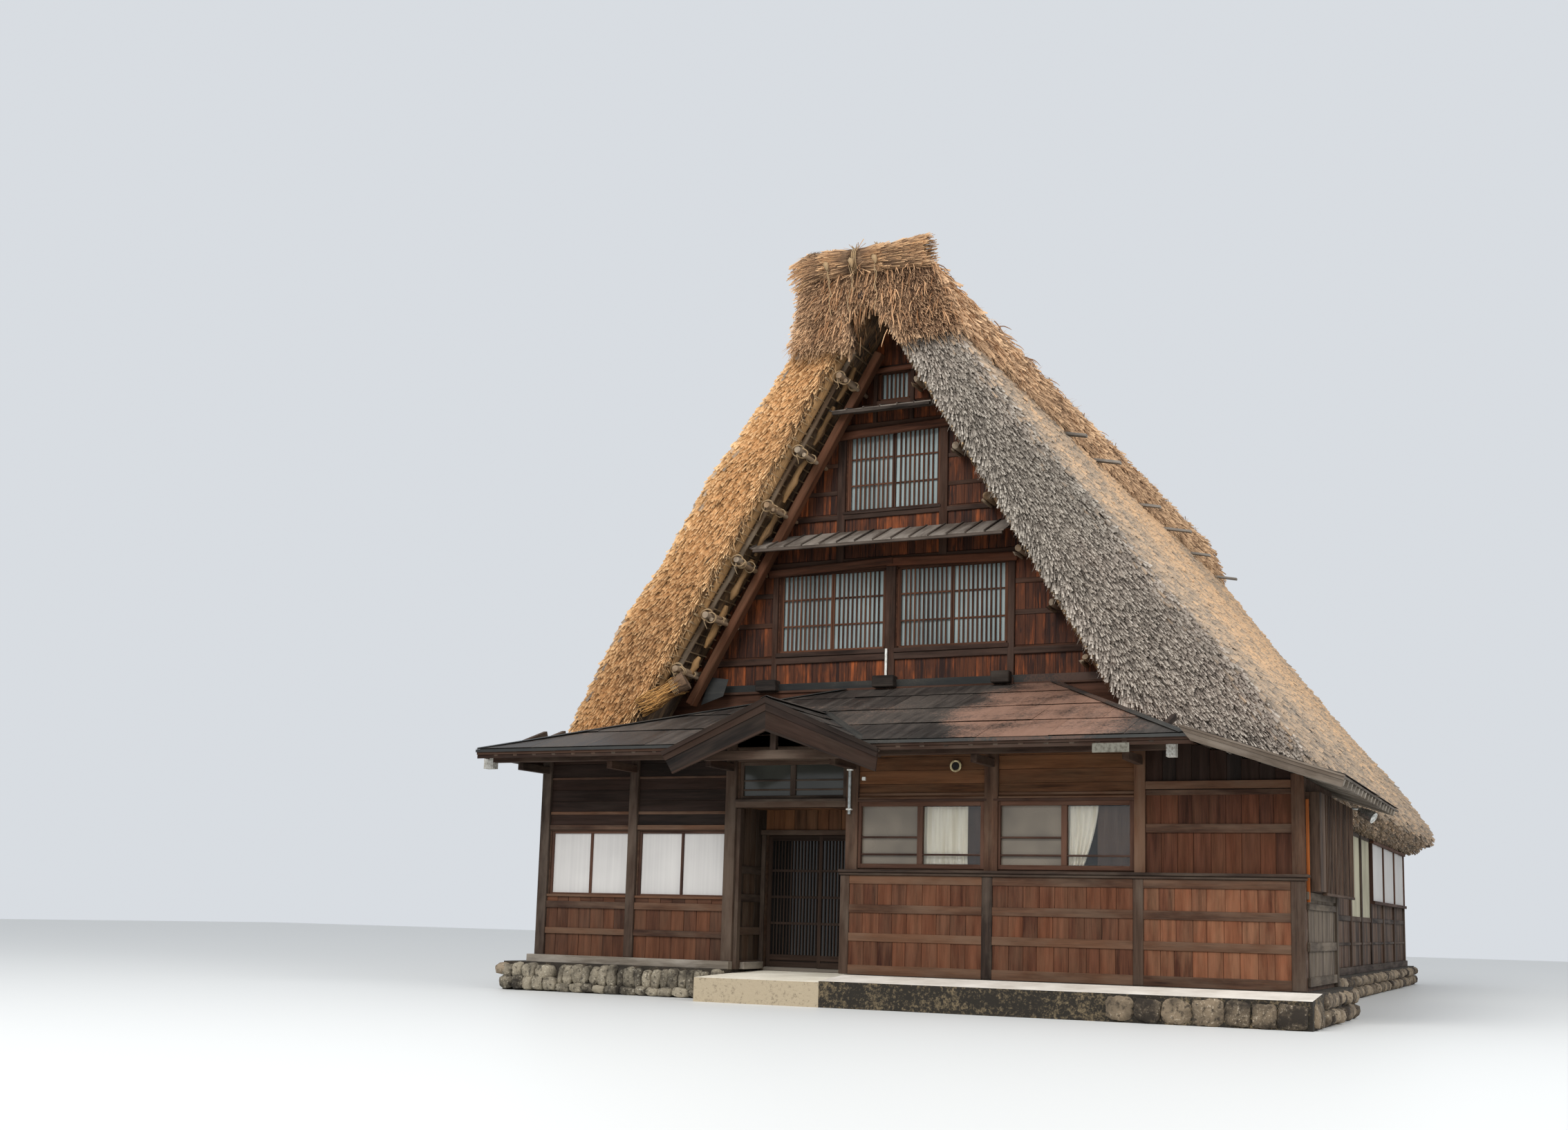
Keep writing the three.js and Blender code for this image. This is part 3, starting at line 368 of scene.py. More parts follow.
def course(rng, start, end, z0, z1, width, deep, outward):
    """Stones side by side along one foot of wall, from z0 to z1 high"""
    start = Vector(start)
    run = Vector(end) - start
    places, sizes, turns = [], [], []
    at = 0.0
    while at < run.length - 0.4 * width:
        wide = width * rng.uniform(0.7, 1.35)
        tall = (z1 - z0) * rng.uniform(0.94, 1.08)
        centre = start + run.normalized() * (at + wide / 2)
        places.append((centre.x + outward[0] * rng.uniform(-0.01, 0.03),
                       centre.y + outward[1] * rng.uniform(-0.01, 0.03), z0 + tall / 2))
        along_x = abs(run.x) > abs(run.y)
        sizes.append((wide * 1.02 if along_x else deep, deep if along_x else wide * 1.02, tall))
        turns.append((rng.uniform(-0.1, 0.1), rng.uniform(-0.16, 0.16), rng.uniform(-0.12, 0.12)))
        at += wide
    return places, sizes, turns


def laid_stones(name, courses, lump, seed, finish):
    places, sizes, turns = [sum((part[i] for part in courses), []) for i in range(3)]
    source = points_mesh(places, size=sizes, turn=turns)
    inputs = {"Stone": lump, "Roughness": 0.07, "Seed": seed, "Finish": finish}
    return settle(grown(name, set_stones, source, inputs), "stone")


rng = np.random.default_rng(3)
FRONT_END = 2.93
LOW_COURSE = 0.17
UPRIGHT_FROM = 0.55
laid_stones("front_base_stones", [
    course(rng, (x0, y, 0), (x1, y, 0), z0, z1, width, deep, (0, -1))
    for x0, x1, y, z0, z1, width, deep in (
        (-0.33, UPRIGHT_FROM, -0.15, LOW_COURSE - 0.02, STONE_TOP - 0.02, 0.20, 0.22),
        (UPRIGHT_FROM, FRONT_END, -0.16, 0.075, STONE_TOP - 0.02, 0.125, 0.2),
        (-0.33, UPRIGHT_FROM, -0.19, 0.01, LOW_COURSE + 0.02, 0.17, 0.2),
        (UPRIGHT_FROM, FRONT_END, -0.20, 0.0, 0.115, 0.19, 0.2))
], upright_stone, 5, base_stone)
side_runs = [
    ((STONE_RIGHT - 0.05, -0.1, 0), (STONE_RIGHT - 0.05, LEAN_WALL_BACK, 0), (1, 0)),
    ((STONE_RIGHT, LEAN_WALL_BACK - 0.05, 0), (MAIN_BASE_RIGHT, LEAN_WALL_BACK - 0.05, 0), (0, 1)),
    ((MAIN_BASE_RIGHT - 0.05, LEAN_WALL_BACK, 0), (MAIN_BASE_RIGHT - 0.05, BASE_BACK, 0), (1, 0)),
    ((MAIN_BASE_RIGHT, BASE_BACK - 0.05, 0), (MAIN_BASE_LEFT, BASE_BACK - 0.05, 0), (0, 1)),
    ((MAIN_BASE_LEFT + 0.05, BASE_BACK, 0), (MAIN_BASE_LEFT + 0.05, 0.3, 0), (-1, 0)),
    ((MAIN_BASE_LEFT - 0.17, 0.3, 0), (MAIN_BASE_LEFT - 0.17, -0.15, 0), (-1, 0)),
]
laid_stones("side_base_stones", [
    course(rng, start, end, z0, z1, 0.27, 0.24, outward)
    for start, end, outward in side_runs
    for z0, z1 in ((0.005, 0.19), (0.18, STONE_TOP - 0.02))
], small_stone, 9, field_stone)

# Slab along the right half and door landing: cast concrete with a pale trowelled top. The slab's
# face is rough and blackened by damp, and its right end stands on squared stones.
SLAB_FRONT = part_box("front_slab")[0].y
BLOCKS_FROM = 8.05
BLOCK_WIDE, BLOCK_DEEP, BLOCK_TOP = 0.29, 0.26, 0.285
block_line = SLAB_FRONT + 0.1
laid_stones("slab_edge_stones", [
    course(rng, start, end, 0.005, BLOCK_TOP, BLOCK_WIDE, BLOCK_DEEP, outward)
    for start, end, outward in (
        ((BLOCKS_FROM, block_line, 0), (STONE_RIGHT - 0.02, block_line, 0), (0, -1)),
        ((STONE_RIGHT - 0.1, block_line, 0), (STONE_RIGHT - 0.1, -0.15, 0), (1, 0)))
], block_stone, 12, edge_stone)


def concrete(name, top, face, stain, stained):
    """Cast concrete: a pale swept top, and a coarse face with dark growth where it is stained"""
    material, tree, shader, here = new_material(name)
    facing = put(tree, "ShaderNodeTexCoord").outputs["Normal"]
    level = spread(tree, put(tree, "ShaderNodeSeparateXYZ", facing).outputs["Z"], 0.5, 0.8)
    cloudy = cloud(tree, here, 2.2, 5.0, 0.6)
    speckled = cloud(tree, here, 26.0, 6.0, 0.75)
    swept = mixed(tree, spread(tree, cloudy, 0.35, 0.7, 0.0, 0.4), paint(top), paint(face))
    edge = 0.30 + 0.5 * stained
    growth = spread(tree, weighed(tree, (speckled, 1), (cloudy, 0.5)),
                    edge, edge + 0.22, 1.0, 0.0)
    rough_face = mixed(tree, growth, paint(face), paint(stain))
    tree.links.new(mixed(tree, level, rough_face, swept), shader["Base Color"])
    shader["Roughness"].default_value = 0.9
    bumped(tree, shader, speckled, 0.5, 0.02)
    return material


def repaint(node, material):
    """A node whose shape is right keeps it and takes a finish"""
    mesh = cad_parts[node].data
    mesh.materials.clear()
    mesh.materials.append(material)


# The landing's top is near white: partly its pale trowelled top, partly painted light that offsets the
# hood's shadow
repaint("door_landing", concrete("landing_concrete", "fff6e2", "b0a086", "574b3a", 0.4))
repaint("front_slab", concrete("slab_concrete", "f4ece0", "857356", "221c13", 0.9))
repaint("stone_base", stone_finish("packed_earth", "2b241b", "544838", "6d604e"))

# Front timber frame: sawn cedar posts, sill, rails and head beam, darkened by smoke and weather.
# Every stick is laid in by a tree that gives it its true size, its chamfers, a slight warp and its
# own grain, which runs along it.
SILL = 0.40
CHAMFER = 0.004
DULL_SHINE = 0.28
APART = (91.0, 37.0, 53.0)


def stick_end(name):
    """A bar two units long each way whose corners know how far in their chamfer lies"""
    mesh = bpy.data.meshes.new(name)
    shape = bmesh.new()
    bmesh.ops.create_cube(shape, size=2.0)
    bmesh.ops.bevel(shape, geom=shape.edges[:], offset=0.2, segments=1, affect="EDGES")
    shape.to_mesh(mesh)
    shape.free()
    places = np.array([v.co for v in mesh.vertices])
    corner = np.sign(places)
    inset = np.where(np.abs(places) < 0.9, corner, 0.0)
    keep_values(mesh, corner=corner, inset=inset)
    return bpy.data.objects.new(name, mesh)


def timber_tree():
    tree, given, result = new_tree(
        "timber_work", "GeometryNodeTree",
        [("Geometry", "Geometry"), ("Stick", "Object"), ("Chamfer", "Float"), ("Warp", "Float"),
         ("Seed", "Int"), ("Finish", "Material")], [("Geometry", "Geometry")])
    stick = put(tree, "GeometryNodeObjectInfo", given["Stick"]).outputs["Geometry"]
    placed = put(tree, "GeometryNodeInstanceOnPoints", given["Geometry"], None, stick, None, None,
                 None, (0.0, 0.0, 0.0)).outputs[0]
    toned = kept(tree, placed, "tone", between(tree, 0.0, 1.0, given["Seed"]), "FLOAT", "INSTANCE")
    real = put(tree, "GeometryNodeRealizeInstances", toned).outputs[0]
    half = vector(tree, "MULTIPLY", named(tree, "size"), (0.5, 0.5, 0.5))
    square = vector(tree, "MULTIPLY", named(tree, "corner"), half)
    cut_in = scaled(tree, named(tree, "inset"), given["Chamfer"])
    sawn = vector(tree, "SUBTRACT", square, cut_in)
    apart = scaled(tree, APART, named(tree, "tone", "FLOAT"))
    grain = vector(tree, "ADD", sawn, apart)
    wave = vector(tree, "SUBTRACT", noise(tree, grain, 0.9, 1.0).outputs[1], (0.5, 0.5, 0.5))
    sideways = vector(tree, "MULTIPLY", wave, (0.0, 1.0, 1.0))
    warped = vector(tree, "ADD", sawn, scaled(tree, sideways, given["Warp"]))
    turned = put(tree, "FunctionNodeEulerToRotation", named(tree, "turn")).outputs[0]
    laid = put(tree, "FunctionNodeRotateVector", warped, turned).outputs[0]
    return handed_on(tree, given, result, kept(tree, moved(tree, real, laid), "grain", grain))


def wood_grain_group():
    """Straight grain with darker rings, a colour of its own for each stick, and greying"""
    tree, given, result = new_tree(
        "wood_grain", "ShaderNodeTree",
        [("Grain", "Vector"), ("Tone", "Float"), ("Dark", "Color"), ("Light", "Color"),
         ("Grey", "Color"), ("Greying", "Float"), ("Contrast", "Float")],
        [("Color", "Color"), ("Roughness", "Float"), ("Height", "Float")])
    rings = cloud(tree, given["Grain"], (1.1, 14.0, 14.0), 3.0, 0.6)
    fibre = cloud(tree, given["Grain"], (5.0, 130.0, 130.0), 3.0, 0.6)
    patch = cloud(tree, vector(tree, "MULTIPLY", given["Grain"], (1.0, 3.0, 3.0)), 1.3, 4.0, 0.6)
    own = number(tree, "MULTIPLY", number(tree, "SUBTRACT", given["Tone"], 0.5), given["Contrast"])
    figure = weighed(tree, (rings, 0.62), (fibre, 0.38))
    shade = number(tree, "ADD", spread(tree, figure, 0.3, 0.7), own)
    colour = mixed(tree, put(tree, "ShaderNodeClamp", shade).outputs[0], given["Dark"], given["Light"])
    worn = number(tree, "MULTIPLY", spread(tree, patch, 0.42, 0.62), given["Greying"])
    tree.links.new(mixed(tree, worn, colour, given["Grey"]), result["Color"])
    tree.links.new(spread(tree, rings, 0.3, 0.7, 0.95, 0.68), result["Roughness"])
    tree.links.new(figure, result["Height"])
    return tree


stick = stick_end("stick")
timber_work = timber_tree()
wood_grain = wood_grain_group()


def wood(name, dark, light, grey, greying=0.4, contrast=0.9, own_grain=True):
    """A timber finish. Sawn sticks bring their own grain, solids use their place"""
    material, tree, shader, here = new_material(name)
    grain = attribute(tree, "grain").outputs["Vector"] if own_grain else here
    tone = attribute(tree, "tone").outputs["Fac"] if own_grain else 0.5
    look = put(tree, "ShaderNodeGroup", node_tree=wood_grain)
    fill(tree, look.inputs, (grain, tone, paint(dark), paint(light), paint(grey), greying, contrast))
    tree.links.new(look.outputs["Color"], shader["Base Color"])
    tree.links.new(look.outputs["Roughness"], shader["Roughness"])
    shader["Specular IOR Level"].default_value = DULL_SHINE
    bumped(tree, shader, look.outputs["Height"], 0.45, 0.004)
    return material


def beam(start, end, width, depth):
    """A straight stick: width is level across it, depth is square to both"""
    start, end = Vector(start), Vector(end)
    along = (end - start).normalized()
    hint = Vector((0, -1, 0)) if abs(along.z) > 0.999 else Vector((0, 0, 1))
    side = hint.cross(along).normalized()
    facing = Matrix((along, side, along.cross(side))).transposed().to_euler()
    return ((start + end) / 2, ((end - start).length, width, depth), tuple(facing))


def bar(x0, x1, y0, y1, z0, z1):
    """A stick that fills a box, its grain along the longest side"""
    middle = ((x0 + x1) / 2, (y0 + y1) / 2, (z0 + z1) / 2)
    spans = (x1 - x0, y1 - y0, z1 - z0)
    longest = spans.index(max(spans))
    start, end = list(middle), list(middle)
    start[longest] -= spans[longest] / 2
    end[longest] += spans[longest] / 2
    width, depth = ((spans[1], spans[2]), (spans[0], spans[2]), (spans[0], spans[1]))[longest]
    return beam(start, end, width, depth)


def raised(x0, x1, y0, y1, z0, z1):
    """A stick that fills a box whose heights are told from the sill"""
    return bar(x0, x1, y0, y1, SILL + z0, SILL + z1)


def carpentry(name, sticks, material, slot, *nodes, seed=1, chamfer=CHAMFER, warp=0.0, body="house"):
    """One piece made of many sticks, which may stand for nodes"""
    places, sizes, turns = zip(*sticks)
    source = points_mesh(places, size=sizes, turn=turns)
    inputs = {"Stick": stick, "Chamfer": chamfer, "Warp": warp, "Seed": seed, "Finish": material}
    return settle(grown(name, timber_work, source, inputs), slot, *nodes, body=body)


dark_post = wood("dark_post", "241a14", "4c392c", "6a5d50", 0.35)
brown_rail = wood("brown_rail", "311f16", "63432e", "746150", 0.3)
grey_timber = wood("grey_timber", "4a4239", "877c6e", "a79e92", 0.6)
POST_FACE, WALL_FACE = 0.0, 0.05
HEAD_LOW, HEAD_TOP = SILL + 2.78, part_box("front_frame_left")[1].z
POSTS = {"A": (0.0, 0.14), "B": (1.38, 1.51), "C": (2.82, 2.97), "E": (4.52, 4.68),
         "F": (6.33, 6.50), "G": (8.15, 8.28), "corner": (9.92, 10.06)}
SILL_BEAM_TOP = SILL + 0.07
left_bays = [(POSTS["A"][1], POSTS["B"][0]), (POSTS["B"][1], POSTS["C"][0])]
uprights = [bar(*POSTS[key], POST_FACE, WALL_FACE, SILL_BEAM_TOP, HEAD_TOP) for key in "ABC"]
uprights.append(bar(0.0, 2.97, POST_FACE, WALL_FACE, HEAD_LOW, HEAD_TOP))
carpentry("left_posts", uprights, dark_post, "dark_post", "front_frame_left", seed=2, warp=0.012)
LEFT_RAILS = [(0.35, 0.43), (0.69, 0.78), (0.84, 0.87), (1.73, 1.79), (1.93, 1.97), (2.40, 2.43)]
carpentry("left_rails", [
    raised(x0, x1, 0.015 if z1 < 1.9 else 0.03, WALL_FACE, z0, z1)
    for x0, x1 in left_bays for z0, z1 in LEFT_RAILS
], brown_rail, "dark_post", seed=4)
carpentry("left_ground_sill", [
    bar(-0.08, 2.97, -0.06, WALL_FACE, SILL - 0.03, SILL_BEAM_TOP),
    raised(2.97, 3.06, 0.2, 0.74, -0.03, 0.06),
], grey_timber, "dark_post", seed=6, warp=0.02)
CAP_LOW, CAP_TOP = SILL + 1.17, SILL + 1.24
carpentry("right_posts", [
    *[bar(*POSTS[key], POST_FACE, WALL_FACE, CAP_TOP, HEAD_TOP) for key in "EFG"],
    bar(*POSTS["corner"], POST_FACE, WALL_FACE, CAP_TOP, SILL + 2.36),
    bar(4.52, 8.28, POST_FACE, WALL_FACE, HEAD_LOW, HEAD_TOP),
], brown_rail, "dark_post", "front_frame_right", seed=8, warp=0.012)
carpentry("right_rails", [
    *[raised(x0, x1, 0.01, WALL_FACE, 2.085, 2.13) for x0, x1 in ((4.68, 6.33), (6.5, 8.15))],
    *[raised(x0, x1, 0.025, WALL_FACE, 2.15, 2.18) for x0, x1 in ((4.68, 6.33), (6.5, 8.15))],
    raised(8.28, 9.92, 0.005, WALL_FACE, 2.20, 2.29),
    raised(8.28, 9.92, 0.02, WALL_FACE, 2.13, 2.19),
    raised(8.28, 9.92, 0.015, WALL_FACE, 1.70, 1.80),
], brown_rail, "dark_post", seed=10, warp=0.01)

# Wainscot: three rows of upright cedar boards between proud posts and rails, under a moulded cap
# that runs the whole right half. Its boards are newer and redder than the wall above.
WAINSCOT_POSTS = [(4.49, 4.61), (6.33, 6.46), (8.15, 8.27), (9.91, 10.06)]
WAINSCOT_FACE, WAINSCOT_BACK = -0.06, -0.03
carpentry("wainscot_posts", [
    *[bar(x0, x1, WAINSCOT_FACE, WAINSCOT_BACK, SILL - 0.03, CAP_LOW) for x0, x1 in WAINSCOT_POSTS],
    bar(4.47, 10.11, -0.10, WALL_FACE, CAP_LOW + 0.035, CAP_TOP),
    bar(4.48, 10.09, -0.08, -0.02, CAP_LOW, CAP_LOW + 0.033),
], dark_post, "dark_post", "wainscot_frame", seed=12, chamfer=0.007)
wainscot_bays = [(a[1], b[0]) for a, b in zip(WAINSCOT_POSTS, WAINSCOT_POSTS[1:])]
WAINSCOT_RAILS = ((-0.03, 0.085), (0.37, 0.47), (0.715, 0.815), (1.065, 1.168))
carpentry("wainscot_rails", [
    raised(x0, x1, WAINSCOT_FACE + 0.005, WAINSCOT_BACK, z0, z1)
    for x0, x1 in wainscot_bays for z0, z1 in WAINSCOT_RAILS
], brown_rail, "dark_post", seed=14, warp=0.008)

# Wall boards: upright cedar boards below the windows and in the right bay, level courses above.
# They are nailed to the wall side by side with a narrow joint, and each has its own colour.
BOARD = 0.012
JOINT = 0.003


def upright_boards(rng, x0, x1, face, z0, z1, width, out=-1.0, axis="y"):
    """Boards side by side over a stretch of wall. face is the wall's surface, out its way out"""
    count = max(1, round((x1 - x0) / width))
    cuts = [x0 + (x1 - x0) * (i + (rng.uniform(-0.1, 0.1) if 0 < i < count else 0)) / count
            for i in range(count + 1)]
    boards = []
    for a, b in zip(cuts, cuts[1:]):
        proud = face + out * (BOARD + rng.uniform(-0.003, 0.002))
        low, high = sorted((face - out * 0.002, proud))
        across = (a + JOINT / 2, b - JOINT / 2)
        boards.append(bar(*across, low, high, z0, z1) if axis == "y" else bar(low, high, *across, z0, z1))
    return boards


def level_boards(rng, x0, x1, face, z0, z1, width, out=-1.0):
    """Level courses, each board's foot a little proud of the one below"""
    count = max(1, round((z1 - z0) / width))
    boards = []
    for i in range(count):
        a = z0 + (z1 - z0) * i / count + JOINT / 2
        b = z0 + (z1 - z0) * (i + 1) / count - JOINT / 2
        proud = face + out * (BOARD + rng.uniform(-0.002, 0.003))
        low, high = sorted((face - out * 0.002, proud))
        boards.append(bar(x0, x1, low, high, a, b))
    return boards


rng = np.random.default_rng(21)
cedar = wood("cedar_board", "32180d", "6a3e26", "6d5641", 0.2, 0.55)
# Near-black boards: their darkness is painted shade, for walls under the eaves and under the straw's edge
shaded_board = wood("painted_shade_board", "110904", "2d180c", "2b2018", 0.3, 0.8)
warm_board = wood("warm_board", "341e0f", "6f4628", "644d36", 0.25, 0.8)
sunny_cedar = wood("sunny_cedar", "3d2013", "7f4d32", "8d6e53", 0.25, 0.6)
for name, bays, finish in (("wainscot_boards", wainscot_bays[:2], cedar),
                           ("wainscot_boards_right", wainscot_bays[2:], sunny_cedar)):
    carpentry(name, [
        board for x0, x1 in bays
        for z0, z1 in ((0.08, 0.375), (0.465, 0.72), (0.81, 1.07))
        for board in upright_boards(rng, x0, x1, WAINSCOT_BACK, SILL + z0, SILL + z1, 0.185)
    ], finish, "wall_board", seed=16)
carpentry("left_lower_boards", [
    board for x0, x1 in left_bays for z0, z1 in ((0.065, 0.355), (0.425, 0.695), (0.77, 0.845))
    for board in upright_boards(rng, x0, x1, WALL_FACE, SILL + z0, SILL + z1, 0.175)
], wood("left_board", "311b11", "633b24", "6b5846", 0.15, 0.6), "wall_board", seed=18)
carpentry("left_upper_boards", [
    board for x0, x1 in left_bays for z0, z1 in ((1.785, 1.935), (1.965, 2.405), (2.425, 2.79))
    for board in level_boards(rng, x0, x1, WALL_FACE, SILL + z0, SILL + z1, 0.155)
], shaded_board, "wall_board", seed=20)
carpentry("right_upper_boards", [
    board for x0, x1 in ((4.68, 6.33), (6.5, 8.15))
    for board in level_boards(rng, x0, x1, WALL_FACE, SILL + 2.125, HEAD_LOW + 0.01, 0.165)
], warm_board, "wall_board", seed=22)
VERGE_LOW = [(8.28, SILL + 2.79), (9.92, SILL + 2.3)]
carpentry("right_bay_boards", [
    *upright_boards(rng, 8.28, 9.92, WALL_FACE, CAP_TOP, SILL + 1.705, 0.182),
    *upright_boards(rng, 8.28, 9.92, WALL_FACE, SILL + 1.795, SILL + 2.14, 0.182),
], wood("bay_board", "2d160b", "5e331c", "5c432d", 0.15, 0.5), "wall_board", seed=24)
slope = (VERGE_LOW[1][1] - VERGE_LOW[0][1]) / (VERGE_LOW[1][0] - VERGE_LOW[0][0])
under_verge = []
for (x, y, _), (_, wide, deep), _ in upright_boards(
        rng, 8.28, 9.92, WALL_FACE, SILL + 2.285, SILL + 2.6, 0.182):
    top = VERGE_LOW[0][1] + slope * (x - VERGE_LOW[0][0]) + 0.1
    under_verge.append(bar(x - wide / 2, x + wide / 2, y - deep / 2, y + deep / 2, SILL + 2.285, top))
carpentry("under_verge_boards", under_verge, shaded_board, "wall_board", seed=26)
solid_board = wood("wall_solid", "33231a", "5c4230", "5f5348", 0.3, 0.6, own_grain=False)
for node in ("front_wall_left", "front_wall_right", "door_head_wall", "porch_left_wall",
             "porch_right_wall", "transom_wall", "left_wall", "right_wall", "lean_to_side_wall",
             "back_wall"):
    repaint(node, solid_board)

# Ground-floor windows: paper-white shoji behind a plain frame at the left, and sliding sashes with
# frosted and clear glass at the right, two leaves each in a box frame.
def flat_plates(name, plates, material, slot, *nodes, body="house", seed=1):
    """Closed plates: each an outline in space, a thickness vector and the way its grain runs"""
    rng = np.random.default_rng(seed)
    corners, faces, grains, tones = [], [], [], []
    for outline, thick, along in plates:
        outline = [Vector(p) for p in outline]
        thick, along = Vector(thick), Vector(along).normalized()
        area = sum((outline[i].cross(outline[(i + 1) % len(outline)]) for i in range(len(outline))),
                   Vector())
        if area.dot(thick) < 0:
            outline.reverse()
        count, first = len(outline), len(corners)
        across = thick.normalized().cross(along)
        tone = rng.random()
        for point in outline + [p + thick for p in outline]:
            corners.append(tuple(point))
            grains.append((point.dot(along) + 91 * tone, point.dot(across) + 37 * tone, 53 * tone))
            tones.append(tone)
        faces.append([first + i for i in reversed(range(count))])
        faces.append([first + count + i for i in range(count)])
        faces += [[first + i, first + (i + 1) % count, first + count + (i + 1) % count, first + count + i]
                  for i in range(count)]
    mesh = bpy.data.meshes.new(name)
    mesh.from_pydata(corners, [], faces)
    keep_values(mesh, grain=grains, tone=tones)
    mesh.materials.append(material)
    return settle(stood(name, mesh), slot, *nodes, body=body)


def pane(x0, x1, y, z0, z1, thick=0.006):
    return ([(x0, y, z0), (x1, y, z0), (x1, y, z1), (x0, y, z1)], (0, thick, 0), (0, 0, 1))


def paper_finish(name, light, shade):
    """Stretched white paper: faint upright bands and a soft sheen"""
    material, tree, shader, here = new_material(name)
    bands = cloud(tree, here, (26.0, 26.0, 0.5), 2.0)
    mood = weighed(tree, (bands, 0.5), (cloud(tree, here, 1.8, 2.0), 0.5))
    tree.links.new(shades(tree, mood, 0.35, 0.65, shade, light), shader["Base Color"])
    shader["Roughness"].default_value = 0.6
    bumped(tree, shader, bands, 0.1, 0.003)
    return material


def glass_finish(name, colour, roughness):
    """Old glass as an opaque sheet over a dim room: its tint and soft streaks, the sky on it from its
    shine;
    where the tint is near black it is painted shade of the room behind
    """
    material, tree, shader, here = new_material(name)
    cloudy = cloud(tree, here, 1.6, 2.0)
    deep = tuple(c * 0.55 for c in paint(colour)[:3]) + (1.0,)
    tree.links.new(mixed(tree, spread(tree, cloudy, 0.3, 0.7), deep, paint(colour)), shader["Base Color"])
    tree.links.new(spread(tree, cloudy, 0.3, 0.7, roughness, roughness * 0.6), shader["Roughness"])
    bumped(tree, shader, cloud(tree, here, 9.0, 2.0), 0.05, 0.004)
    return material


sash_brown = wood("sash_brown", "2c1a13", "5f3f2e", "5f5044", 0.15, 0.6)
shoji_paper = paper_finish("shoji_paper", "c6c2bd", "b9b5b1")
frosted = glass_finish("frosted_glass", "827768", 0.35)
shade_painted_glass = glass_finish("shade_painted_glass", "1d1c1b", 0.12)


def window_bars(x0, x1, y0, y1, z0, z1, edge, middle, rails=()):
    """A window's own frame, its meeting stiles and thin rails (z, from x, to x)"""
    centre = (x0 + x1) / 2
    bars = [bar(a, b, y0, y1, c, d) for a, b, c, d in (
        (x0, x0 + edge, z0, z1), (x1 - edge, x1, z0, z1),
        (x0 + edge, x1 - edge, z0, z0 + edge), (x0 + edge, x1 - edge, z1 - edge, z1))]
    bars += [bar(centre - middle / 2, centre + middle / 2, y0 + 0.004, y1 - 0.004, z0 + edge, z1 - edge)]
    bars += [bar(a, b, y0 + 0.014, y1 - 0.014, z - 0.011, z + 0.011) for z, a, b in rails]
    return bars


shoji_bars, shoji_panes = [], []
for number_of in (1, 2):
    low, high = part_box(f"shoji_window_{number_of}")
    shoji_bars += window_bars(low.x, high.x, low.y, high.y - 0.015, low.z, high.z, 0.034, 0.038)
    shoji_panes.append(pane(low.x + 0.02, high.x - 0.02, low.y + 0.022, low.z + 0.02, high.z - 0.02))
carpentry("shoji_frames", shoji_bars, sash_brown, "dark_post", seed=30, chamfer=0.003)
flat_plates("shoji_paper_sheets", shoji_panes, shoji_paper, "shoji", "shoji_window_1", "shoji_window_2")
sash_bars, frosted_panes, clear_panes, curtain_spots = [], [], [], []
SASH_EDGE = 0.055
MID_RAIL, LOW_RAIL = 0.38, 0.17
for number_of in (1, 2):
    low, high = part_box(f"sash_window_{number_of}")
    centre = (low.x + high.x) / 2
    mid_rail, low_rail = low.z + MID_RAIL, low.z + LOW_RAIL
    sash_bars += window_bars(low.x, high.x, low.y - 0.02, high.y - 0.02, low.z, high.z, SASH_EDGE, 0.07, (
        (mid_rail, low.x + SASH_EDGE, centre), (low_rail, low.x + SASH_EDGE, high.x - SASH_EDGE)))
    sash_bars += [bar(low.x - 0.03, high.x + 0.03, 0.0, 0.05, high.z - 0.002, high.z + 0.028)]
    frosted_panes.append(pane(low.x + 0.03, centre, low.y + 0.03, low.z + 0.03, high.z - 0.03))
    curtain_spots.append((centre + 0.035, high.x - SASH_EDGE, low.y + 0.062, low.z + 0.06, high.z - 0.06))
    clear_panes.append(pane(centre, high.x - 0.03, low.y + 0.022, low.z + 0.03, high.z - 0.03, 0.004))
carpentry("sash_frames", sash_bars, sash_brown, "dark_post", seed=32, chamfer=0.003)
flat_plates("frosted_panes", frosted_panes, frosted, "frosted_pane", "sash_window_1", "sash_window_2")
clear_glass, tree, shader, here = new_material("clear_glass")
shader["Base Color"].default_value = (0.97, 0.98, 0.97, 1)
shader["Transmission Weight"].default_value = 1.0
shader["IOR"].default_value = 1.45
streaks = cloud(tree, here, (3.0, 3.0, 0.8))
tree.links.new(spread(tree, streaks, 0.35, 0.7, 0.02, 0.12), shader["Roughness"])
flat_plates("clear_panes", clear_panes, clear_glass, "frosted_pane")

# Curtains behind the two clear sashes: plain cotton hung in shallow folds from a rod. The left one
# is cream and leaves a dark strip, the right one is drawn half across a brown blind board.
cotton, tree, shader, here = new_material("cotton")
weave = cloud(tree, here, (300.0, 300.0, 300.0), 1.0)
soft = cloud(tree, here, (14.0, 14.0, 0.8), 2.0)
tree.links.new(shades(tree, soft, 0.35, 0.65, "dfd4bd", "f7efdf"), shader["Base Color"])
shader["Roughness"].default_value = 0.9
bumped(tree, shader, weave, 0.2, 0.001)


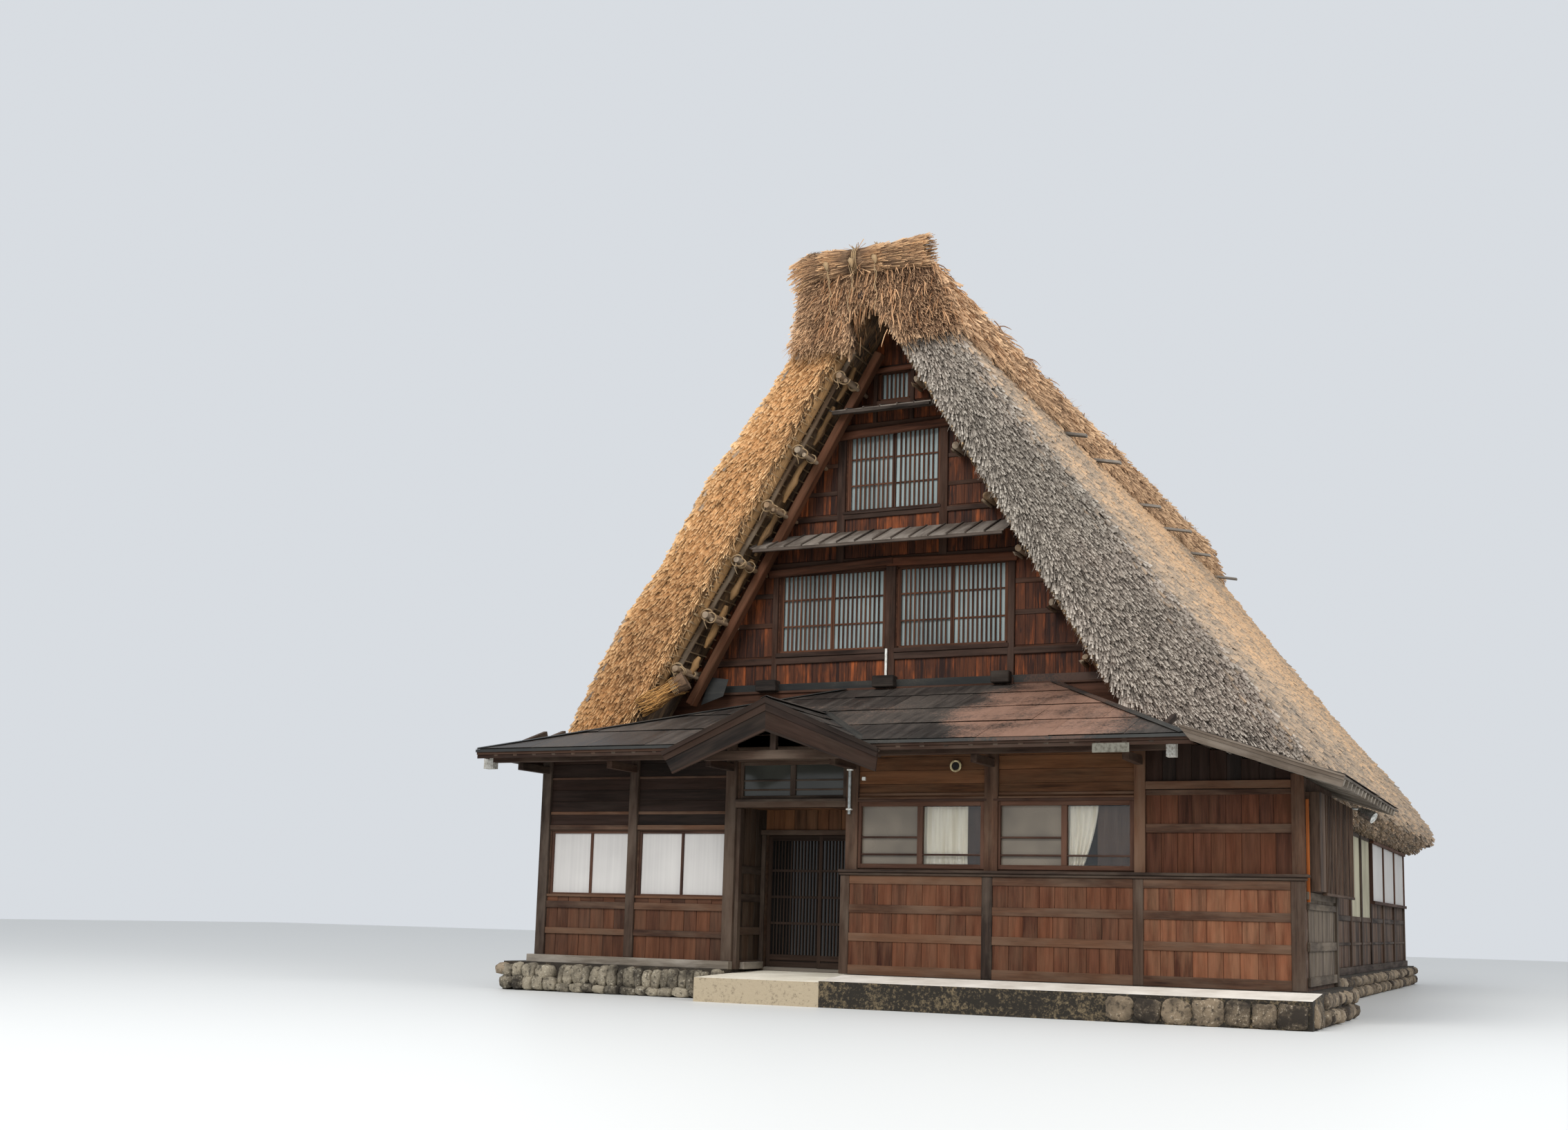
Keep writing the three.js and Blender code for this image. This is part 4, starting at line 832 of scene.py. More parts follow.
def curtain(name, x0, x1, y, z0, z1, folds, shift):
    """Cloth in shallow folds; shift is how far its foot is drawn aside"""
    columns, rows, depth = 60, 14, 0.012
    corners, faces = [], []
    for row in range(rows + 1):
        down = row / rows
        for column in range(columns + 1):
            t = column / columns
            x = x0 + (x1 - x0) * t * (1 - shift * down ** 1.5)
            corners.append((x, y + depth * math.sin(2 * math.pi * folds * t), z1 + (z0 - z1) * down))
    for row in range(rows):
        for column in range(columns):
            a = row * (columns + 1) + column
            faces.append((a, a + 1, a + columns + 2, a + columns + 1))
    mesh = bpy.data.meshes.new(name)
    mesh.from_pydata(corners, [], faces)
    mesh.materials.append(cotton)
    for polygon in mesh.polygons:
        polygon.use_smooth = True
    piece = settle(stood(name, mesh), "shoji")


left_spot, right_spot = curtain_spots
curtain("cream_curtain", left_spot[0] - 0.02, left_spot[0] + 0.56, *left_spot[2:], 7, 0.0)
curtain("drawn_curtain", right_spot[0] - 0.02, right_spot[0] + 0.36, *right_spot[2:], 6, 0.45)
carpentry("blind_boards", [
    bar(spot[0] + shift, spot[1] + 0.03, spot[2] + 0.02, spot[2] + 0.03, *spot[3:])
    for spot, shift in ((right_spot, 0.34), (left_spot, 0.5))
], wood("blind_board", "3d2c22", "5f4838", "4a3b30", 0.1), "wall_board", seed=34)

# Recessed entrance: upright boards with level battens on its side walls, a boarded head and
# ceiling, the lintel with its glazed transom, and a threshold with two rails.
PORCH_LEFT_FACE, PORCH_RIGHT_FACE, DOOR_FACE_Y = 2.97, 4.62, 0.75
DOORWAY_LEFT, DOORWAY_HEAD = 3.055, SILL + 1.702
CEILING = SILL + 2.04
porch_board = wood("porch_board", "21170f", "4c3727", "5b5045", 0.3, 0.9)
porch_boards = []
for face, out in ((PORCH_LEFT_FACE, 1), (PORCH_RIGHT_FACE, -1)):
    porch_boards += upright_boards(rng, 0.14, DOOR_FACE_Y, face, SILL - 0.03, CEILING, 0.15, out, "x")
porch_boards += upright_boards(rng, PORCH_LEFT_FACE, DOORWAY_LEFT, DOOR_FACE_Y, SILL - 0.03, CEILING,
                               0.09)
carpentry("porch_side_boards", porch_boards, porch_board, "wall_board", seed=36)
carpentry("porch_head_boards",
          upright_boards(rng, 2.985, 4.605, DOOR_FACE_Y, DOORWAY_HEAD + 0.06, CEILING, 0.16)
          + [bar(2.98 + i * 0.164, 3.14 + i * 0.164, 0.15, 0.74, CEILING - 0.012, CEILING)
             for i in range(10)],
          warm_board, "wall_board", seed=37)
BATTEN_LEVELS = [(-0.02, 0.08), (0.40, 0.50), (0.82, 0.92), (1.18, 1.28)]
carpentry("porch_battens", [
    raised(*faces, 0.15, 0.745, z0, z1)
    for faces in ((PORCH_LEFT_FACE + 0.012, PORCH_LEFT_FACE + 0.03),
                  (PORCH_RIGHT_FACE - 0.03, PORCH_RIGHT_FACE - 0.012))
    for z0, z1 in BATTEN_LEVELS
] + [
    bar(3.0, 3.055, 0.715, 0.75, SILL - 0.03, DOORWAY_HEAD),
    bar(4.60, 4.62, 0.70, 0.75, SILL - 0.03, DOORWAY_HEAD),
    bar(2.985, 4.615, 0.71, 0.75, DOORWAY_HEAD, DOORWAY_HEAD + 0.065),
    raised(PORCH_LEFT_FACE - 0.005, PORCH_LEFT_FACE + 0.05, 0.05, 0.14, -0.03, 2.01),
], dark_post, "dark_post", seed=38)
TRANSOM_X0, TRANSOM_X1, TRANSOM_Z0, TRANSOM_Z1 = 3.00, 4.495, SILL + 2.12, SILL + 2.60
carpentry("transom_beams", [
    raised(2.97, 4.52, -0.01, 0.06, 2.01, 2.11), bar(2.97, 4.52, 0.0, 0.06, HEAD_LOW, HEAD_TOP),
    raised(2.97, 4.52, -0.02, 0.05, 2.085, 2.118), bar(2.97, 4.52, 0.02, 0.06, TRANSOM_Z1, HEAD_LOW),
    *window_bars(TRANSOM_X0, TRANSOM_X1, 0.055, 0.10, TRANSOM_Z0, TRANSOM_Z1, 0.045, 0.075, (
        (SILL + 2.24, TRANSOM_X0, TRANSOM_X1), (SILL + 2.36, TRANSOM_X0, TRANSOM_X1))),
], dark_post, "dark_post", seed=39)
# The transom's panes are dark grey: painted shade of the unlit room behind them
transom_shade_glass = glass_finish("transom_shade_glass", "464640", 0.14)
flat_plates("transom_panes", [pane(TRANSOM_X0 + 0.02, TRANSOM_X1 - 0.02, 0.082, TRANSOM_Z0 + 0.02,
                                   TRANSOM_Z1 - 0.02)], transom_shade_glass, "frosted_pane", "transom_window")
repaint("door_threshold", grey_timber)

# Sliding doors: two leaves of many thin upright bars over near-black glass, painted shade of the dim
# room behind, with three rails, a solid foot panel and a small sunk pull. The left leaf runs behind
# the right one.
door_timber = wood("door_timber", "130b06", "332217", "3d2f23", 0.2, 0.5)
LEAF_EDGE, LEAF_BARS, LEAF_RAILS = 0.052, 14, (0.56, 0.90, 1.24)
for leaf, pull_side in (("left", -1), ("right", 1)):
    low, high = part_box("door_leaf_" + leaf)
    foot, head = low.z + 0.16, high.z - 0.065
    face, back = low.y, high.y
    inner = (low.x + LEAF_EDGE, high.x - LEAF_EDGE)
    bars = [bar(low.x, inner[0], face, back, low.z, high.z),
            bar(inner[1], high.x, face, back, low.z, high.z),
            bar(*inner, face, back, head, high.z),
            bar(*inner, face + 0.001, back, foot - 0.07, foot),
            bar(*inner, face + 0.001, back, low.z, low.z + 0.07),
            bar(*inner, face + 0.012, back - 0.012, low.z + 0.07, foot - 0.07)]
    bars += [bar(*inner, face + 0.006, back - 0.014, SILL + level - 0.016, SILL + level + 0.016)
             for level in LEAF_RAILS]
    pitch = (high.x - low.x - 2 * LEAF_EDGE) / (LEAF_BARS + 1)
    middles = [inner[0] + pitch * (i + 1) for i in range(LEAF_BARS)]
    bars += [bar(x - 0.008, x + 0.008, face + 0.003, face + 0.014, foot, head) for x in middles]
    carpentry(f"door_{leaf}_timber", bars, door_timber, "dark_post", f"door_leaf_{leaf}", seed=40,
              chamfer=0.002, body=leaf + "_door")
    flat_plates(f"door_{leaf}_glass",
                [pane(low.x + 0.03, high.x - 0.03, back - 0.012, foot - 0.01, head + 0.01)],
                shade_painted_glass, "frosted_pane", body=leaf + "_door")
    pull_x = low.x + 0.026 if pull_side > 0 else high.x - 0.026
    pull = raised(pull_x - 0.009, pull_x + 0.009, face + 0.0005, face + 0.008, 0.80, 0.89)
    carpentry(f"door_{leaf}_pull", [pull], grey_timber, "dark_post", seed=41, chamfer=0.002,
              body=leaf + "_door")

# Gable: cedar boards of many tones between rails, under the straw's edge, storey by storey.
# Posts stand between the windows, and the beams over them are hewn from bent logs.
GABLE_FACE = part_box("front_gable_wall")[0].y
BACK_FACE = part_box("back_gable_wall")[1].y
STRAW_SLOPE = 1.659
MIDDLE_X = 4.2


def straw_line(z):
    """Where the left slope's inner face stands at a height"""
    return 0.74 + (z - SILL - 3.46) / STRAW_SLOPE


def clipped(outline, a, b, c):
    """The part of a flat outline where a*u + b*v is no more than c"""
    kept_points = []
    for (u0, v0), (u1, v1) in zip(outline, outline[1:] + outline[:1]):
        d0, d1 = a * u0 + b * v0 - c, a * u1 + b * v1 - c
        if d0 <= 0:
            kept_points.append((u0, v0))
        if (d0 < 0 < d1) or (d1 < 0 < d0):
            t = d0 / (d0 - d1)
            kept_points.append((u0 + t * (u1 - u0), v0 + t * (v1 - v0)))
    return kept_points


def under_straw(outline, inset=0.02):
    """What of an outline on the gable is clear of the straw on both sides"""
    line = 0.74 - (SILL + 3.46) / STRAW_SLOPE + inset
    left = clipped(outline, -1, 1 / STRAW_SLOPE, -line)
    return clipped(left, 1, 1 / STRAW_SLOPE, 2 * MIDDLE_X - line)


def streaky_cedar(name):
    """Old cedar of the gable: brown boards, orange where the grain is fresh, dark at knots and edges"""
    material, tree, shader, _ = new_material(name)
    grain = attribute(tree, "grain").outputs["Vector"]
    tone = attribute(tree, "tone").outputs["Fac"]
    rings = cloud(tree, grain, (1.0, 24.0, 24.0), 4.0, 0.6)
    fibre = cloud(tree, grain, (6.0, 150.0, 150.0), 3.0, 0.6)
    patch = cloud(tree, grain, (1.6, 6.0, 6.0), 3.0, 0.6)
    knotty = vector(tree, "MULTIPLY", grain, (3.2, 9.0, 9.0))
    knot = put(tree, "ShaderNodeTexVoronoi", knotty, None, 1.0).outputs[0]
    figure = weighed(tree, (rings, 0.6), (fibre, 0.4), (number(tree, "SUBTRACT", tone, 0.5), 0.16))
    colour = shades(tree, figure, 0.38, 0.62, "241008", "5a3019")
    orange = number(tree, "MULTIPLY", spread(tree, patch, 0.49, 0.70), spread(tree, figure, 0.40, 0.62))
    colour = mixed(tree, orange, colour, paint("9f5226"))
    colour = mixed(tree, spread(tree, knot, 0.05, 0.16, 0.75, 0.0), colour, paint("20110b"))
    tree.links.new(colour, shader["Base Color"])
    shader["Roughness"].default_value = 0.75
    shader["Specular IOR Level"].default_value = DULL_SHINE
    bumped(tree, shader, figure, 0.5, 0.004)
    return material


def gable_boards(name, zones, face, out, material, seed):
    rng = np.random.default_rng(seed)
    plates = []
    for x0, x1, z0, z1, width in zones:
        count = max(1, round((x1 - x0) / width))
        for i in range(count):
            a, b = x0 + (x1 - x0) * i / count + 0.002, x0 + (x1 - x0) * (i + 1) / count - 0.002
            outline = under_straw([(a, SILL + z0), (b, SILL + z0), (b, SILL + z1), (a, SILL + z1)])
            if len(outline) > 2:
                proud = 0.009 + rng.uniform(0, 0.006)
                plates.append(([(x, face, z) for x, z in outline], (0, out * proud, 0), (0, 0, 1)))
    return flat_plates(name, plates, material, "gable_board", seed=seed)


gable_cedar = streaky_cedar("gable_cedar")
LOW_Z, WIDE, NARROW = 3.78, 0.145, 0.115
SECOND = [(0.7, 2.385), (2.463, 4.132), (4.278, 5.914), (6.012, 7.7)]
THIRD = [(1.6, 3.36), (3.48, 4.907), (5.026, 6.8)]
ATTIC = [(2.8, 3.88), (3.94, 4.44), (4.5, 5.6)]
front_zones = [(x0, x1, LOW_Z, 4.20, WIDE) for x0, x1 in SECOND]
front_zones += [(x0, x1, z0, z1, WIDE) for x0, x1 in (SECOND[0], SECOND[3])
                for z0, z1 in ((4.32, 4.74), (4.79, 5.17), (5.22, 5.53))]
front_zones += [(x0, x1, 5.67, 6.24, NARROW) for x0, x1 in THIRD]
front_zones += [(x0, x1, z0, z1, NARROW) for x0, x1 in (THIRD[0], THIRD[2])
                for z0, z1 in ((6.33, 6.61), (6.65, 7.01), (7.05, 7.51))]
front_zones += [(x0, x1, 7.61, 7.85, NARROW) for x0, x1 in ATTIC]
front_zones += [(x0, x1, 7.9, 8.37, NARROW) for x0, x1 in (ATTIC[0], ATTIC[2])]
front_zones += [(3.2, 5.2, 8.43, 9.15, NARROW)]
gable_boards("gable_boards_front", front_zones, GABLE_FACE, -1, gable_cedar, 42)
gable_boards("gable_boards_back", [(0.2, 8.2, 3.4, 9.1, 0.19)], BACK_FACE, 1, shaded_board, 43)
GABLE_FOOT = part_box("front_gable_wall")[0].z
# Boards close the dark corners under the straw at the gable's foot; their near-black finish is painted
# shade
carpentry("gable_foot_boards", [
    board for x0, x1 in ((0.90, 2.70), (2 * MIDDLE_X - 2.70, 2 * MIDDLE_X - 0.90))
    for board in upright_boards(np.random.default_rng(89), x0, x1, GABLE_FACE, SILL + 3.20,
                                GABLE_FOOT + 0.02, 0.17)
], shaded_board, "wall_board", seed=43)
solid_cedar = wood("gable_solid", "25150d", "5f3a26", "4a3a30", 0.2, 0.6, own_grain=False)
repaint("front_gable_wall", solid_cedar)
repaint("back_gable_wall", solid_board)


def frame_beam(z0, z1, inset, proud):
    left = straw_line(SILL + z1) + inset
    return raised(left, 2 * MIDDLE_X - left, GABLE_FACE - proud, GABLE_FACE, z0, z1)


def gable_post(x0, x1, z0, z1, proud=0.048):
    return raised(x0, x1, GABLE_FACE - proud, GABLE_FACE, z0, z1)


gable_timber = wood("gable_timber", "1c110b", "4a2f20", "54443a", 0.25, 0.6)
carpentry("gable_posts_front", [
    *[gable_post(x0, x1, LOW_Z, 5.6) for x0, x1 in ((2.385, 2.463), (4.132, 4.278), (5.914, 6.012))],
    *[gable_post(x0, x1, 5.6, 7.6) for x0, x1 in ((3.36, 3.48), (4.907, 5.026))],
    *[gable_post(x0, x1, 7.6, 8.43, 0.045) for x0, x1 in ((3.88, 3.94), (4.44, 4.50))],
    frame_beam(LOW_Z, 3.86, 0.1, 0.03), frame_beam(4.19, 4.285, 0.05, 0.044),
    frame_beam(5.54, 5.66, 0.05, 0.042),
    frame_beam(6.23, 6.30, 0.05, 0.044), frame_beam(7.51, 7.61, 0.05, 0.042),
    gable_post(3.88, 4.5, 7.84, 7.92, 0.044), gable_post(3.88, 4.5, 8.355, 8.43, 0.044),
], gable_timber, "dark_post", "gable_frame_front", seed=44, chamfer=0.007, warp=0.022)
carpentry("gable_rails_front", [
    *[gable_post(*span, z0, z1, 0.026) for left_post, right_post, levels in (
        (2.385, 6.012, ((4.73, 4.80), (5.16, 5.23))), (3.36, 5.026, ((6.60, 6.66), (7.0, 7.06))))
      for z0, z1 in levels
      for span in ((straw_line(SILL + z1) + 0.05, left_post),
                   (right_post, 2 * MIDDLE_X - straw_line(SILL + z1) - 0.05))],
    *[gable_post(*span, 0.06) for span in (
        (2.45, 4.14, 4.29, 4.352), (4.27, 5.93, 4.29, 4.352), (3.45, 4.93, 6.30, 6.338))],
], gable_timber, "dark_post", seed=45, warp=0.012)
bent_log = wood("bent_log", "2a160d", "6a3d26", "5d4738", 0.2, 0.5)
carpentry("gable_head_logs", [
    beam((x0, GABLE_FACE - 0.075, SILL + z0), (x1, GABLE_FACE - 0.075, SILL + z1), 0.06, deep)
    for x0, z0, x1, z1, deep in ((2.32, 5.50, 4.26, 5.58, 0.11), (4.14, 5.57, 6.06, 5.52, 0.12),
                                 (3.30, 7.44, 5.08, 7.50, 0.12), (3.84, 8.345, 4.54, 8.36, 0.07))
], bent_log, "dark_post", seed=57, chamfer=0.016, warp=0.05)
back_timbers = []
for x0, x1, z0, z1 in ((2.385, 2.463, 3.4, 5.6), (5.914, 6.012, 3.4, 5.6), (3.36, 3.48, 5.6, 7.6),
                       (4.907, 5.026, 5.6, 7.6), (3.88, 3.94, 7.6, 8.43), (4.44, 4.50, 7.6, 8.43)):
    back_timbers.append(raised(x0, x1, BACK_FACE, BACK_FACE + 0.048, z0, z1))
for z0, z1 in ((3.4, 3.46), (4.19, 4.33), (5.52, 5.68), (6.23, 6.33), (7.5, 7.62), (8.355, 8.44)):
    left = straw_line(SILL + z1) + 0.06
    back_timbers.append(raised(left, 2 * MIDDLE_X - left, BACK_FACE, BACK_FACE + 0.045, z0, z1))
carpentry("gable_timbers_back", back_timbers, dark_post, "dark_post", "gable_frame_back", seed=46,
          warp=0.02)

# Lattice windows of the upper storeys: thin upright bars with two level rails before pale paper,
# in sashes that stand one a little behind the other.
LATTICE_EDGE, LATTICE_STILE, LATTICE_PITCH = 0.03, 0.026, 0.076
sky_paper = paper_finish("sky_paper", "97a3a1", "7b8785")
lattice_brown = wood("lattice_brown", "2d180e", "5d3823", "564235", 0.15, 0.7)


def lattice_window(x0, x1, z0, z1, face, out, bars_in_sash, sashes=2):
    """Its frame, bars and rails. face is the window's outer face, out its way out"""
    def slab(a, b, deep0, deep1, c, d):
        y0, y1 = sorted((face - out * deep0, face - out * deep1))
        return bar(a, b, y0, y1, c, d)
    left, right = x0 + LATTICE_EDGE, x1 - LATTICE_EDGE
    foot, head = z0 + LATTICE_EDGE, z1 - LATTICE_EDGE
    pieces = [slab(a, b, 0, 0.05, c, d) for a, b, c, d in (
        (x0, left, z0, z1), (right, x1, z0, z1), (x0, x1, z0, foot), (x0, x1, head, z1))]
    for sash in range(sashes):
        a, b = [left + (x1 - x0 - 2 * LATTICE_EDGE) * i / sashes for i in (sash, sash + 1)]
        deep = 0.004 + 0.014 * (sash % 2)
        pieces += [slab(c, d, deep, deep + 0.022, foot, head)
                   for c, d in ((a, a + LATTICE_STILE), (b - LATTICE_STILE, b))]
        pitch = (b - a - 2 * LATTICE_STILE) / (bars_in_sash + 1)
        middles = [a + LATTICE_STILE + pitch * (i + 1) for i in range(bars_in_sash)]
        pieces += [slab(x - 0.012, x + 0.012, deep + 0.002, deep + 0.016, foot, head) for x in middles]
        if z1 - z0 > 0.6:
            pieces += [slab(a + 0.02, b - 0.02, deep + 0.004, deep + 0.018, level - 0.011, level + 0.011)
                       for level in (z0 + (z1 - z0) / 3, z0 + (z1 - z0) * 2 / 3)]
    return pieces


for side, face, out in (("front", GABLE_FACE + 0.012, -1), ("back", BACK_FACE - 0.012, 1)):
    bars, papers, nodes = [], [], [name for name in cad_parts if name.startswith(side + "_lattice")]
    for node in nodes:
        low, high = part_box(node)
        wide = high.x - low.x
        sashes = 1 if wide < 0.6 else (4 if wide > 2.5 else 2)
        bars += lattice_window(low.x, high.x, low.z, high.z, face, out,
                               round(wide / sashes / LATTICE_PITCH) - 1, sashes)
        papers.append(pane(low.x + 0.01, high.x - 0.01, face - out * 0.045, low.z + 0.01, high.z - 0.01))
    carpentry(side + "_lattice_bars", bars, lattice_brown, "dark_post", seed=47, chamfer=0.002)
    flat_plates(side + "_lattice_paper", papers, sky_paper, "lattice", *nodes)

# Round work: ropes, poles, logs and battens are tubes drawn along lines, each with its own
# thickness point by point and its own grain.
def round_tree():
    tree, given, result = new_tree(
        "round_work", "GeometryNodeTree",
        [("Geometry", "Geometry"), ("Sides", "Int"), ("Knobbly", "Float"), ("Finish", "Material")],
        [("Geometry", "Geometry")])
    curve = put(tree, "GeometryNodeMeshToCurve", given["Geometry"]).outputs[0]
    ring = put(tree, "GeometryNodeCurvePrimitiveCircle", given["Sides"]).outputs[0]
    ring.node.inputs["Radius"].default_value = 1.0
    ring = kept(tree, ring, "around", put(tree, "GeometryNodeInputPosition").outputs[0])
    thick = named(tree, "thick", "FLOAT")
    tube = put(tree, "GeometryNodeCurveToMesh", curve, ring)
    tree.links.new(thick, tube.inputs["Scale"])
    tube.inputs["Fill Caps"].default_value = True
    around = put(tree, "ShaderNodeSeparateXYZ", scaled(tree, named(tree, "around"), thick))
    tone = named(tree, "tone", "FLOAT")
    grain = put(tree, "ShaderNodeCombineXYZ", named(tree, "run", "FLOAT"), around.outputs[0],
                around.outputs[1]).outputs[0]
    grain = vector(tree, "ADD", grain, scaled(tree, APART, tone))
    lumps = number(tree, "SUBTRACT", cloud(tree, grain, (6.0, 12.0, 12.0)), 0.5)
    normal = put(tree, "GeometryNodeInputNormal").outputs[0]
    push = scaled(tree, normal, number(tree, "MULTIPLY", lumps, given["Knobbly"]))
    shaped = moved(tree, kept(tree, tube.outputs[0], "grain", grain), push)
    return handed_on(tree, given, result, smoothed(tree, shaped))


round_work = round_tree()


def rounds(name, lines, material, slot, *nodes, sides=8, knobbly=0.0, seed=1, body="house"):
    """Tubes along lines: each line is its points and its radius, or a radius for each point"""
    rng = np.random.default_rng(seed)
    points, edges, thick, run, tone = [], [], [], [], []
    for path, radius in lines:
        first = len(points)
        radii = radius if isinstance(radius, (list, tuple)) else [radius] * len(path)
        own, reach = rng.random(), 0.0
        for i, point in enumerate(path):
            if i:
                reach += (Vector(point) - Vector(path[i - 1])).length
                edges.append((first + i - 1, first + i))
            points.append(tuple(point))
            thick.append(radii[i])
            run.append(reach)
            tone.append(own)
    mesh = bpy.data.meshes.new(name)
    mesh.from_pydata(points, edges, [])
    keep_values(mesh, thick=thick, run=run, tone=tone)
    piece = grown(name, round_work, mesh, {"Sides": sides, "Knobbly": knobbly, "Finish": material})
    return settle(piece, slot, *nodes, body=body)


def wound(centre, axis, radius, turns, pitch, steps=14, squash=1.0):
    """A rope's turns round a log: a helix about an axis through centre"""
    centre, axis = Vector(centre), Vector(axis).normalized()
    side = axis.cross(Vector((0, 0, 1)))
    side = side.normalized() if side.length > 0.1 else Vector((1, 0, 0))
    up_side = axis.cross(side)
    path = []
    for i in range(int(turns * steps) + 1):
        angle = 2 * math.pi * i / steps
        path.append(centre + side * radius * math.cos(angle) + up_side * radius * squash * math.sin(angle)
                    + axis * pitch * (i / steps - turns / 2))
    return path


# Roof frame under the verge: squared rafters, log purlins that run out through the gable, and poles
# tied to them with straw rope, which carry the straw's edge. Thin battens cross under the straw.
TURN_BACK = GABLE_FACE + BACK_FACE
RAFTER_SLOPE, RAFTER_SPAN = 1.722, 0.19
HIDDEN_SHIFT = 0.29
PURLIN_LEVELS = [4.15, 4.90, 5.65, 6.40, 7.15, 8.15]
POLE_Y = 1.33
TIE_STEP, BATTEN_STEP = 0.115, 0.125
straw_run = math.hypot(1, STRAW_SLOPE)


def rafter_line(z):
    return 1.41 + (z - SILL - 4.07) / RAFTER_SLOPE


def inside_straw(z, depth):
    """A place that far in from the left slope's inner face"""
    return straw_line(z) + depth * STRAW_SLOPE / straw_run, z - depth / straw_run


def verge_timbers(side, foot):
    """Sticks and tubes of one end's roof frame: rafters, poles, purlins, battens, ropes, straw lips"""
    rng = np.random.default_rng(37 if side == "front" else 38)
    rafters, logs, ropes, lips, wraps = [], [], [], [], []
    def end_y(y):
        return y if side == "front" else TURN_BACK - y
    for mirror in (False, True):
        hidden = mirror == (side == "front")
        pole_y, pole_in = (1.5, 0.045) if hidden else (1.48, 0.055)
        log_start = 1.70 if hidden else 1.18
        def across(x):
            return 2 * MIDDLE_X - x if mirror else x
        middle = RAFTER_SPAN / 2 - (HIDDEN_SHIFT if hidden else 0)
        low, high = SILL + foot, SILL + 8.52
        ends = [(across(rafter_line(z) + middle), end_y(1.79), z) for z in (low, high)]
        rafters.append(beam(*ends, 0.15, 0.72 * RAFTER_SPAN * RAFTER_SLOPE / math.hypot(1, RAFTER_SLOPE)))
        steps = [low + 0.1 + (SILL + 8.5 - low - 0.1) * i / 14 for i in range(15)]
        path = [(across(inside_straw(z, pole_in)[0] + rng.uniform(-0.012, 0.012)),
                 end_y(pole_y + rng.uniform(-0.014, 0.014)), inside_straw(z, pole_in)[1]) for z in steps]
        logs.append((path, [0.048 - 0.012 * i / 14 for i in range(15)]))
        for level in PURLIN_LEVELS:
            if level < foot:
                continue
            x, z = inside_straw(SILL + level, 0.19)
            ends = [(across(x) + rng.uniform(-0.01, 0.01), end_y(y), z + rng.uniform(-0.006, 0.006))
                    for y in (log_start, 1.5 + log_start / 8, 1.87, 2.045)]
            thick = 0.052 + rng.uniform(-0.007, 0.007)
            logs.append((ends, [thick * 0.9, thick, thick, thick]))
            twin = [(px + rng.uniform(0.05, 0.06) * (-1 if mirror else 1), py + (0.09 if i == 0 else 0),
                     pz - 0.055)
                    for i, (px, py, pz) in enumerate(ends)]
            logs.append((twin, 0.030 + rng.uniform(-0.006, 0.004)))
            if hidden:
                continue
            near = Vector((across(x), end_y(POLE_Y), z))
            toward = Vector((across(inside_straw(SILL + level, 0.062)[0]), end_y(POLE_Y), z + 0.05))
            between_two = Vector((across(x) + (-0.025 if mirror else 0.025), 0, z - 0.027))
            for y in (1.30 + rng.uniform(0, 0.07), 1.55 + rng.uniform(0, 0.14), 1.86):
                tilt = (rng.uniform(-0.45, 0.45), 1, rng.uniform(-0.45, 0.45))
                ropes.append((wound(between_two + Vector((0, end_y(y), 0)), tilt,
                                    0.070 + rng.uniform(-0.008, 0.012),
                                    rng.uniform(0.7, 2.6), 0.030, 14, rng.uniform(0.8, 1.0)), 0.0095))
            middle_point = (near + toward) / 2
            ropes.append((wound(middle_point, (0, 1, 0), 0.085, 2.2, 0.02), 0.009))
            ropes.append((wound(middle_point, (0.35 if mirror else -0.35, 0.6, 0.7), 0.088, 1.3, 0.02),
                          0.008))
            if side == "front":
                tail = [middle_point + Vector((0.02, -0.11, 0.02))]
                for _ in range(5):
                    tail.append(tail[-1] + Vector((rng.uniform(-0.03, 0.03), rng.uniform(-0.015, 0.01),
                                                   -0.05)))
                ropes.append((tail, [0.007, 0.006, 0.006, 0.005, 0.004, 0.003]))
        roll_at = SILL + foot + 0.1
        while roll_at < SILL + 8.75:
            # a pale tie round the thick straw lip, every hand's breadth up the slope
            bend = []
            for step in range(8):
                turn = math.pi * step / 7
                x, z = inside_straw(roll_at, 0.012 + 0.062 * math.sin(turn))
                bend.append((across(x), end_y(1.34 - 0.15 * math.cos(turn)),
                             z + rng.uniform(-0.006, 0.006)))
            ropes.append((bend, [0.006] * 8))
            roll_at += TIE_STEP + rng.uniform(-0.02, 0.02)
        lip = [(across(inside_straw(z, 0.02)[0]), end_y(1.34), inside_straw(z, 0.02)[1]) for z in steps]
        lips.append((lip, [0.058 + rng.uniform(-0.006, 0.006) for _ in steps]))
        at = SILL + foot + 0.25
        while at < SILL + 8.7:
            x, z = inside_straw(at, 0.022 + rng.uniform(0, 0.01))
            y0, y1 = 1.17 + rng.uniform(0, 0.05), 2.09
            ropes.append(([(across(x), end_y(y0), z),
                           (across(x), end_y(y1), z + rng.uniform(-0.01, 0.01))],
                          0.011 + rng.uniform(0, 0.004)))
            at += BATTEN_STEP + rng.uniform(-0.02, 0.03)
        if not hidden and side == "front":
            at = low + 0.3
            while at < SILL + 8.0:
                # lengths of straw wrapped round the pole that lies along the rafter
                until = at + rng.uniform(0.35, 0.75)
                wrap = [(across(rafter_line(z) - 0.075 + rng.uniform(-0.015, 0.015)),
                         1.62 + rng.uniform(-0.02, 0.02), z)
                        for z in np.linspace(at, until, 7)]
                wraps.append((wrap, [0.02, *[0.042 + rng.uniform(-0.014, 0.02) for _ in range(5)], 0.03]))
                at = until + rng.uniform(0.0, 0.25)
    return rafters, logs, ropes, lips + wraps


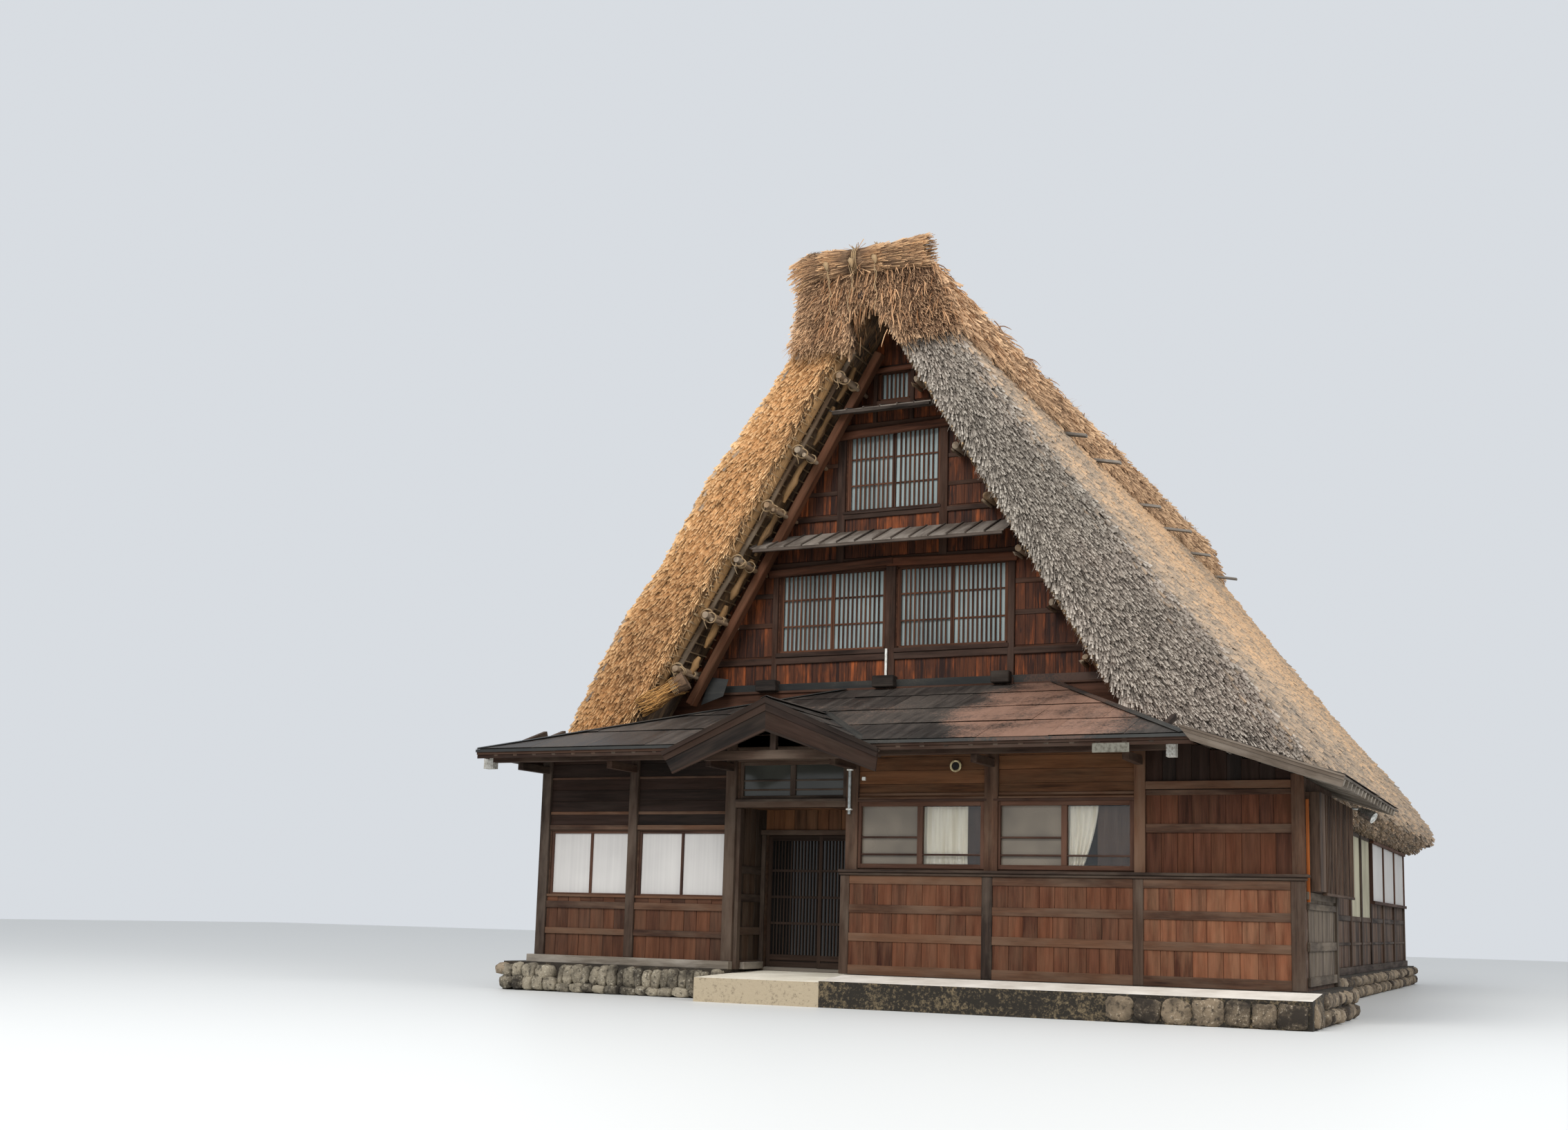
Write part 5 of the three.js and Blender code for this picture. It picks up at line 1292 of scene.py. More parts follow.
rope, tree, shader, here = new_material("straw_rope")
grain = attribute(tree, "grain").outputs["Vector"]
twisted = vector(tree, "MULTIPLY", grain, (70.0, 60.0, 60.0))
lay = put(tree, "ShaderNodeTexWave", twisted, 1.0, 0.6, 2.0).outputs[1]
dusty = cloud(tree, here, 11.0)
colour = mixed(tree, lay, paint("6b4f33"), paint("d0b084"))
tree.links.new(mixed(tree, spread(tree, dusty, 0.4, 0.7), colour, paint("a38c6c")), shader["Base Color"])
shader["Roughness"].default_value = 0.95
bumped(tree, shader, lay, 0.6, 0.003)
lip_straw = wood("lip_straw", "3a2818", "a07a4e", "80674a", 0.3, 0.9)
bark_log = wood("bark_log", "47362a", "92775a", "a99a85", 0.55, 0.7)
rafter_wood = wood("rafter_wood", "2c180c", "643c25", "57422f", 0.3, 0.7)
for side, foot in (("front", 3.62), ("back", 2.82)):
    rafters, logs, ropes, lips = verge_timbers(side, foot)
    carpentry(f"roof_rafters_{side}", rafters, rafter_wood, "dark_post", f"roof_frame_{side}", seed=48,
              chamfer=0.012, warp=0.03)
    rounds(f"roof_logs_{side}", logs, bark_log, "dark_post", sides=10, knobbly=0.008, seed=49)
    rounds(f"roof_ropes_{side}", ropes, rope, "new_straw", sides=5, seed=50)
    rounds(f"straw_lips_{side}", lips, lip_straw, "new_straw", sides=12, knobbly=0.012, seed=56)

# Small roofs over the upper windows: thin boards laid down the slope with a batten on each joint,
# weathered silver, on a light rail and brackets.
HISASHI_PITCH = 0.27


def board_roof(name, node, rise):
    """Boards and battens that fill a node's sloping plate"""
    low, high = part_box(node)
    rng = np.random.default_rng(51)
    out_y, wall_y = (low.y, high.y) if low.y < 5 else (high.y, low.y)
    top_low, top_high = high.z - rise, high.z
    fall = Vector((0, wall_y - out_y, rise)).normalized()
    up = Vector((1, 0, 0)).cross(fall) if low.y < 5 else fall.cross(Vector((1, 0, 0)))
    outer_low, outer_high = Vector((0, out_y, top_low)), Vector((0, wall_y, top_high))
    count = round((high.x - low.x) / HISASHI_PITCH)
    pieces, battens = [], []
    for i in range(count):
        x0 = low.x + (high.x - low.x) * i / count
        x1 = low.x + (high.x - low.x) * (i + 1) / count
        middle = Vector(((x0 + x1) / 2, 0, 0))
        lean = up * (-0.012 + rng.uniform(-0.002, 0.002))
        start, end = outer_low + middle + lean, outer_high + middle + lean
        start -= fall * rng.uniform(-0.012, 0.006)
        pieces.append(beam(start, end, x1 - x0 - 0.012, 0.016))
        edge = Vector((x0, 0, 0))
        battens.append(beam(outer_low + edge + up * 0.002, outer_high + edge + up * 0.002, 0.026, 0.026))
    for share in (0.03, 0.55, 0.92):
        at = outer_low.lerp(outer_high, share) - up * 0.042
        battens.append(beam((low.x + 0.03, at.y, at.z), (high.x - 0.03, at.y, at.z), 0.05, 0.045))
    carpentry(name + "_battens", battens, hisashi_batten, "grey_wood", seed=57, chamfer=0.003, warp=0.006)
    return carpentry(name, pieces, silver_board, "grey_wood", node, seed=52, chamfer=0.003, warp=0.006)


silver_board = wood("silver_board", "463c33", "7f7469", "a59b90", 0.45, 0.6)
hisashi_batten = wood("hisashi_batten", "1d1713", "4f433a", "6b6056", 0.4, 0.6)
for node, rise in (("middle_hisashi_front", 0.30), ("middle_hisashi_back", 0.30),
                   ("top_hisashi_front", 0.15)):
    board_roof(node + "_boards", node, rise)

# Thatch: two thick slopes of reed laid butt ends down and trimmed along the verges and the eave.
# A soft bed has the shape of the whole slope. Over it lie tens of thousands of single stalks that
# follow the fall of the roof, grey where the weather has worked and golden where they are newer.
BED_CELL = 0.15


def remeshed(name, source, cell):
    """The source's shape as an even skin of small faces"""
    lump = stood(name, source)
    modifier = lump.modifiers.new("skin", "REMESH")
    modifier.mode = "VOXEL"
    modifier.voxel_size = cell
    depsgraph = bpy.context.evaluated_depsgraph_get()
    skin = bpy.data.meshes.new_from_object(lump.evaluated_get(depsgraph))
    bpy.data.objects.remove(lump)
    return skin


def point_values(mesh):
    """Places and normals of a mesh's points as arrays"""
    places = np.empty(len(mesh.vertices) * 3)
    mesh.vertices.foreach_get("co", places)
    normals = np.array([tuple(v.normal) for v in mesh.vertices])
    return places.reshape(-1, 3), normals


def bed_tree():
    tree, given, result = new_tree(
        "straw_bed", "GeometryNodeTree",
        [("Geometry", "Geometry"), ("Swell", "Float"), ("Clumps", "Float"), ("Ruffle", "Float"),
         ("Finish", "Material")], [("Geometry", "Geometry")])
    grain = scaled(tree, named(tree, "grain"), given["Clumps"])
    normal = put(tree, "GeometryNodeInputNormal").outputs[0]
    broad = cloud(tree, grain, (0.5, 0.8, 1.0), 2.0)
    fine = cloud(tree, grain, (2.0, 6.0, 4.0))
    swell = number(tree, "MULTIPLY", number(tree, "SUBTRACT", broad, 0.5), given["Swell"])
    ruffle = number(tree, "MULTIPLY", number(tree, "SUBTRACT", fine, 0.62), given["Ruffle"])
    push = scaled(tree, normal, number(tree, "ADD", swell, ruffle))
    return handed_on(tree, given, result, smoothed(tree, moved(tree, given["Geometry"], push)))


def straw_tree():
    tree, given, result = new_tree(
        "straw_cover", "GeometryNodeTree",
        [("Geometry", "Geometry"), ("Density", "Float"), ("Length", "Float"), ("Width", "Float"),
         ("Lift", "Float"), ("Stray", "Float"), ("Pointed", "Float"), ("Swell", "Float"),
         ("Clumps", "Float"), ("Seed", "Int"), ("Finish", "Material")], [("Geometry", "Geometry")])
    bed = put(tree, "GeometryNodeGroup", given["Geometry"], node_tree=straw_bed)
    bed.inputs["Ruffle"].default_value = 0.0
    tree.links.new(given["Swell"], bed.inputs["Swell"])
    tree.links.new(given["Clumps"], bed.inputs["Clumps"])
    dense = number(tree, "MULTIPLY", named(tree, "cover", "FLOAT"), given["Density"])
    scattered = put(tree, "GeometryNodeDistributePointsOnFaces", bed.outputs[0], None, None, None, dense,
                    None, given["Seed"])
    normal = scattered.outputs["Normal"]
    astray = put(tree, "FunctionNodeRandomValue", (-1.0, -1.0, -1.0), (1.0, 1.0, 1.0), None, None, None,
                 None, None, None, given["Seed"], data_type="FLOAT_VECTOR").outputs[0]
    way = vector(tree, "ADD", named(tree, "flow"), scaled(tree, normal, given["Lift"]))
    way = vector(tree, "NORMALIZE", vector(tree, "ADD", way, scaled(tree, astray, given["Stray"])))
    spike = put(tree, "GeometryNodeMeshCone", 3, None, None, 0.0, 0.5, 1.0).outputs[0]
    up_it = put(tree, "ShaderNodeSeparateXYZ",
                put(tree, "GeometryNodeInputPosition").outputs[0]).outputs["Z"]
    spike = kept(tree, spike, "rise", up_it, "FLOAT")
    spike = kept(tree, spike, "within", put(tree, "GeometryNodeInputPosition").outputs[0])
    forwards = number(tree, "SUBTRACT", number(tree, "MULTIPLY", given["Pointed"], 2.0), 1.0)
    turned_way = scaled(tree, way, forwards)
    facing = put(tree, "FunctionNodeAxesToRotation", turned_way, normal,
                 primary_axis="Z", secondary_axis="X").outputs[0]
    long = number(tree, "MULTIPLY", given["Length"], between(tree, 0.5, 1.3, given["Seed"]))
    wide = number(tree, "MULTIPLY", given["Width"], between(tree, 0.6, 1.4, given["Seed"]))
    size = put(tree, "ShaderNodeCombineXYZ", wide, wide, long).outputs[0]
    placed = put(tree, "GeometryNodeInstanceOnPoints", scattered.outputs[0], None, spike, None, None,
                 facing, size).outputs[0]
    toned = kept(tree, placed, "tone", between(tree, 0.0, 1.0, given["Seed"]), "FLOAT", "INSTANCE")
    away = number(tree, "MULTIPLY", long, number(tree, "SUBTRACT", 0.6, given["Pointed"]))
    shift = scaled(tree, way, away)
    shifted = put(tree, "GeometryNodeTranslateInstances", toned, None, shift, None).outputs[0]
    shifted.node.inputs["Local Space"].default_value = False
    real = put(tree, "GeometryNodeRealizeInstances", shifted).outputs[0]
    place = put(tree, "GeometryNodeInputPosition").outputs[0]
    inside = vector(tree, "MAXIMUM", vector(tree, "MINIMUM", place, tuple(cad_box[1])), tuple(cad_box[0]))
    real = put(tree, "GeometryNodeSetPosition", real, None, inside).outputs[0]
    rise = named(tree, "rise", "FLOAT")
    rooted = number(tree, "SUBTRACT", 1.0, given["Pointed"])
    out = number(tree, "ABSOLUTE", number(tree, "SUBTRACT", rooted, rise))
    return handed_on(tree, given, result, kept(tree, real, "out", out, "FLOAT"))


straw_bed = bed_tree()
straw_cover = straw_tree()


def straw_finish(name, shadow, worn, body, bright, streak, single=True, varied=1.0):
    """Dry reed: streaks down the slope, each stalk's own tone, a painted highlight on the exposed ends
    and painted shade toward the roots and between tufts. streak is how far the bright colour spreads,
    varied how much the stalks differ"""
    material, tree, shader, _ = new_material(name)
    grain = attribute(tree, "grain").outputs["Vector"]
    broad = cloud(tree, grain, (0.30, 0.55, 0.5), 4.0, 0.6)
    streaks = cloud(tree, grain, (0.30, 5.5, 1.0), 4.0, 0.65)
    tufts = cloud(tree, grain, (2.6, 8.0, 4.0), 4.0, 0.65)
    fibres = cloud(tree, grain, (5.0, 75.0, 20.0), 3.0, 0.6)
    newer = attribute(tree, "newer").outputs["Fac"]
    if single:
        tone = attribute(tree, "tone").outputs["Fac"]
        within = vector(tree, "MULTIPLY", attribute(tree, "within").outputs["Vector"], (7.0, 7.0, 0.8))
        within = vector(tree, "ADD", within, scaled(tree, APART, tone))
        strand = number(tree, "SUBTRACT", cloud(tree, within, 1.0, 2.0, 0.6), 0.5)
        own = number(tree, "MULTIPLY", number(tree, "SUBTRACT", tone, 0.5), varied)
        own = weighed(tree, (own, 1), (strand, 1.3))
        end = attribute(tree, "out").outputs["Fac"]
    else:
        own = number(tree, "SUBTRACT", fibres, 0.5)
        end = number(tree, "MULTIPLY", tufts, 0.9)
    mood = weighed(tree, (broad, 0.4), (streaks, 0.6), (newer, 0.22), (own, 0.20))
    colour = shades(tree, mood, 0.40, 0.56, worn, body)
    # Painted highlight: where a stalk's end is exposed, its colour is lifted toward the bright one as if
    # lit
    painted_highlight = number(tree, "MULTIPLY", spread(tree, own, 0.05, 0.45), spread(tree, end, 0.45, 0.9))
    warm = weighed(tree, (spread(tree, mood, 0.66 - streak, 0.82 - streak), 1), (painted_highlight, 0.7))
    colour = mixed(tree, put(tree, "ShaderNodeClamp", warm).outputs[0], colour, paint(bright))
    # Painted shade: darker toward each stalk's root and between the tufts, where shade falls
    root = weighed(tree, (end, 0.62), (tufts, 0.6), (own, 0.5))
    dark = spread(tree, root, 0.34, 0.86, 0.96, 0.0)
    tree.links.new(mixed(tree, dark, colour, paint(shadow)), shader["Base Color"])
    shader["Roughness"].default_value = 0.95
    if not single:
        bumped(tree, shader, weighed(tree, (fibres, 0.5), (tufts, 1)), 0.9, 0.03)
    return material


def fall_of_slope(node, side):
    """For each height of a slope: the way down it, and how far down it lies, from its outer faces"""
    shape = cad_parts[node]
    heights = {}
    for polygon in shape.data.polygons:
        normal = shape.matrix_world.to_3x3() @ polygon.normal
        if abs(normal.y) < 0.2 and normal.x * side > 0.25 and normal.z > 0.02:
            middle = shape.matrix_world @ polygon.center
            heights[round(middle.z, 2)] = (normal.z * side, -abs(normal.x))
    levels = sorted(heights)
    ways = np.array([heights[level] for level in levels])
    ways /= np.linalg.norm(ways, axis=1)[:, None]
    return np.array(levels), ways


def slope_attributes(mesh, node, side):
    places, normals = point_values(mesh)
    levels, ways = fall_of_slope(node, side)
    flow_x = np.interp(places[:, 2], levels, ways[:, 0])
    flow_z = np.interp(places[:, 2], levels, ways[:, 1])
    flow = np.stack([flow_x, np.zeros(len(places)), flow_z], 1)
    flow /= np.linalg.norm(flow, axis=1)[:, None]
    steps = np.linspace(levels[0] - 1, levels[-1] + 1, 80)
    steep = np.abs(np.interp(steps, levels, ways[:, 1]))
    down = np.concatenate([[0], np.cumsum((steps[1:] - steps[:-1]) / steep[1:])])
    along = -np.interp(places[:, 2], steps, down)
    out = places[:, 0] * side * 0.8 + places[:, 2] * 0.5
    keep_values(mesh, flow=flow, grain=np.stack([along, places[:, 1], out], 1))
    return places, normals, flow


def smooth_step(values, low, high):
    t = np.clip((values - low) / (high - low), 0, 1)
    return t * t * (3 - 2 * t)


def straws(name, mesh, cover, seed, finish, marks=None, **settings):
    """A cover of single stalks over the bed, as dense as cover says point by point"""
    bed = mesh.copy()
    keep_values(bed, cover=cover, **(marks or {}))
    inputs = {"Density": 300.0, "Length": 0.3, "Width": 0.03, "Lift": 0.1, "Stray": 0.1, "Pointed": 0.0,
              "Swell": 0.03, "Clumps": 1.0, "Seed": seed, "Finish": finish, **settings}
    return settle(grown(name, straw_cover, bed, inputs), "thatch")


bed_straw = straw_finish("bed_straw", "2e2620", "5d5145", "7d6a58", "c89c68", 0.02, single=False)
slope_straw = straw_finish("slope_straw", "352e27", "837a70", "a49482", "d9b48d", 0.08, varied=0.5)
grey_straw = straw_finish("grey_straw", "2b2621", "857b70", "a5968a", "cdc4b6", 0.02, varied=0.9)
verge_straw = straw_finish("verge_straw", "382412", "a87d52", "cd9e69", "f0ca99", 0.06)
RIDGE_X = 4.2
CAP_FOOT_Z = SILL + 8.5
for node, side, seed in (("thatch_left", -1, 81), ("thatch_right", 1, 82)):
    bed = remeshed(node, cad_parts[node].data.copy(), BED_CELL)
    places, normals, flow = slope_attributes(bed, node, side)
    x, y, z = places.T
    outer = np.clip(normals[:, 0] * side * 0.85 + normals[:, 2] * 0.5, 0, 1)
    under_cap = smooth_step(z, CAP_FOOT_Z + 0.1, CAP_FOOT_Z + 0.35)
    from_verge = smooth_step(y, 1.0, 9.0)
    newer = smooth_step(z, SILL + 2.4, SILL + 5.5) * (0.1 + 0.45 * from_verge) - 0.12 * (1 - from_verge)
    newer -= 0.22 * (1 - smooth_step(z, SILL + 2.6, SILL + 4.4))
    # inner lifts the straw's underside toward the lighter colours: painted light on the shaded underside
    inner = smooth_step(-normals[:, 0] * side, 0.1, 0.6)
    keep_values(bed, newer=newer + inner)
    cover = smooth_step(outer, 0.35, 0.6) * (1 - under_cap)
    front = smooth_step(-normals[:, 1], 0.45, 0.75) * (1 - under_cap)
    back = smooth_step(normals[:, 1], 0.45, 0.75) * (1 - under_cap)
    eave = smooth_step(-normals[:, 2], 0.3, 0.6) * (1 - smooth_step(z, SILL + 2.6, SILL + 3.1))
    settle(grown(node + "_bed", straw_bed, bed,
                 {"Swell": 0.03, "Clumps": 1.0, "Ruffle": 0.05, "Finish": bed_straw}),
           "thatch", node)
    straws(node + "_slope_straw", bed, cover, seed, slope_straw, Density=265.0 if side > 0 else 150.0,
           Length=0.30, Width=0.032 if side > 0 else 0.038, Lift=0.13, Stray=0.13)
    inner_face = 2 * MIDDLE_X - straw_line(z) if side > 0 else straw_line(z)
    depth = (x - inner_face) * side * STRAW_SLOPE / straw_run
    combed = flow + np.array([-0.16, 0.0, 0.0]) * (side < 0)
    combed[:, 0] *= 1 - 0.75 * (side > 0) * (1 - smooth_step(depth, 0.0, 0.45))
    outer_part = smooth_step(depth, 0.55, 1.35)
    even = {"newer": 0.10 - 0.1 * outer_part if side < 0 else 0.40 * outer_part - 0.36, "flow": combed}
    straws(node + "_front_verge_straw", bed, front, seed + 10, verge_straw if side < 0 else grey_straw,
           even, Density=2500.0, Length=0.19, Width=0.019, Lift=0.20, Stray=0.17)
    straws(node + "_back_verge_straw", bed, back, seed + 20, slope_straw, Density=760.0, Length=0.22,
           Width=0.027, Lift=0.22, Stray=0.20)
    straws(node + "_eave_straw", bed, eave, seed + 30, slope_straw, Density=320.0, Length=0.2,
           Width=0.032, Lift=0.35, Stray=0.22)
    lip = front * (depth < 0.16) * (z > SILL + 3.4)
    inward = flow * 0.75 + np.array([-side * 0.55, 0.0, -0.25])
    straws(node + "_lip_straw", bed, lip, seed + 40, verge_straw if side < 0 else grey_straw,
           {**even, "flow": inward}, Density=900.0, Length=0.24, Width=0.015, Lift=0.15, Stray=0.30,
           Pointed=1.0)

# Ridge: a saddle of longer, newer straw bent over both slopes and combed down, its edge a loose
# fringe. Over its front end lies a thick roll of straw tied with three ropes.
CAP_SIDE = [(1.33, 8.88), (1.13, 9.40), (0.93, 9.80), (0.52, 10.03), (0.0, 10.09)]
CAP_FRONT_Y, CAP_BACK_Y = 0.96, 18.64
NOTCH = [(0.494, 8.78), (0.121, 9.40)]


def cap_bed():
    """The saddle as overlapping prisms, which the remesh joins"""
    outer = [(RIDGE_X + x, z) for x, z in CAP_SIDE] + [(RIDGE_X - x, z) for x, z in CAP_SIDE[-2::-1]]
    end_inner = [(RIDGE_X - x, z) for x, z in NOTCH] + [(RIDGE_X + x, z) for x, z in NOTCH[::-1]]
    end_foot_left, end_foot_right = (RIDGE_X - 1.0, 8.86), (RIDGE_X + 1.0, 8.86)
    end = outer + [end_foot_left] + end_inner + [end_foot_right]
    body = outer + [(RIDGE_X - 0.9, 8.95), (RIDGE_X - 0.2, 9.5), (RIDGE_X + 0.2, 9.5),
                    (RIDGE_X + 0.9, 8.95)]
    shape = bmesh.new()
    for outline, y0, y1 in ((end, CAP_FRONT_Y, 1.2), (body, 1.12, 18.52), (end, 18.45, CAP_BACK_Y)):
        near = [shape.verts.new((x, y0, z)) for x, z in outline]
        far = [shape.verts.new((x, y1, z)) for x, z in outline]
        shape.faces.new(near)
        shape.faces.new(far[::-1])
        for i in range(len(outline)):
            j = (i + 1) % len(outline)
            shape.faces.new((near[j], near[i], far[i], far[j]))
    bmesh.ops.recalc_face_normals(shape, faces=shape.faces[:])
    mesh = bpy.data.meshes.new("cap")
    shape.to_mesh(mesh)
    shape.free()
    return mesh


ridge_bed = straw_finish("ridge_bed", "3a2a1d", "7a5d45", "96775a", "b8946c", 0.03, single=False)
ridge_straw = straw_finish("ridge_straw", "332216", "86644a", "ae8b6b", "e6bf95", 0.05, varied=0.8)
CAP_SWELL, CAP_CLUMPS = 0.20, 2.6
cap = remeshed("cap", cap_bed(), 0.10)
places, normals = point_values(cap)
x, y, z = places.T
tucked = 0.25 * (1 - smooth_step(y, 1.6, 3.6)) * (1 - smooth_step(z, 8.9, 9.85)) * (x < RIDGE_X - 0.4)
places[:, 0] = x + tucked
cap.vertices.foreach_set("co", places.ravel())
cap.update()
x = places[:, 0]
side = np.clip((x - RIDGE_X) / 0.25, -1, 1)
side_way = np.stack([side * 0.42 + np.sign(side) * np.clip(z - 9.75, 0, 0.3) * 3.0, np.zeros(len(x)),
                     -np.ones(len(x)) * np.abs(side)], 1)
front_way = np.stack([(x - RIDGE_X) * 0.75, np.zeros(len(x)), -np.ones(len(x))], 1)
facing_end = np.abs(normals[:, 1]) > 0.6
flow = np.where(facing_end[:, None], front_way, side_way)
flow /= np.maximum(np.linalg.norm(flow, axis=1), 1e-3)[:, None]
along = np.where(facing_end, -z, -z * 0.9 - np.abs(x - RIDGE_X))
across = np.where(facing_end, x, y)
# On the end faces the straw is painted darker: painted shadow under the roll along the top, and painted
# shade under the loose straw towards the right
keep_values(cap, flow=flow, grain=np.stack([along, across, x * 0.3], 1),
            newer=0.3 - (0.8 * smooth_step(x, 4.2, 5.0) + 0.5 * smooth_step(z, 9.62, 9.82)) * facing_end)
settle(grown("ridge_cap_bed", straw_bed, cap,
             {"Swell": CAP_SWELL, "Clumps": CAP_CLUMPS, "Ruffle": 0.08, "Finish": ridge_bed}),
       "new_straw", "ridge_cap")
seen_side = smooth_step(normals[:, 0] * side, 0.1, 0.35) + smooth_step(normals[:, 2], 0.3, 0.7)
straws("ridge_side_straw", cap, np.clip(seen_side, 0, 1) * ~facing_end * (z > 8.95), 91, ridge_straw,
       Density=260.0, Length=0.32, Width=0.024, Lift=0.22, Stray=0.34, Swell=CAP_SWELL, Clumps=CAP_CLUMPS)
straws("ridge_loose_straw", cap,
       np.clip(seen_side * (x > 4.4) + (normals[:, 1] < -0.5) * (x > 4.1), 0, 1) * (z > 8.9),
       97, ridge_straw, Density=210.0, Length=0.26, Width=0.013, Lift=0.5, Stray=0.95, Pointed=1.0,
       Swell=CAP_SWELL, Clumps=CAP_CLUMPS)
straws("ridge_front_straw", cap, (normals[:, 1] < -0.5) * (z < 9.80), 92, ridge_straw,
       Density=4700.0, Length=0.20, Width=0.0092, Lift=0.24, Stray=0.48, Swell=CAP_SWELL,
       Clumps=CAP_CLUMPS)
straws("ridge_fringe", cap, (z < 9.02) * (np.abs(x - RIDGE_X) > 0.5) * 1.0, 93, ridge_straw,
       Density=470.0, Length=0.40, Width=0.020, Lift=0.26, Stray=0.42, Pointed=1.0, Swell=CAP_SWELL,
       Clumps=CAP_CLUMPS)
straws("ridge_back_straw", cap, (normals[:, 1] > 0.5) * 1.0, 94, ridge_straw,
       Density=600.0, Length=0.3, Width=0.026, Lift=0.16, Stray=0.24, Swell=CAP_SWELL, Clumps=CAP_CLUMPS)

strands = []
seen_points = np.nonzero((z > 8.95) & ((normals[:, 1] < -0.6) | (normals[:, 0] > 0.2)) & (x > 3.5))[0]
near_front = 1 / (1 + 0.35 * (y[seen_points] - CAP_FRONT_Y)) ** 2
for index in rng.choice(seen_points, 800, p=near_front / near_front.sum()):
    astray = Vector(rng.uniform(-0.5, 0.5, 3))
    heading = Vector(normals[index]) * 0.55 + Vector(flow[index]) * 0.8 + astray
    path = [Vector(places[index]) + Vector(normals[index]) * 0.03 + Vector(rng.uniform(-0.04, 0.04, 3))]
    for _ in range(4):
        heading += Vector((0, 0, -0.34)) + Vector(rng.uniform(-0.15, 0.15, 3))
        path.append(path[-1] + heading.normalized() * rng.uniform(0.045, 0.075))
    path = [Vector(np.clip(point, cad_box[0] + Vector((0.02,) * 3), cad_box[1] - Vector((0.02,) * 3)))
            for point in path]
    strands.append((path, [0.009, 0.009, 0.008, 0.006, 0.003]))
loose_straw = wood("loose_straw", "8a5f3d", "e0b286", "c09670", 0.3, 1.2)
rounds("ridge_loose_strands", strands, loose_straw, "new_straw", sides=3, seed=98)

# Ridge roll: a bundle of long straw across the gable's peak, bound in three places. The ropes'
# knots stick up in sprouts, their tails hang down the front, and both ends of the bundle flare.
ROLL_Z, ROLL_Y, ROLL_THICK = SILL + 9.552, 0.95, 0.172
ROLL_LEFT, ROLL_RIGHT = 3.32, 4.97
ROLL_TIES = [3.70, 4.07, 4.42]


def roll_radius(x):
    pinch = sum(0.026 * math.exp(-((x - tie) / 0.07) ** 2) for tie in ROLL_TIES)
    right_flare = 0.030 * smooth_step(x, 4.5, ROLL_RIGHT)
    left_flare = 0.010 * (1 - smooth_step(x, ROLL_LEFT, 3.6))
    return ROLL_THICK - pinch + float(right_flare) + float(left_flare)


def roll_middle(x):
    """The roll's axis: its left end droops"""
    return (x, ROLL_Y + 0.01 * math.sin(3 * x),
            ROLL_Z - 0.015 * (1 - float(smooth_step(x, ROLL_LEFT, 3.8))))


spans = np.linspace(ROLL_LEFT, ROLL_RIGHT, 34)
roll_line = ([roll_middle(x) for x in spans], [roll_radius(x) for x in spans])
rounds("ridge_roll_core", [roll_line], ridge_bed, "new_straw", sides=20, knobbly=0.02)
skin_points, skin_faces = [], []
AROUND = 20
for x in spans:
    _, middle_y, middle_z = roll_middle(x)
    for i in range(AROUND):
        angle = 2 * math.pi * i / AROUND
        skin_points.append((x, middle_y + roll_radius(x) * math.cos(angle),
                            middle_z + roll_radius(x) * math.sin(angle)))
for i in range(len(spans) - 1):
    for j in range(AROUND):
        a, b = i * AROUND + j, i * AROUND + (j + 1) % AROUND
        skin_faces.append((a, b, b + AROUND, a + AROUND))
roll_skin = bpy.data.meshes.new("roll_skin")
roll_skin.from_pydata(skin_points, [], skin_faces)
skin_places = np.array(skin_points)
outward = np.where(skin_places[:, 0] > 4.1, 1.0, -1.0)
droop = -0.55 * smooth_step(-skin_places[:, 0], -3.65, -3.35)
angle = np.arctan2(skin_places[:, 2] - ROLL_Z, skin_places[:, 1] - ROLL_Y)
keep_values(roll_skin, flow=np.stack([outward, np.zeros(len(outward)), droop], 1),
            newer=np.full(len(outward), 0.3),
            grain=np.stack([skin_places[:, 0], angle * 0.3, skin_places[:, 2] * 0.2], 1))
roll_straw = straw_finish("roll_straw", "2c1d14", "7a5a41", "a58263", "e2b98b", 0.05)
straws("ridge_roll_straw", roll_skin, np.ones(len(outward)), 95, roll_straw, Density=3600.0, Length=0.34,
       Width=0.010, Lift=0.06, Stray=0.10, Swell=0.0)
straws("ridge_roll_ends", roll_skin, (smooth_step(skin_places[:, 0], 4.82, 4.93)
                                      + smooth_step(-skin_places[:, 0], -3.46, -3.37)), 96, roll_straw,
       Density=2600.0, Length=0.20, Width=0.010, Lift=0.25, Stray=0.3, Pointed=1.0, Swell=0.0)
rng = np.random.default_rng(53)
ties = []
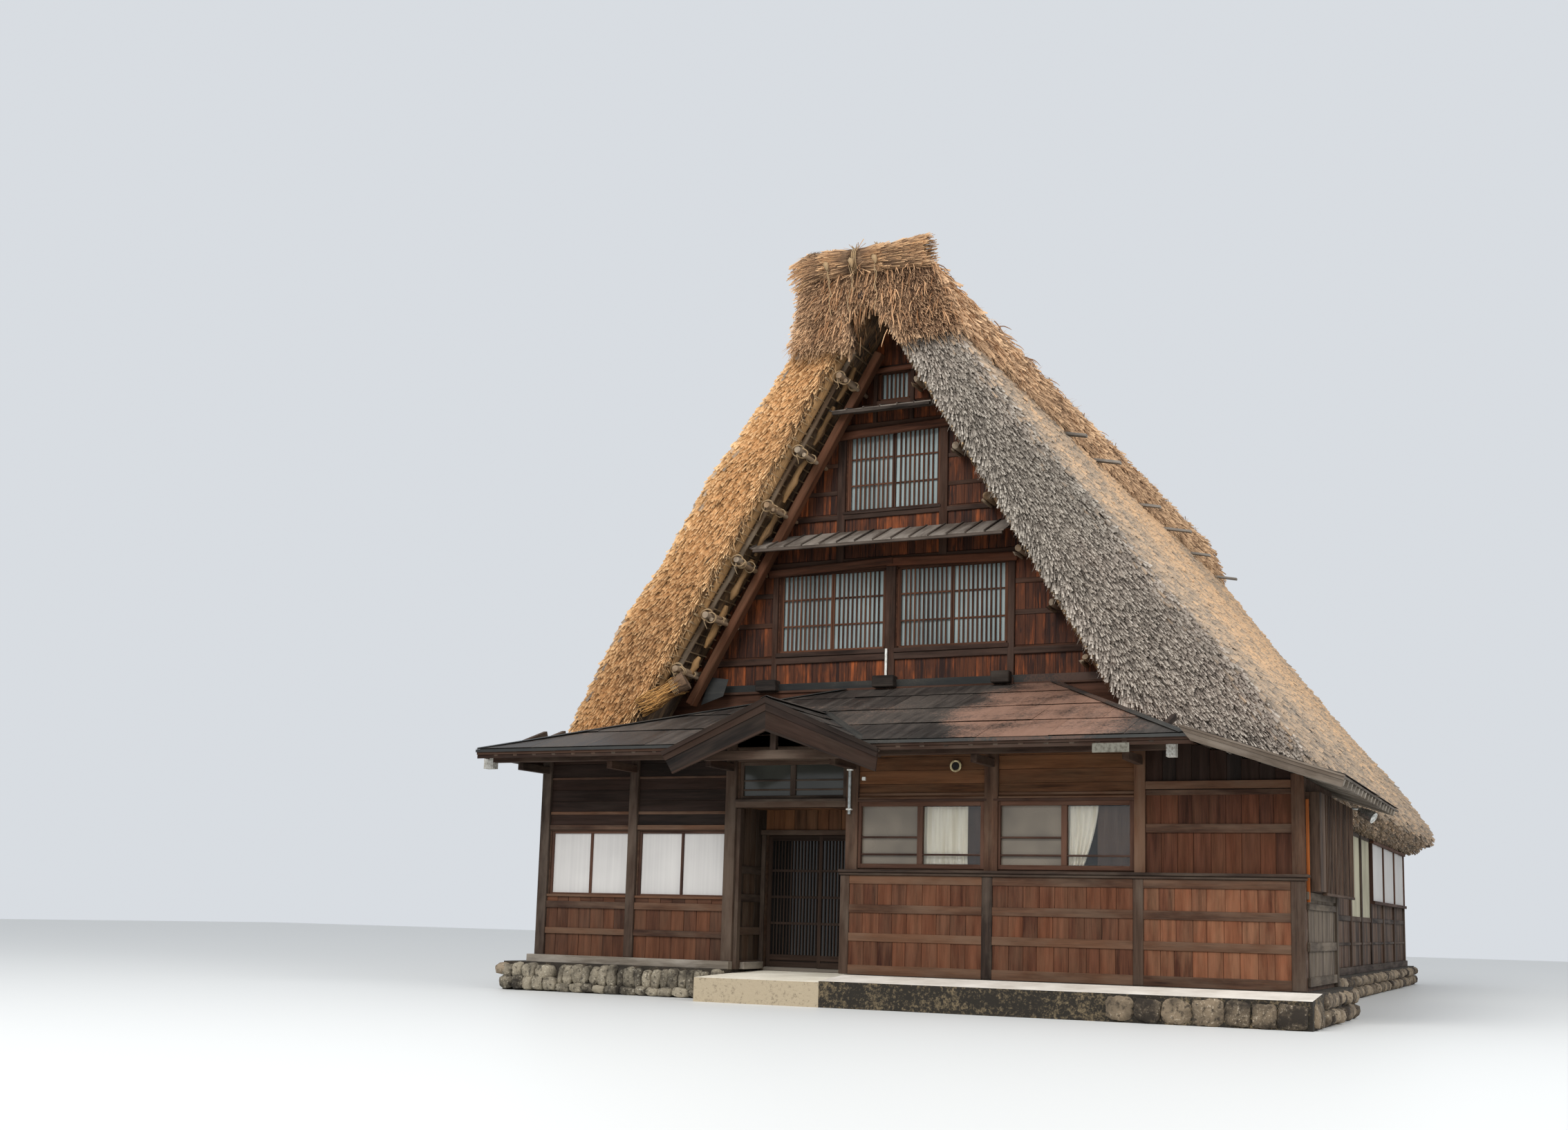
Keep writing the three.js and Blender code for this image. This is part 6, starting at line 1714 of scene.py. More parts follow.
for tie in ROLL_TIES:
    middle = Vector(roll_middle(tie))
    around_roll = roll_radius(tie) + 0.022
    ties.append((wound(middle, (1, 0.05, 0), around_roll, 3.2, 0.026, 18), 0.010))
    knot = Vector((tie - 0.03, ROLL_Y - around_roll - 0.01, middle.z - 0.02))
    ties.append(([knot, knot + Vector((0.02, -0.02, -0.035)), knot + Vector((0.035, -0.025, -0.075)),
                  knot + Vector((0.04, -0.01, -0.125))], [0.014, 0.040, 0.036, 0.008]))
    for strand in range(2):
        x = tie + rng.uniform(-0.05, 0.05)
        path = [Vector((x, ROLL_Y - roll_radius(tie) - 0.012, middle.z - 0.03))]
        for step in range(9):
            fall = -0.085 if strand else -0.055
            path.append(path[-1] + Vector((rng.uniform(-0.03, 0.035), rng.uniform(-0.008, 0.004), fall)))
        for point in path:
            point.y = max(point.y, 0.76)
        ties.append((path, 0.0052))
    for _ in range(7):
        root = middle + Vector((rng.uniform(-0.02, 0.02), rng.uniform(-0.07, 0.02), around_roll - 0.03))
        lean = Vector((rng.uniform(-0.8, 0.8), rng.uniform(-0.8, 0.3), 1.0)).normalized()
        tip_z = SILL + 9.765
        reach = min(0.10, (tip_z - root.z) / max(lean.z, 0.3) - 0.004)
        ties.append(([root, root + lean * reach * 0.5,
                      root + lean * reach + Vector((lean.x * 0.02, 0, 0))],
                     [0.009, 0.008, 0.004]))
rounds("ridge_roll_ropes", ties, rope, "new_straw", sides=6, seed=54)
rounds("ridge_pole_end", [([(4.15, 0.93, SILL + 9.06), (4.15, 1.4, SILL + 9.06)], 0.05),
                          ([(4.02, 0.98, SILL + 9.0), (4.02, 1.4, SILL + 9.0)], 0.032),
                          ([(4.27, 0.98, SILL + 8.99), (4.27, 1.4, SILL + 8.99)], 0.030)],
       dark_post, "dark_post", sides=12, knobbly=0.01)

# Ridge pegs: short weathered boards driven under the edge of the saddle, in a row along each side.
# They lean down and outward over the thatch.
PEG_PLACES = [(5.9, 0.30), (7.5, 0.36), (10.7, 0.32), (12.7, 0.38), (15.0, 0.33), (17.5, 0.36)]
pegs = []
for side in (1, -1):
    for y, long in PEG_PLACES:
        root = Vector((RIDGE_X + side * 1.05, y + (0.4 if side < 0 else 0), SILL + 8.42))
        tip = root + Vector((side * long * 2.2, 0.02, -0.42 * long))
        pegs.append(beam(root, tip, 0.11, 0.045))
carpentry("ridge_pegs", pegs, wood("peg_grey", "57504a", "8f877d", "b5ada2", 0.6, 0.4), "grey_wood",
          seed=55, warp=0.01)

# Pent roof across the front: painted sheet steel laid in lapped courses over boards and rafters.
# Each sheet hooks under the one above, its foot a little proud. The paint has dulled, and rust
# comes through where the snow slides off the thatch.
EAVE_Y, EAVE_Z, GABLE_FACE_Y = -0.95, SILL + 2.72, 2.10
PENT_SLOPE, HIP_LEFT_SLOPE, HIP_RIGHT_SLOPE = 0.35, 0.27, 0.45
PENT_LEFT, PENT_RIGHT, HIP_RIGHT_X = -0.42, 9.04, 8.95
HOOD_X, HOOD_TOP, HOOD_SLOPE = 3.93, SILL + 3.25, 0.45
SHEET_THICK = 0.003


def sheet_steel(name, dark, body, pale, rust, rusting, place=(5.6, 8.6)):
    """Dull painted steel: faint runs down the slope, pale bloom, and rust in patches"""
    material, tree, shader, here = new_material(name)
    tone = attribute(tree, "tone").outputs["Fac"]
    along = attribute(tree, "grain").outputs["Vector"]
    runs = cloud(tree, along, (0.7, 9.0, 1.0), 4.0, 0.65)
    bloom = cloud(tree, here, 0.8, 5.0, 0.65)
    grit = cloud(tree, here, 34.0, 5.0, 0.75)
    mood = weighed(tree, (runs, 0.5), (bloom, 0.5), (number(tree, "SUBTRACT", tone, 0.5), 0.12))
    colour = shades(tree, mood, 0.38, 0.56, dark, body)
    dusty = number(tree, "MULTIPLY", spread(tree, mood, 0.52, 0.66), spread(tree, grit, 0.4, 0.62))
    colour = mixed(tree, dusty, colour, paint(pale))
    at = put(tree, "ShaderNodeSeparateXYZ", here).outputs["X"]
    patch = number(tree, "MULTIPLY", spread(tree, at, place[0], place[0] + 0.8),
                   spread(tree, at, place[1] - 0.8, place[1], 1.0, 0.0))
    worn = weighed(tree, (patch, 0.19), (grit, 0.4), (bloom, 0.6))
    rusty = spread(tree, worn, 0.66 - 0.1 * rusting, 0.74 - 0.06 * rusting)
    tree.links.new(mixed(tree, number(tree, "MULTIPLY", rusty, 0.75), colour, paint(rust)),
                   shader["Base Color"])
    tree.links.new(spread(tree, mood, 0.35, 0.65, 0.42, 0.7), shader["Roughness"])
    shader["Metallic"].default_value = 0.25
    bumped(tree, shader, weighed(tree, (runs, 1), (grit, 0.2)), 0.25, 0.006)
    return material


def lapped_sheets(rng, origin, across, upslope, outline, course_high=0.88, seam=0.86, lift=0.014):
    """Sheets in courses over a roof plane, outlined as (along the eave, up the slope)"""
    origin, across, upslope = Vector(origin), Vector(across).normalized(), Vector(upslope).normalized()
    normal = across.cross(upslope)
    normal *= 1 if normal.z > 0 else -1
    low_u, high_u = min(u for u, v in outline), max(u for u, v in outline)
    low_v, high_v = min(v for u, v in outline), max(v for u, v in outline)
    sheets = []
    for row in range(max(1, math.ceil((high_v - low_v - 0.05) / course_high))):
        v0 = low_v + row * course_high
        v1 = v0 + course_high + 0.02
        row_part = clipped(clipped(outline, 0, -1, -v0), 0, 1, v1)
        start = low_u - (seam / 2 if row % 2 else 0) + rng.uniform(-0.05, 0.05)
        for column in range(math.ceil((high_u - start) / seam)):
            u0 = start + column * seam
            part = clipped(clipped(row_part, -1, 0, -(u0 + 0.002)), 1, 0, u0 + seam - 0.002)
            if len(part) < 3:
                continue
            tilt = rng.uniform(0.7, 1.3) * lift
            shape = [origin + across * u + upslope * v + normal * (0.003 + tilt * (v1 - v) / (v1 - v0))
                     for u, v in part]
            sheets.append((shape, normal * SHEET_THICK, upslope))
    return sheets


def slope_way(x, y, fall):
    return Vector((x, y, fall)).normalized()


roof_steel = sheet_steel("roof_steel", "26221f", "47403a", "64594f", "a67e69", 0.8)
pent_run = math.hypot(1, PENT_SLOPE)
TOP_V = (GABLE_FACE_Y - EAVE_Y) * pent_run
LEFT_HIP_TOP = PENT_LEFT + (GABLE_FACE_Y - EAVE_Y) * PENT_SLOPE / HIP_LEFT_SLOPE
RIGHT_HIP_TOP = HIP_RIGHT_X - (GABLE_FACE_Y - EAVE_Y) * PENT_SLOPE / HIP_RIGHT_SLOPE
front_outline = [(PENT_LEFT, 0.0), (HIP_RIGHT_X, 0.0), (RIGHT_HIP_TOP, TOP_V), (LEFT_HIP_TOP, TOP_V)]
HOOD_RISE = HOOD_TOP - EAVE_Z
rng = np.random.default_rng(61)
pent_planes = []
for side in (-1, 1):
    half = clipped(front_outline, -side, 0, -side * HOOD_X)
    half = clipped(half, -side * HOOD_SLOPE, -PENT_SLOPE / pent_run,
                   -HOOD_RISE - side * HOOD_SLOPE * HOOD_X)
    pent_planes.append(((0, EAVE_Y, EAVE_Z), (1, 0, 0), slope_way(0, 1, PENT_SLOPE), half))
left_run = math.hypot(1, HIP_LEFT_SLOPE)
pent_planes.append(((PENT_LEFT, 0, EAVE_Z), (0, 1, 0), slope_way(1, 0, HIP_LEFT_SLOPE),
                    [(EAVE_Y, 0.0), (GABLE_FACE_Y, 0.0),
                     (GABLE_FACE_Y, (LEFT_HIP_TOP - PENT_LEFT) * left_run)]))
right_run = math.hypot(1, HIP_RIGHT_SLOPE)
right_low = EAVE_Z - HIP_RIGHT_SLOPE * (PENT_RIGHT - HIP_RIGHT_X)
pent_planes.append(((PENT_RIGHT, 0, right_low), (0, 1, 0), slope_way(-1, 0, HIP_RIGHT_SLOPE),
                    [(EAVE_Y, 0.0), (GABLE_FACE_Y, 0.0),
                     (GABLE_FACE_Y, (PENT_RIGHT - RIGHT_HIP_TOP) * right_run),
                     (EAVE_Y, (PENT_RIGHT - HIP_RIGHT_X) * right_run)]))
pent_sheets = [sheet for plane in pent_planes for sheet in lapped_sheets(rng, *plane)]
flat_plates("pent_roof_sheets", pent_sheets, roof_steel, "sheet_roof", "pent_roof_front")


def solid_plane(origin, across, upslope, outline, below, thick):
    """One flat layer of a roof plane, below its top"""
    across, upslope = Vector(across).normalized(), Vector(upslope).normalized()
    normal = across.cross(upslope)
    normal *= 1 if normal.z > 0 else -1
    shape = [Vector(origin) + across * u + upslope * v - normal * below for u, v in outline]
    return (shape, -normal * thick, across)


weathered_board = wood("roof_boarding", "2b241e", "554a40", "7d7469", 0.5, 0.7)
flat_plates("pent_roof_boarding", [solid_plane(*plane, 0.001, 0.024) for plane in pent_planes],
            weathered_board, "wall_board")
RAFTER_LEFT, RAFTER_STEP, RAFTER_WIDE, RAFTER_DEEP = -0.15, 0.30, 0.06, 0.075
UNDER_BOARDS = 0.028
PENT_RAFTERS, LEAN_RAFTERS = 30, 17
rafter_sticks = []
for index in range(PENT_RAFTERS):
    x = RAFTER_LEFT + index * RAFTER_STEP + RAFTER_WIDE / 2
    under_hood = max(0.0, (HOOD_RISE - HOOD_SLOPE * abs(x - HOOD_X)) / PENT_SLOPE)
    y0 = max(EAVE_Y + 0.02, EAVE_Y + under_hood)
    y1 = 0.2
    if y1 - y0 < 0.15:
        continue
    drop = UNDER_BOARDS + RAFTER_DEEP / 2
    ends = [(x, y, EAVE_Z + PENT_SLOPE * (y - EAVE_Y) - drop * pent_run) for y in (y0, y1)]
    rafter_sticks.append(beam(*ends, RAFTER_WIDE, RAFTER_DEEP))
carpentry("pent_rafters", rafter_sticks, dark_post, "dark_post", seed=62, warp=0.01)
eave_steel = sheet_steel("eave_steel", "1d1f20", "34332f", "4f4a43", "5d4336", 0.2)
eave_cuts = [(PENT_LEFT, HOOD_X - 1.18), (HOOD_X + 1.18, PENT_RIGHT)]
carpentry("eave_boards", [
    bar(x0, x1, EAVE_Y + y0, EAVE_Y + y1, EAVE_Z + z0, EAVE_Z + z1)
    for x0, x1 in eave_cuts
    for y0, y1, z0, z1 in ((0.012, 0.032, -0.062, -0.012), (0.028, 0.046, -0.11, -0.062))
] + [
    bar(PENT_LEFT + 0.012, PENT_LEFT + 0.03, EAVE_Y + 0.02, 2.08, EAVE_Z - 0.062, EAVE_Z - 0.012),
    bar(PENT_LEFT + 0.028, PENT_LEFT + 0.044, EAVE_Y + 0.04, 2.06, EAVE_Z - 0.1, EAVE_Z - 0.062),
], wood("eave_brown", "26170f", "432c1e", "50443a", 0.3), "dark_post", seed=64, warp=0.01)
flat_plates("eave_flashing", [
    ([(x0, EAVE_Y - 0.008, EAVE_Z - 0.03), (x1, EAVE_Y - 0.008, EAVE_Z - 0.03),
      (x1, EAVE_Y - 0.008, EAVE_Z + 0.006), (x0, EAVE_Y - 0.008, EAVE_Z + 0.006)], (0, 0.004, 0),
      (1, 0, 0))
    for x0, x1 in eave_cuts
] + [
    ([(PENT_LEFT - 0.008, EAVE_Y, EAVE_Z - 0.03), (PENT_LEFT - 0.008, 2.1, EAVE_Z - 0.03),
      (PENT_LEFT - 0.008, 2.1, EAVE_Z + 0.006), (PENT_LEFT - 0.008, EAVE_Y, EAVE_Z + 0.006)],
     (0.004, 0, 0), (0, 1, 0)),
], eave_steel, "sheet_roof")


def cap_strip(start, end, half_wide, rise, thick=0.004):
    """A bent metal strip over a hip, a ridge or a joint: two leaves that meet on its line"""
    start, end = Vector(start), Vector(end)
    along = (end - start).normalized()
    side = Vector((0, 0, 1)).cross(along).normalized()
    leaves = []
    for sign in (-1, 1):
        out = side * sign * half_wide - Vector((0, 0, rise))
        leaves.append(([start, end, end + out, start + out], Vector((0, 0, thick)), along))
    return leaves


def pent_top(y):
    return EAVE_Z + PENT_SLOPE * (y - EAVE_Y)


hip_ends = [((PENT_LEFT + 0.01, EAVE_Y + 0.01, EAVE_Z + 0.03),
             (LEFT_HIP_TOP, GABLE_FACE_Y, pent_top(GABLE_FACE_Y) + 0.03)),
            ((HIP_RIGHT_X, EAVE_Y + 0.01, EAVE_Z + 0.03),
             (RIGHT_HIP_TOP, GABLE_FACE_Y, pent_top(GABLE_FACE_Y) + 0.03))]
strips = cap_strip(*hip_ends[0], 0.075, 0.016) + cap_strip(*hip_ends[1], 0.075, 0.014)
VALLEY_TOP_Y = EAVE_Y + HOOD_RISE / PENT_SLOPE
for side in (-1, 1):
    foot = (HOOD_X + side * HOOD_RISE / HOOD_SLOPE, EAVE_Y, EAVE_Z + 0.022)
    strips += cap_strip(foot, (HOOD_X, VALLEY_TOP_Y, HOOD_TOP + 0.022), 0.09, -0.012)
flat_plates("hip_and_valley_strips", strips, eave_steel, "sheet_roof")
APRON_LEFT, APRON_RIGHT, APRON_BACK, APRON_FRONT, APRON_UP = 1.2, 7.2, 2.075, 2.045, 0.14
apron_foot, apron_head = pent_top(APRON_BACK) + 0.012, pent_top(APRON_FRONT) + APRON_UP
flat_plates("wall_apron", [
    ([(APRON_LEFT, APRON_BACK, apron_foot), (APRON_RIGHT, APRON_BACK, apron_foot),
      (APRON_RIGHT, APRON_FRONT, apron_head), (APRON_LEFT, APRON_FRONT, apron_head)],
     (0, 0.004, 0), (1, 0, 0)),
], eave_steel, "sheet_roof")

# Hood over the entrance: two small sheet planes on a ridge, with broad moulded bargeboards in front
# that meet in a mitre, a tie beam and a short king post in the open gable.
HOOD_HALF, HOOD_FRONT = 1.43, -1.10
hood_run = math.hypot(1, HOOD_SLOPE)
HOOD_FOOT_Z = HOOD_TOP - HOOD_SLOPE * HOOD_HALF
hood_v = HOOD_HALF * hood_run
meet_v = (HOOD_HALF - HOOD_RISE / HOOD_SLOPE) * hood_run
hood_outline = [(HOOD_FRONT, 0.0), (EAVE_Y, 0.0), (EAVE_Y, meet_v), (VALLEY_TOP_Y, hood_v),
                (HOOD_FRONT, hood_v)]
hood_planes = [((HOOD_X - side * HOOD_HALF, 0, HOOD_FOOT_Z), (0, 1, 0), slope_way(side, 0, HOOD_SLOPE),
                hood_outline)
               for side in (1, -1)]
hood_sheets = [sheet for plane in hood_planes for sheet in lapped_sheets(rng, *plane, 0.40, 0.62)]
hood_sheets += cap_strip((HOOD_X, HOOD_FRONT - 0.02, HOOD_TOP + 0.032),
                         (HOOD_X, VALLEY_TOP_Y, HOOD_TOP + 0.032),
                         0.08, 0.034)
flat_plates("hood_sheets", hood_sheets, roof_steel, "sheet_roof", "hood_roof")
flat_plates("hood_boarding", [solid_plane(*plane, 0.001, 0.022) for plane in hood_planes],
            weathered_board, "wall_board")
BARGE_LEFT, BARGE_RIGHT = (2.50, SILL + 2.62), (5.41, SILL + 2.62)
BARGE_LOW_LEFT, BARGE_LOW_RIGHT = (2.67, SILL + 2.35), (5.38, SILL + 2.34)
BARGE_TOP, BARGE_LOW = (HOOD_X, SILL + 3.26), (HOOD_X, SILL + 2.85)


def across_board(upper, lower, share):
    return [a + (b - a) * share for a, b in zip(upper, lower)]


def moulding(uppers, lowers, share0, share1, face_y, back_y, along):
    """A strip of a sloping board: from one share to another of the way from its upper edge to its
    lower one, each edge given by its two ends"""
    corners = [across_board(uppers[0], lowers[0], share0), across_board(uppers[1], lowers[1], share0),
               across_board(uppers[1], lowers[1], share1), across_board(uppers[0], lowers[0], share1)]
    return ([(x, face_y, z) for x, z in corners], (0, back_y - face_y, 0), along)


barge_plates = []
BARGE_STEPS = [(0.0, 0.17, -1.155), (0.16, 0.40, -1.140), (0.39, 0.94, -1.128), (0.93, 1.0, -1.136)]
for upper, lower in ((BARGE_LEFT, BARGE_LOW_LEFT), (BARGE_RIGHT, BARGE_LOW_RIGHT)):
    for step in BARGE_STEPS:
        along = Vector((BARGE_TOP[0] - upper[0], 0, BARGE_TOP[1] - upper[1]))
        barge_plates.append(moulding((upper, BARGE_TOP), (lower, BARGE_LOW), *step, HOOD_FRONT, along))
flat_plates("hood_bargeboard_mouldings", barge_plates,
            wood("barge_brown", "0f0905", "2e1b0f", "382c22", 0.3, 1.0), "grey_wood", "hood_bargeboards")
HOOD_REACH, HOOD_DROP = 1.3, 0.075
carpentry("hood_gable_timbers", [
    raised(2.98, 4.88, -0.93, -0.83, 2.53, 2.64),
    raised(3.89, 3.97, -0.91, -0.84, 2.64, 3.02),
    *[beam((HOOD_X - side * HOOD_REACH, y, HOOD_TOP - HOOD_SLOPE * HOOD_REACH - HOOD_DROP),
           (HOOD_X, y, HOOD_TOP - HOOD_DROP), 0.05, 0.07)
      for side in (1, -1) for y in (-0.98, -0.60)],
    raised(3.90, 3.96, -1.09, 0.3, 3.05, 3.15),
], dark_post, "dark_post", seed=66)

# Eave purlin: a slim squared rail tucked under the rafters and carried by short arms that grow out
# of the posts. The white-painted ends hang a little lower.
PURLIN_Y0, PURLIN_Y1 = -0.70, -0.59
PURLIN_LOW = SILL + 2.50
PURLIN_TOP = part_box("eave_purlin")[1].z
purlin_sticks = [bar(-0.462, 8.79, PURLIN_Y0, PURLIN_Y1, PURLIN_TOP - 0.115, PURLIN_TOP - 0.04)]
for low_x, high_x in POSTS.values():
    middle = (low_x + high_x) / 2
    if middle < 9:
        purlin_sticks.append(bar(middle - 0.04, middle + 0.04, PURLIN_Y1 - 0.04, 0.0, PURLIN_LOW - 0.02,
                                 PURLIN_TOP - 0.115))
carpentry("eave_purlin_and_arms", purlin_sticks, wood("purlin_brown", "21160f", "432c1f", "6b5a4b", 0.3),
          "grey_wood", "eave_purlin", seed=68, warp=0.01)
chalk, tree, shader, here = new_material("chalk_white")
worn = cloud(tree, here, 40.0, 4.0, 0.7)
tree.links.new(shades(tree, worn, 0.35, 0.55, "8f877a", "cbc8c0"), shader["Base Color"])
shader["Roughness"].default_value = 0.8
end_caps = [bar(x0, x1, PURLIN_Y0 - 0.004, PURLIN_Y1 + 0.004, PURLIN_LOW - 0.004, PURLIN_TOP - 0.036)
            for x0, x1 in ((-0.468, -0.32), (8.69, 8.796))]
carpentry("white_beam_ends", end_caps, chalk, "grey_wood", seed=70, chamfer=0.002)

# Lean-to at the right: the same sheet on rafters whose ends show, with a weathered verge board in
# front and a long shutter box of upright slats on the side wall.
LEAN_EAVE_X, LEAN_EAVE_Z, LEAN_SLOPE, LEAN_BACK_Y = 10.63, SILL + 2.24, 0.333, 4.40
LEAN_START = PENT_RIGHT + 0.005
lean_run = math.hypot(1, LEAN_SLOPE)
lean_plane = ((LEAN_EAVE_X - 0.008, 0, LEAN_EAVE_Z), (0, 1, 0), slope_way(-1, 0, LEAN_SLOPE),
              [(EAVE_Y, 0.0), (LEAN_BACK_Y, 0.0), (LEAN_BACK_Y, (LEAN_EAVE_X - LEAN_START) * lean_run),
               (EAVE_Y, (LEAN_EAVE_X - LEAN_START) * lean_run)])
flat_plates("lean_to_sheets", lapped_sheets(rng, *lean_plane, 0.45, 0.8), roof_steel, "sheet_roof",
            "lean_to_roof")
flat_plates("lean_to_boarding", [solid_plane(*lean_plane, 0.001, 0.024)], weathered_board, "wall_board")


def lean_top(x):
    return LEAN_EAVE_Z + LEAN_SLOPE * (LEAN_EAVE_X - x)


lean_sticks = []
for index in range(LEAN_RAFTERS):
    y = EAVE_Y + 0.12 + index * RAFTER_STEP + RAFTER_WIDE / 2
    drop = (UNDER_BOARDS + RAFTER_DEEP / 2) * lean_run
    lean_sticks.append(beam((LEAN_EAVE_X - 0.03, y, lean_top(LEAN_EAVE_X - 0.03) - drop),
                            (9.6, y, lean_top(9.6) - drop), RAFTER_WIDE, RAFTER_DEEP))
carpentry("lean_to_rafters", lean_sticks, grey_timber, "dark_post", seed=72, warp=0.01)
VERGE_UP = [(8.86, SILL + 2.835), (10.63, SILL + 2.245)]
VERGE_DOWN = [(9.02, SILL + 2.64), (10.595, SILL + 2.12)]
verge_plates = [moulding(VERGE_UP, VERGE_DOWN, *step, EAVE_Y, (1, 0, -0.333))
                for step in ((0.0, 0.16, -0.998), (0.15, 0.44, -0.984), (0.43, 1.0, -0.974))]
flat_plates("lean_to_verge_boards", verge_plates,
            wood("verge_grey", "473d33", "706255", "877b6e", 0.6, 0.4),
            "grey_wood", "lean_to_verge_board")
BACK_EAVE_Y, BACK_EAVE_Z, BACK_FACE_Y = 18.985, SILL + 2.50, 17.60
back_v = (BACK_EAVE_Y - BACK_FACE_Y) * pent_run
back_plane = ((0, BACK_EAVE_Y, BACK_EAVE_Z), (1, 0, 0), slope_way(0, -1, PENT_SLOPE))
BACK_RIGHT, BACK_LAP = 9.8, (0.45, 0.52)
back_low = [(PENT_LEFT, 0.0), (BACK_RIGHT, 0.0), (BACK_RIGHT, BACK_LAP[1]), (PENT_LEFT, BACK_LAP[1])]
back_high = [(0.03, BACK_LAP[0]), (9.17, BACK_LAP[0]), (9.17, back_v), (0.03, back_v)]
back_sheets = [sheet for outline in (back_low, back_high)
               for sheet in lapped_sheets(rng, *back_plane, outline, 0.45, 0.9)]
flat_plates("back_pent_sheets", back_sheets, roof_steel, "sheet_roof")

# Side and back walls: the same frame of posts on a sill runs all round the house, with upright
# boards nailed between them in two rows. Paper windows light the rear room on both sides.
SIDE_POSTS = [0.20, 1.95, 3.75, 5.55, 7.35, 9.15, 10.50, 11.85, 13.70, 15.53, 17.42]
POST_HALF = 0.06
LOW_ROW, HIGH_ROW = (SILL + 0.08, SILL + 0.80), (SILL + 0.88, SILL + 2.27)
SHOJI_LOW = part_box("right_shoji_row")[0]
side_board = wood("side_board", "261a13", "5d4433", "6a5d50", 0.35, 0.9)
plaster, tree, shader, here = new_material("lime_plaster")
stains = cloud(tree, vector(tree, "MULTIPLY", here, (1.2, 1.2, 0.5)), 1.6, 4.0)
tree.links.new(shades(tree, stains, 0.4, 0.7, "b4ad94", "8a8570"), shader["Base Color"])
shader["Roughness"].default_value = 0.9
bumped(tree, shader, cloud(tree, here, 30.0, 4.0), 0.3, 0.003)


def side_wall(side, face, out, first_post, plaster_bays=()):
    """One long wall: posts, rails and boards, with the shoji row left open"""
    rng = np.random.default_rng(61 if out < 0 else 62)
    posts = [y for y in SIDE_POSTS if y > first_post]
    def proud(depth):
        return sorted((face, face + out * depth))
    timbers = [bar(*proud(0.045), y - POST_HALF, y + POST_HALF, SILL - 0.02,
                   SHOJI_LOW.z - 0.05 if y > SHOJI_LOW.y - 0.2 else SILL + 2.29) for y in posts]
    timbers += [raised(*proud(0.075), posts[0] - POST_HALF, posts[-1] + POST_HALF, -0.03, 0.08)]
    timbers += [bar(*proud(0.03), a + POST_HALF, b - POST_HALF, z0, z1) for a, b in zip(posts, posts[1:])
                for z0, z1 in ((LOW_ROW[1], HIGH_ROW[0]), (SILL + 2.20, SILL + 2.27),
                               (SILL + 0.42, SILL + 0.46))]
    boards, plates = [], []
    for a, b in zip(posts, posts[1:]):
        a, b = a + POST_HALF, b - POST_HALF
        if round(a - POST_HALF, 2) in plaster_bays:
            plates.append(([(face, a, LOW_ROW[1]), (face, b, LOW_ROW[1]), (face, b, HIGH_ROW[1]),
                            (face, a, HIGH_ROW[1])], (out * 0.015, 0, 0), (0, 0, 1)))
            boards += upright_boards(rng, a, b, face, *LOW_ROW, 0.2, out, "x")
        elif a > SHOJI_LOW.y - 0.1:
            boards += upright_boards(rng, a, b, face, LOW_ROW[0], SHOJI_LOW.z - 0.05, 0.2, out, "x")
        else:
            boards += upright_boards(rng, a, b, face, *LOW_ROW, 0.2, out, "x")
            boards += upright_boards(rng, a, b, face, *HIGH_ROW, 0.2, out, "x")
    carpentry(side + "_wall_timbers", timbers, dark_post, "dark_post", seed=63, warp=0.01)
    carpentry(side + "_wall_boards", boards, side_board, "wall_board", seed=64)
    if plates:
        flat_plates(side + "_wall_plaster", plates, plaster, "shoji")


side_wall("left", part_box("left_wall")[0].x, -1, 0.0)
side_wall("right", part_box("right_wall")[1].x, 1, 2.9, (9.15, 10.50))


def side_sashes(low, high, wall_face, out):
    """A box window proud of the wall: mullions between three bays of two white paper leaves"""
    def part(deep0, deep1, y0, y1, z0, z1):
        x0, x1 = sorted((wall_face + out * deep0, wall_face + out * deep1))
        return bar(x0, x1, y0, y1, z0, z1)
    y0, y1, z0, z1 = low.y, high.y, low.z, high.z
    parts = [part(-0.02, 0.095, y0 - 0.04, y1 + 0.04, z0 - 0.055, z0),
             part(-0.02, 0.09, y0 - 0.04, y1 + 0.04, z1, z1 + 0.05)]
    bays = [y0, *[y for y in SIDE_POSTS if y0 + 0.5 < y < y1 - 0.5], y1]
    parts += [part(-0.02, 0.062, y - 0.035, y + 0.035, z0, z1) for y in bays]
    sheets = []
    for a, b in zip(bays, bays[1:]):
        for c, d, deep in ((a, (a + b) / 2 - 0.006, 0.044), ((a + b) / 2 + 0.006, b, 0.036)):
            face = wall_face + out * deep
            sheets.append(([(face, c, z0), (face, d, z0), (face, d, z1), (face, c, z1)],
                           (-out * 0.02, 0, 0), (0, 0, 1)))
    return parts, sheets


side_parts, side_sheets = [], []
for node, wall_face, out in (("left_shoji_row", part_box("left_wall")[0].x, -1),
                             ("right_shoji_row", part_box("right_wall")[1].x, 1)):
    parts, sheets = side_sashes(*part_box(node), wall_face, out)
    side_parts += parts
    side_sheets += sheets
carpentry("side_shoji_frames", side_parts, sash_brown, "dark_post", seed=65, chamfer=0.002)
flat_plates("side_shoji_sheets", side_sheets, shoji_paper, "shoji", "left_shoji_row", "right_shoji_row")
rng = np.random.default_rng(66)
BACK_WALL_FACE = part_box("back_wall")[1].y
BACK_POSTS = [0.11, 1.60, 3.50, 5.80, 7.70, 9.24]
BACK_SASHES = {1: 1, 3: 2}
back_timbers = [raised(x - POST_HALF, x + POST_HALF, BACK_WALL_FACE, BACK_WALL_FACE + 0.045, -0.02, 2.52)
                for x in BACK_POSTS]
back_timbers.append(raised(0.05, 9.3, BACK_WALL_FACE, BACK_WALL_FACE + 0.07, -0.03, 0.08))
back_boards = []
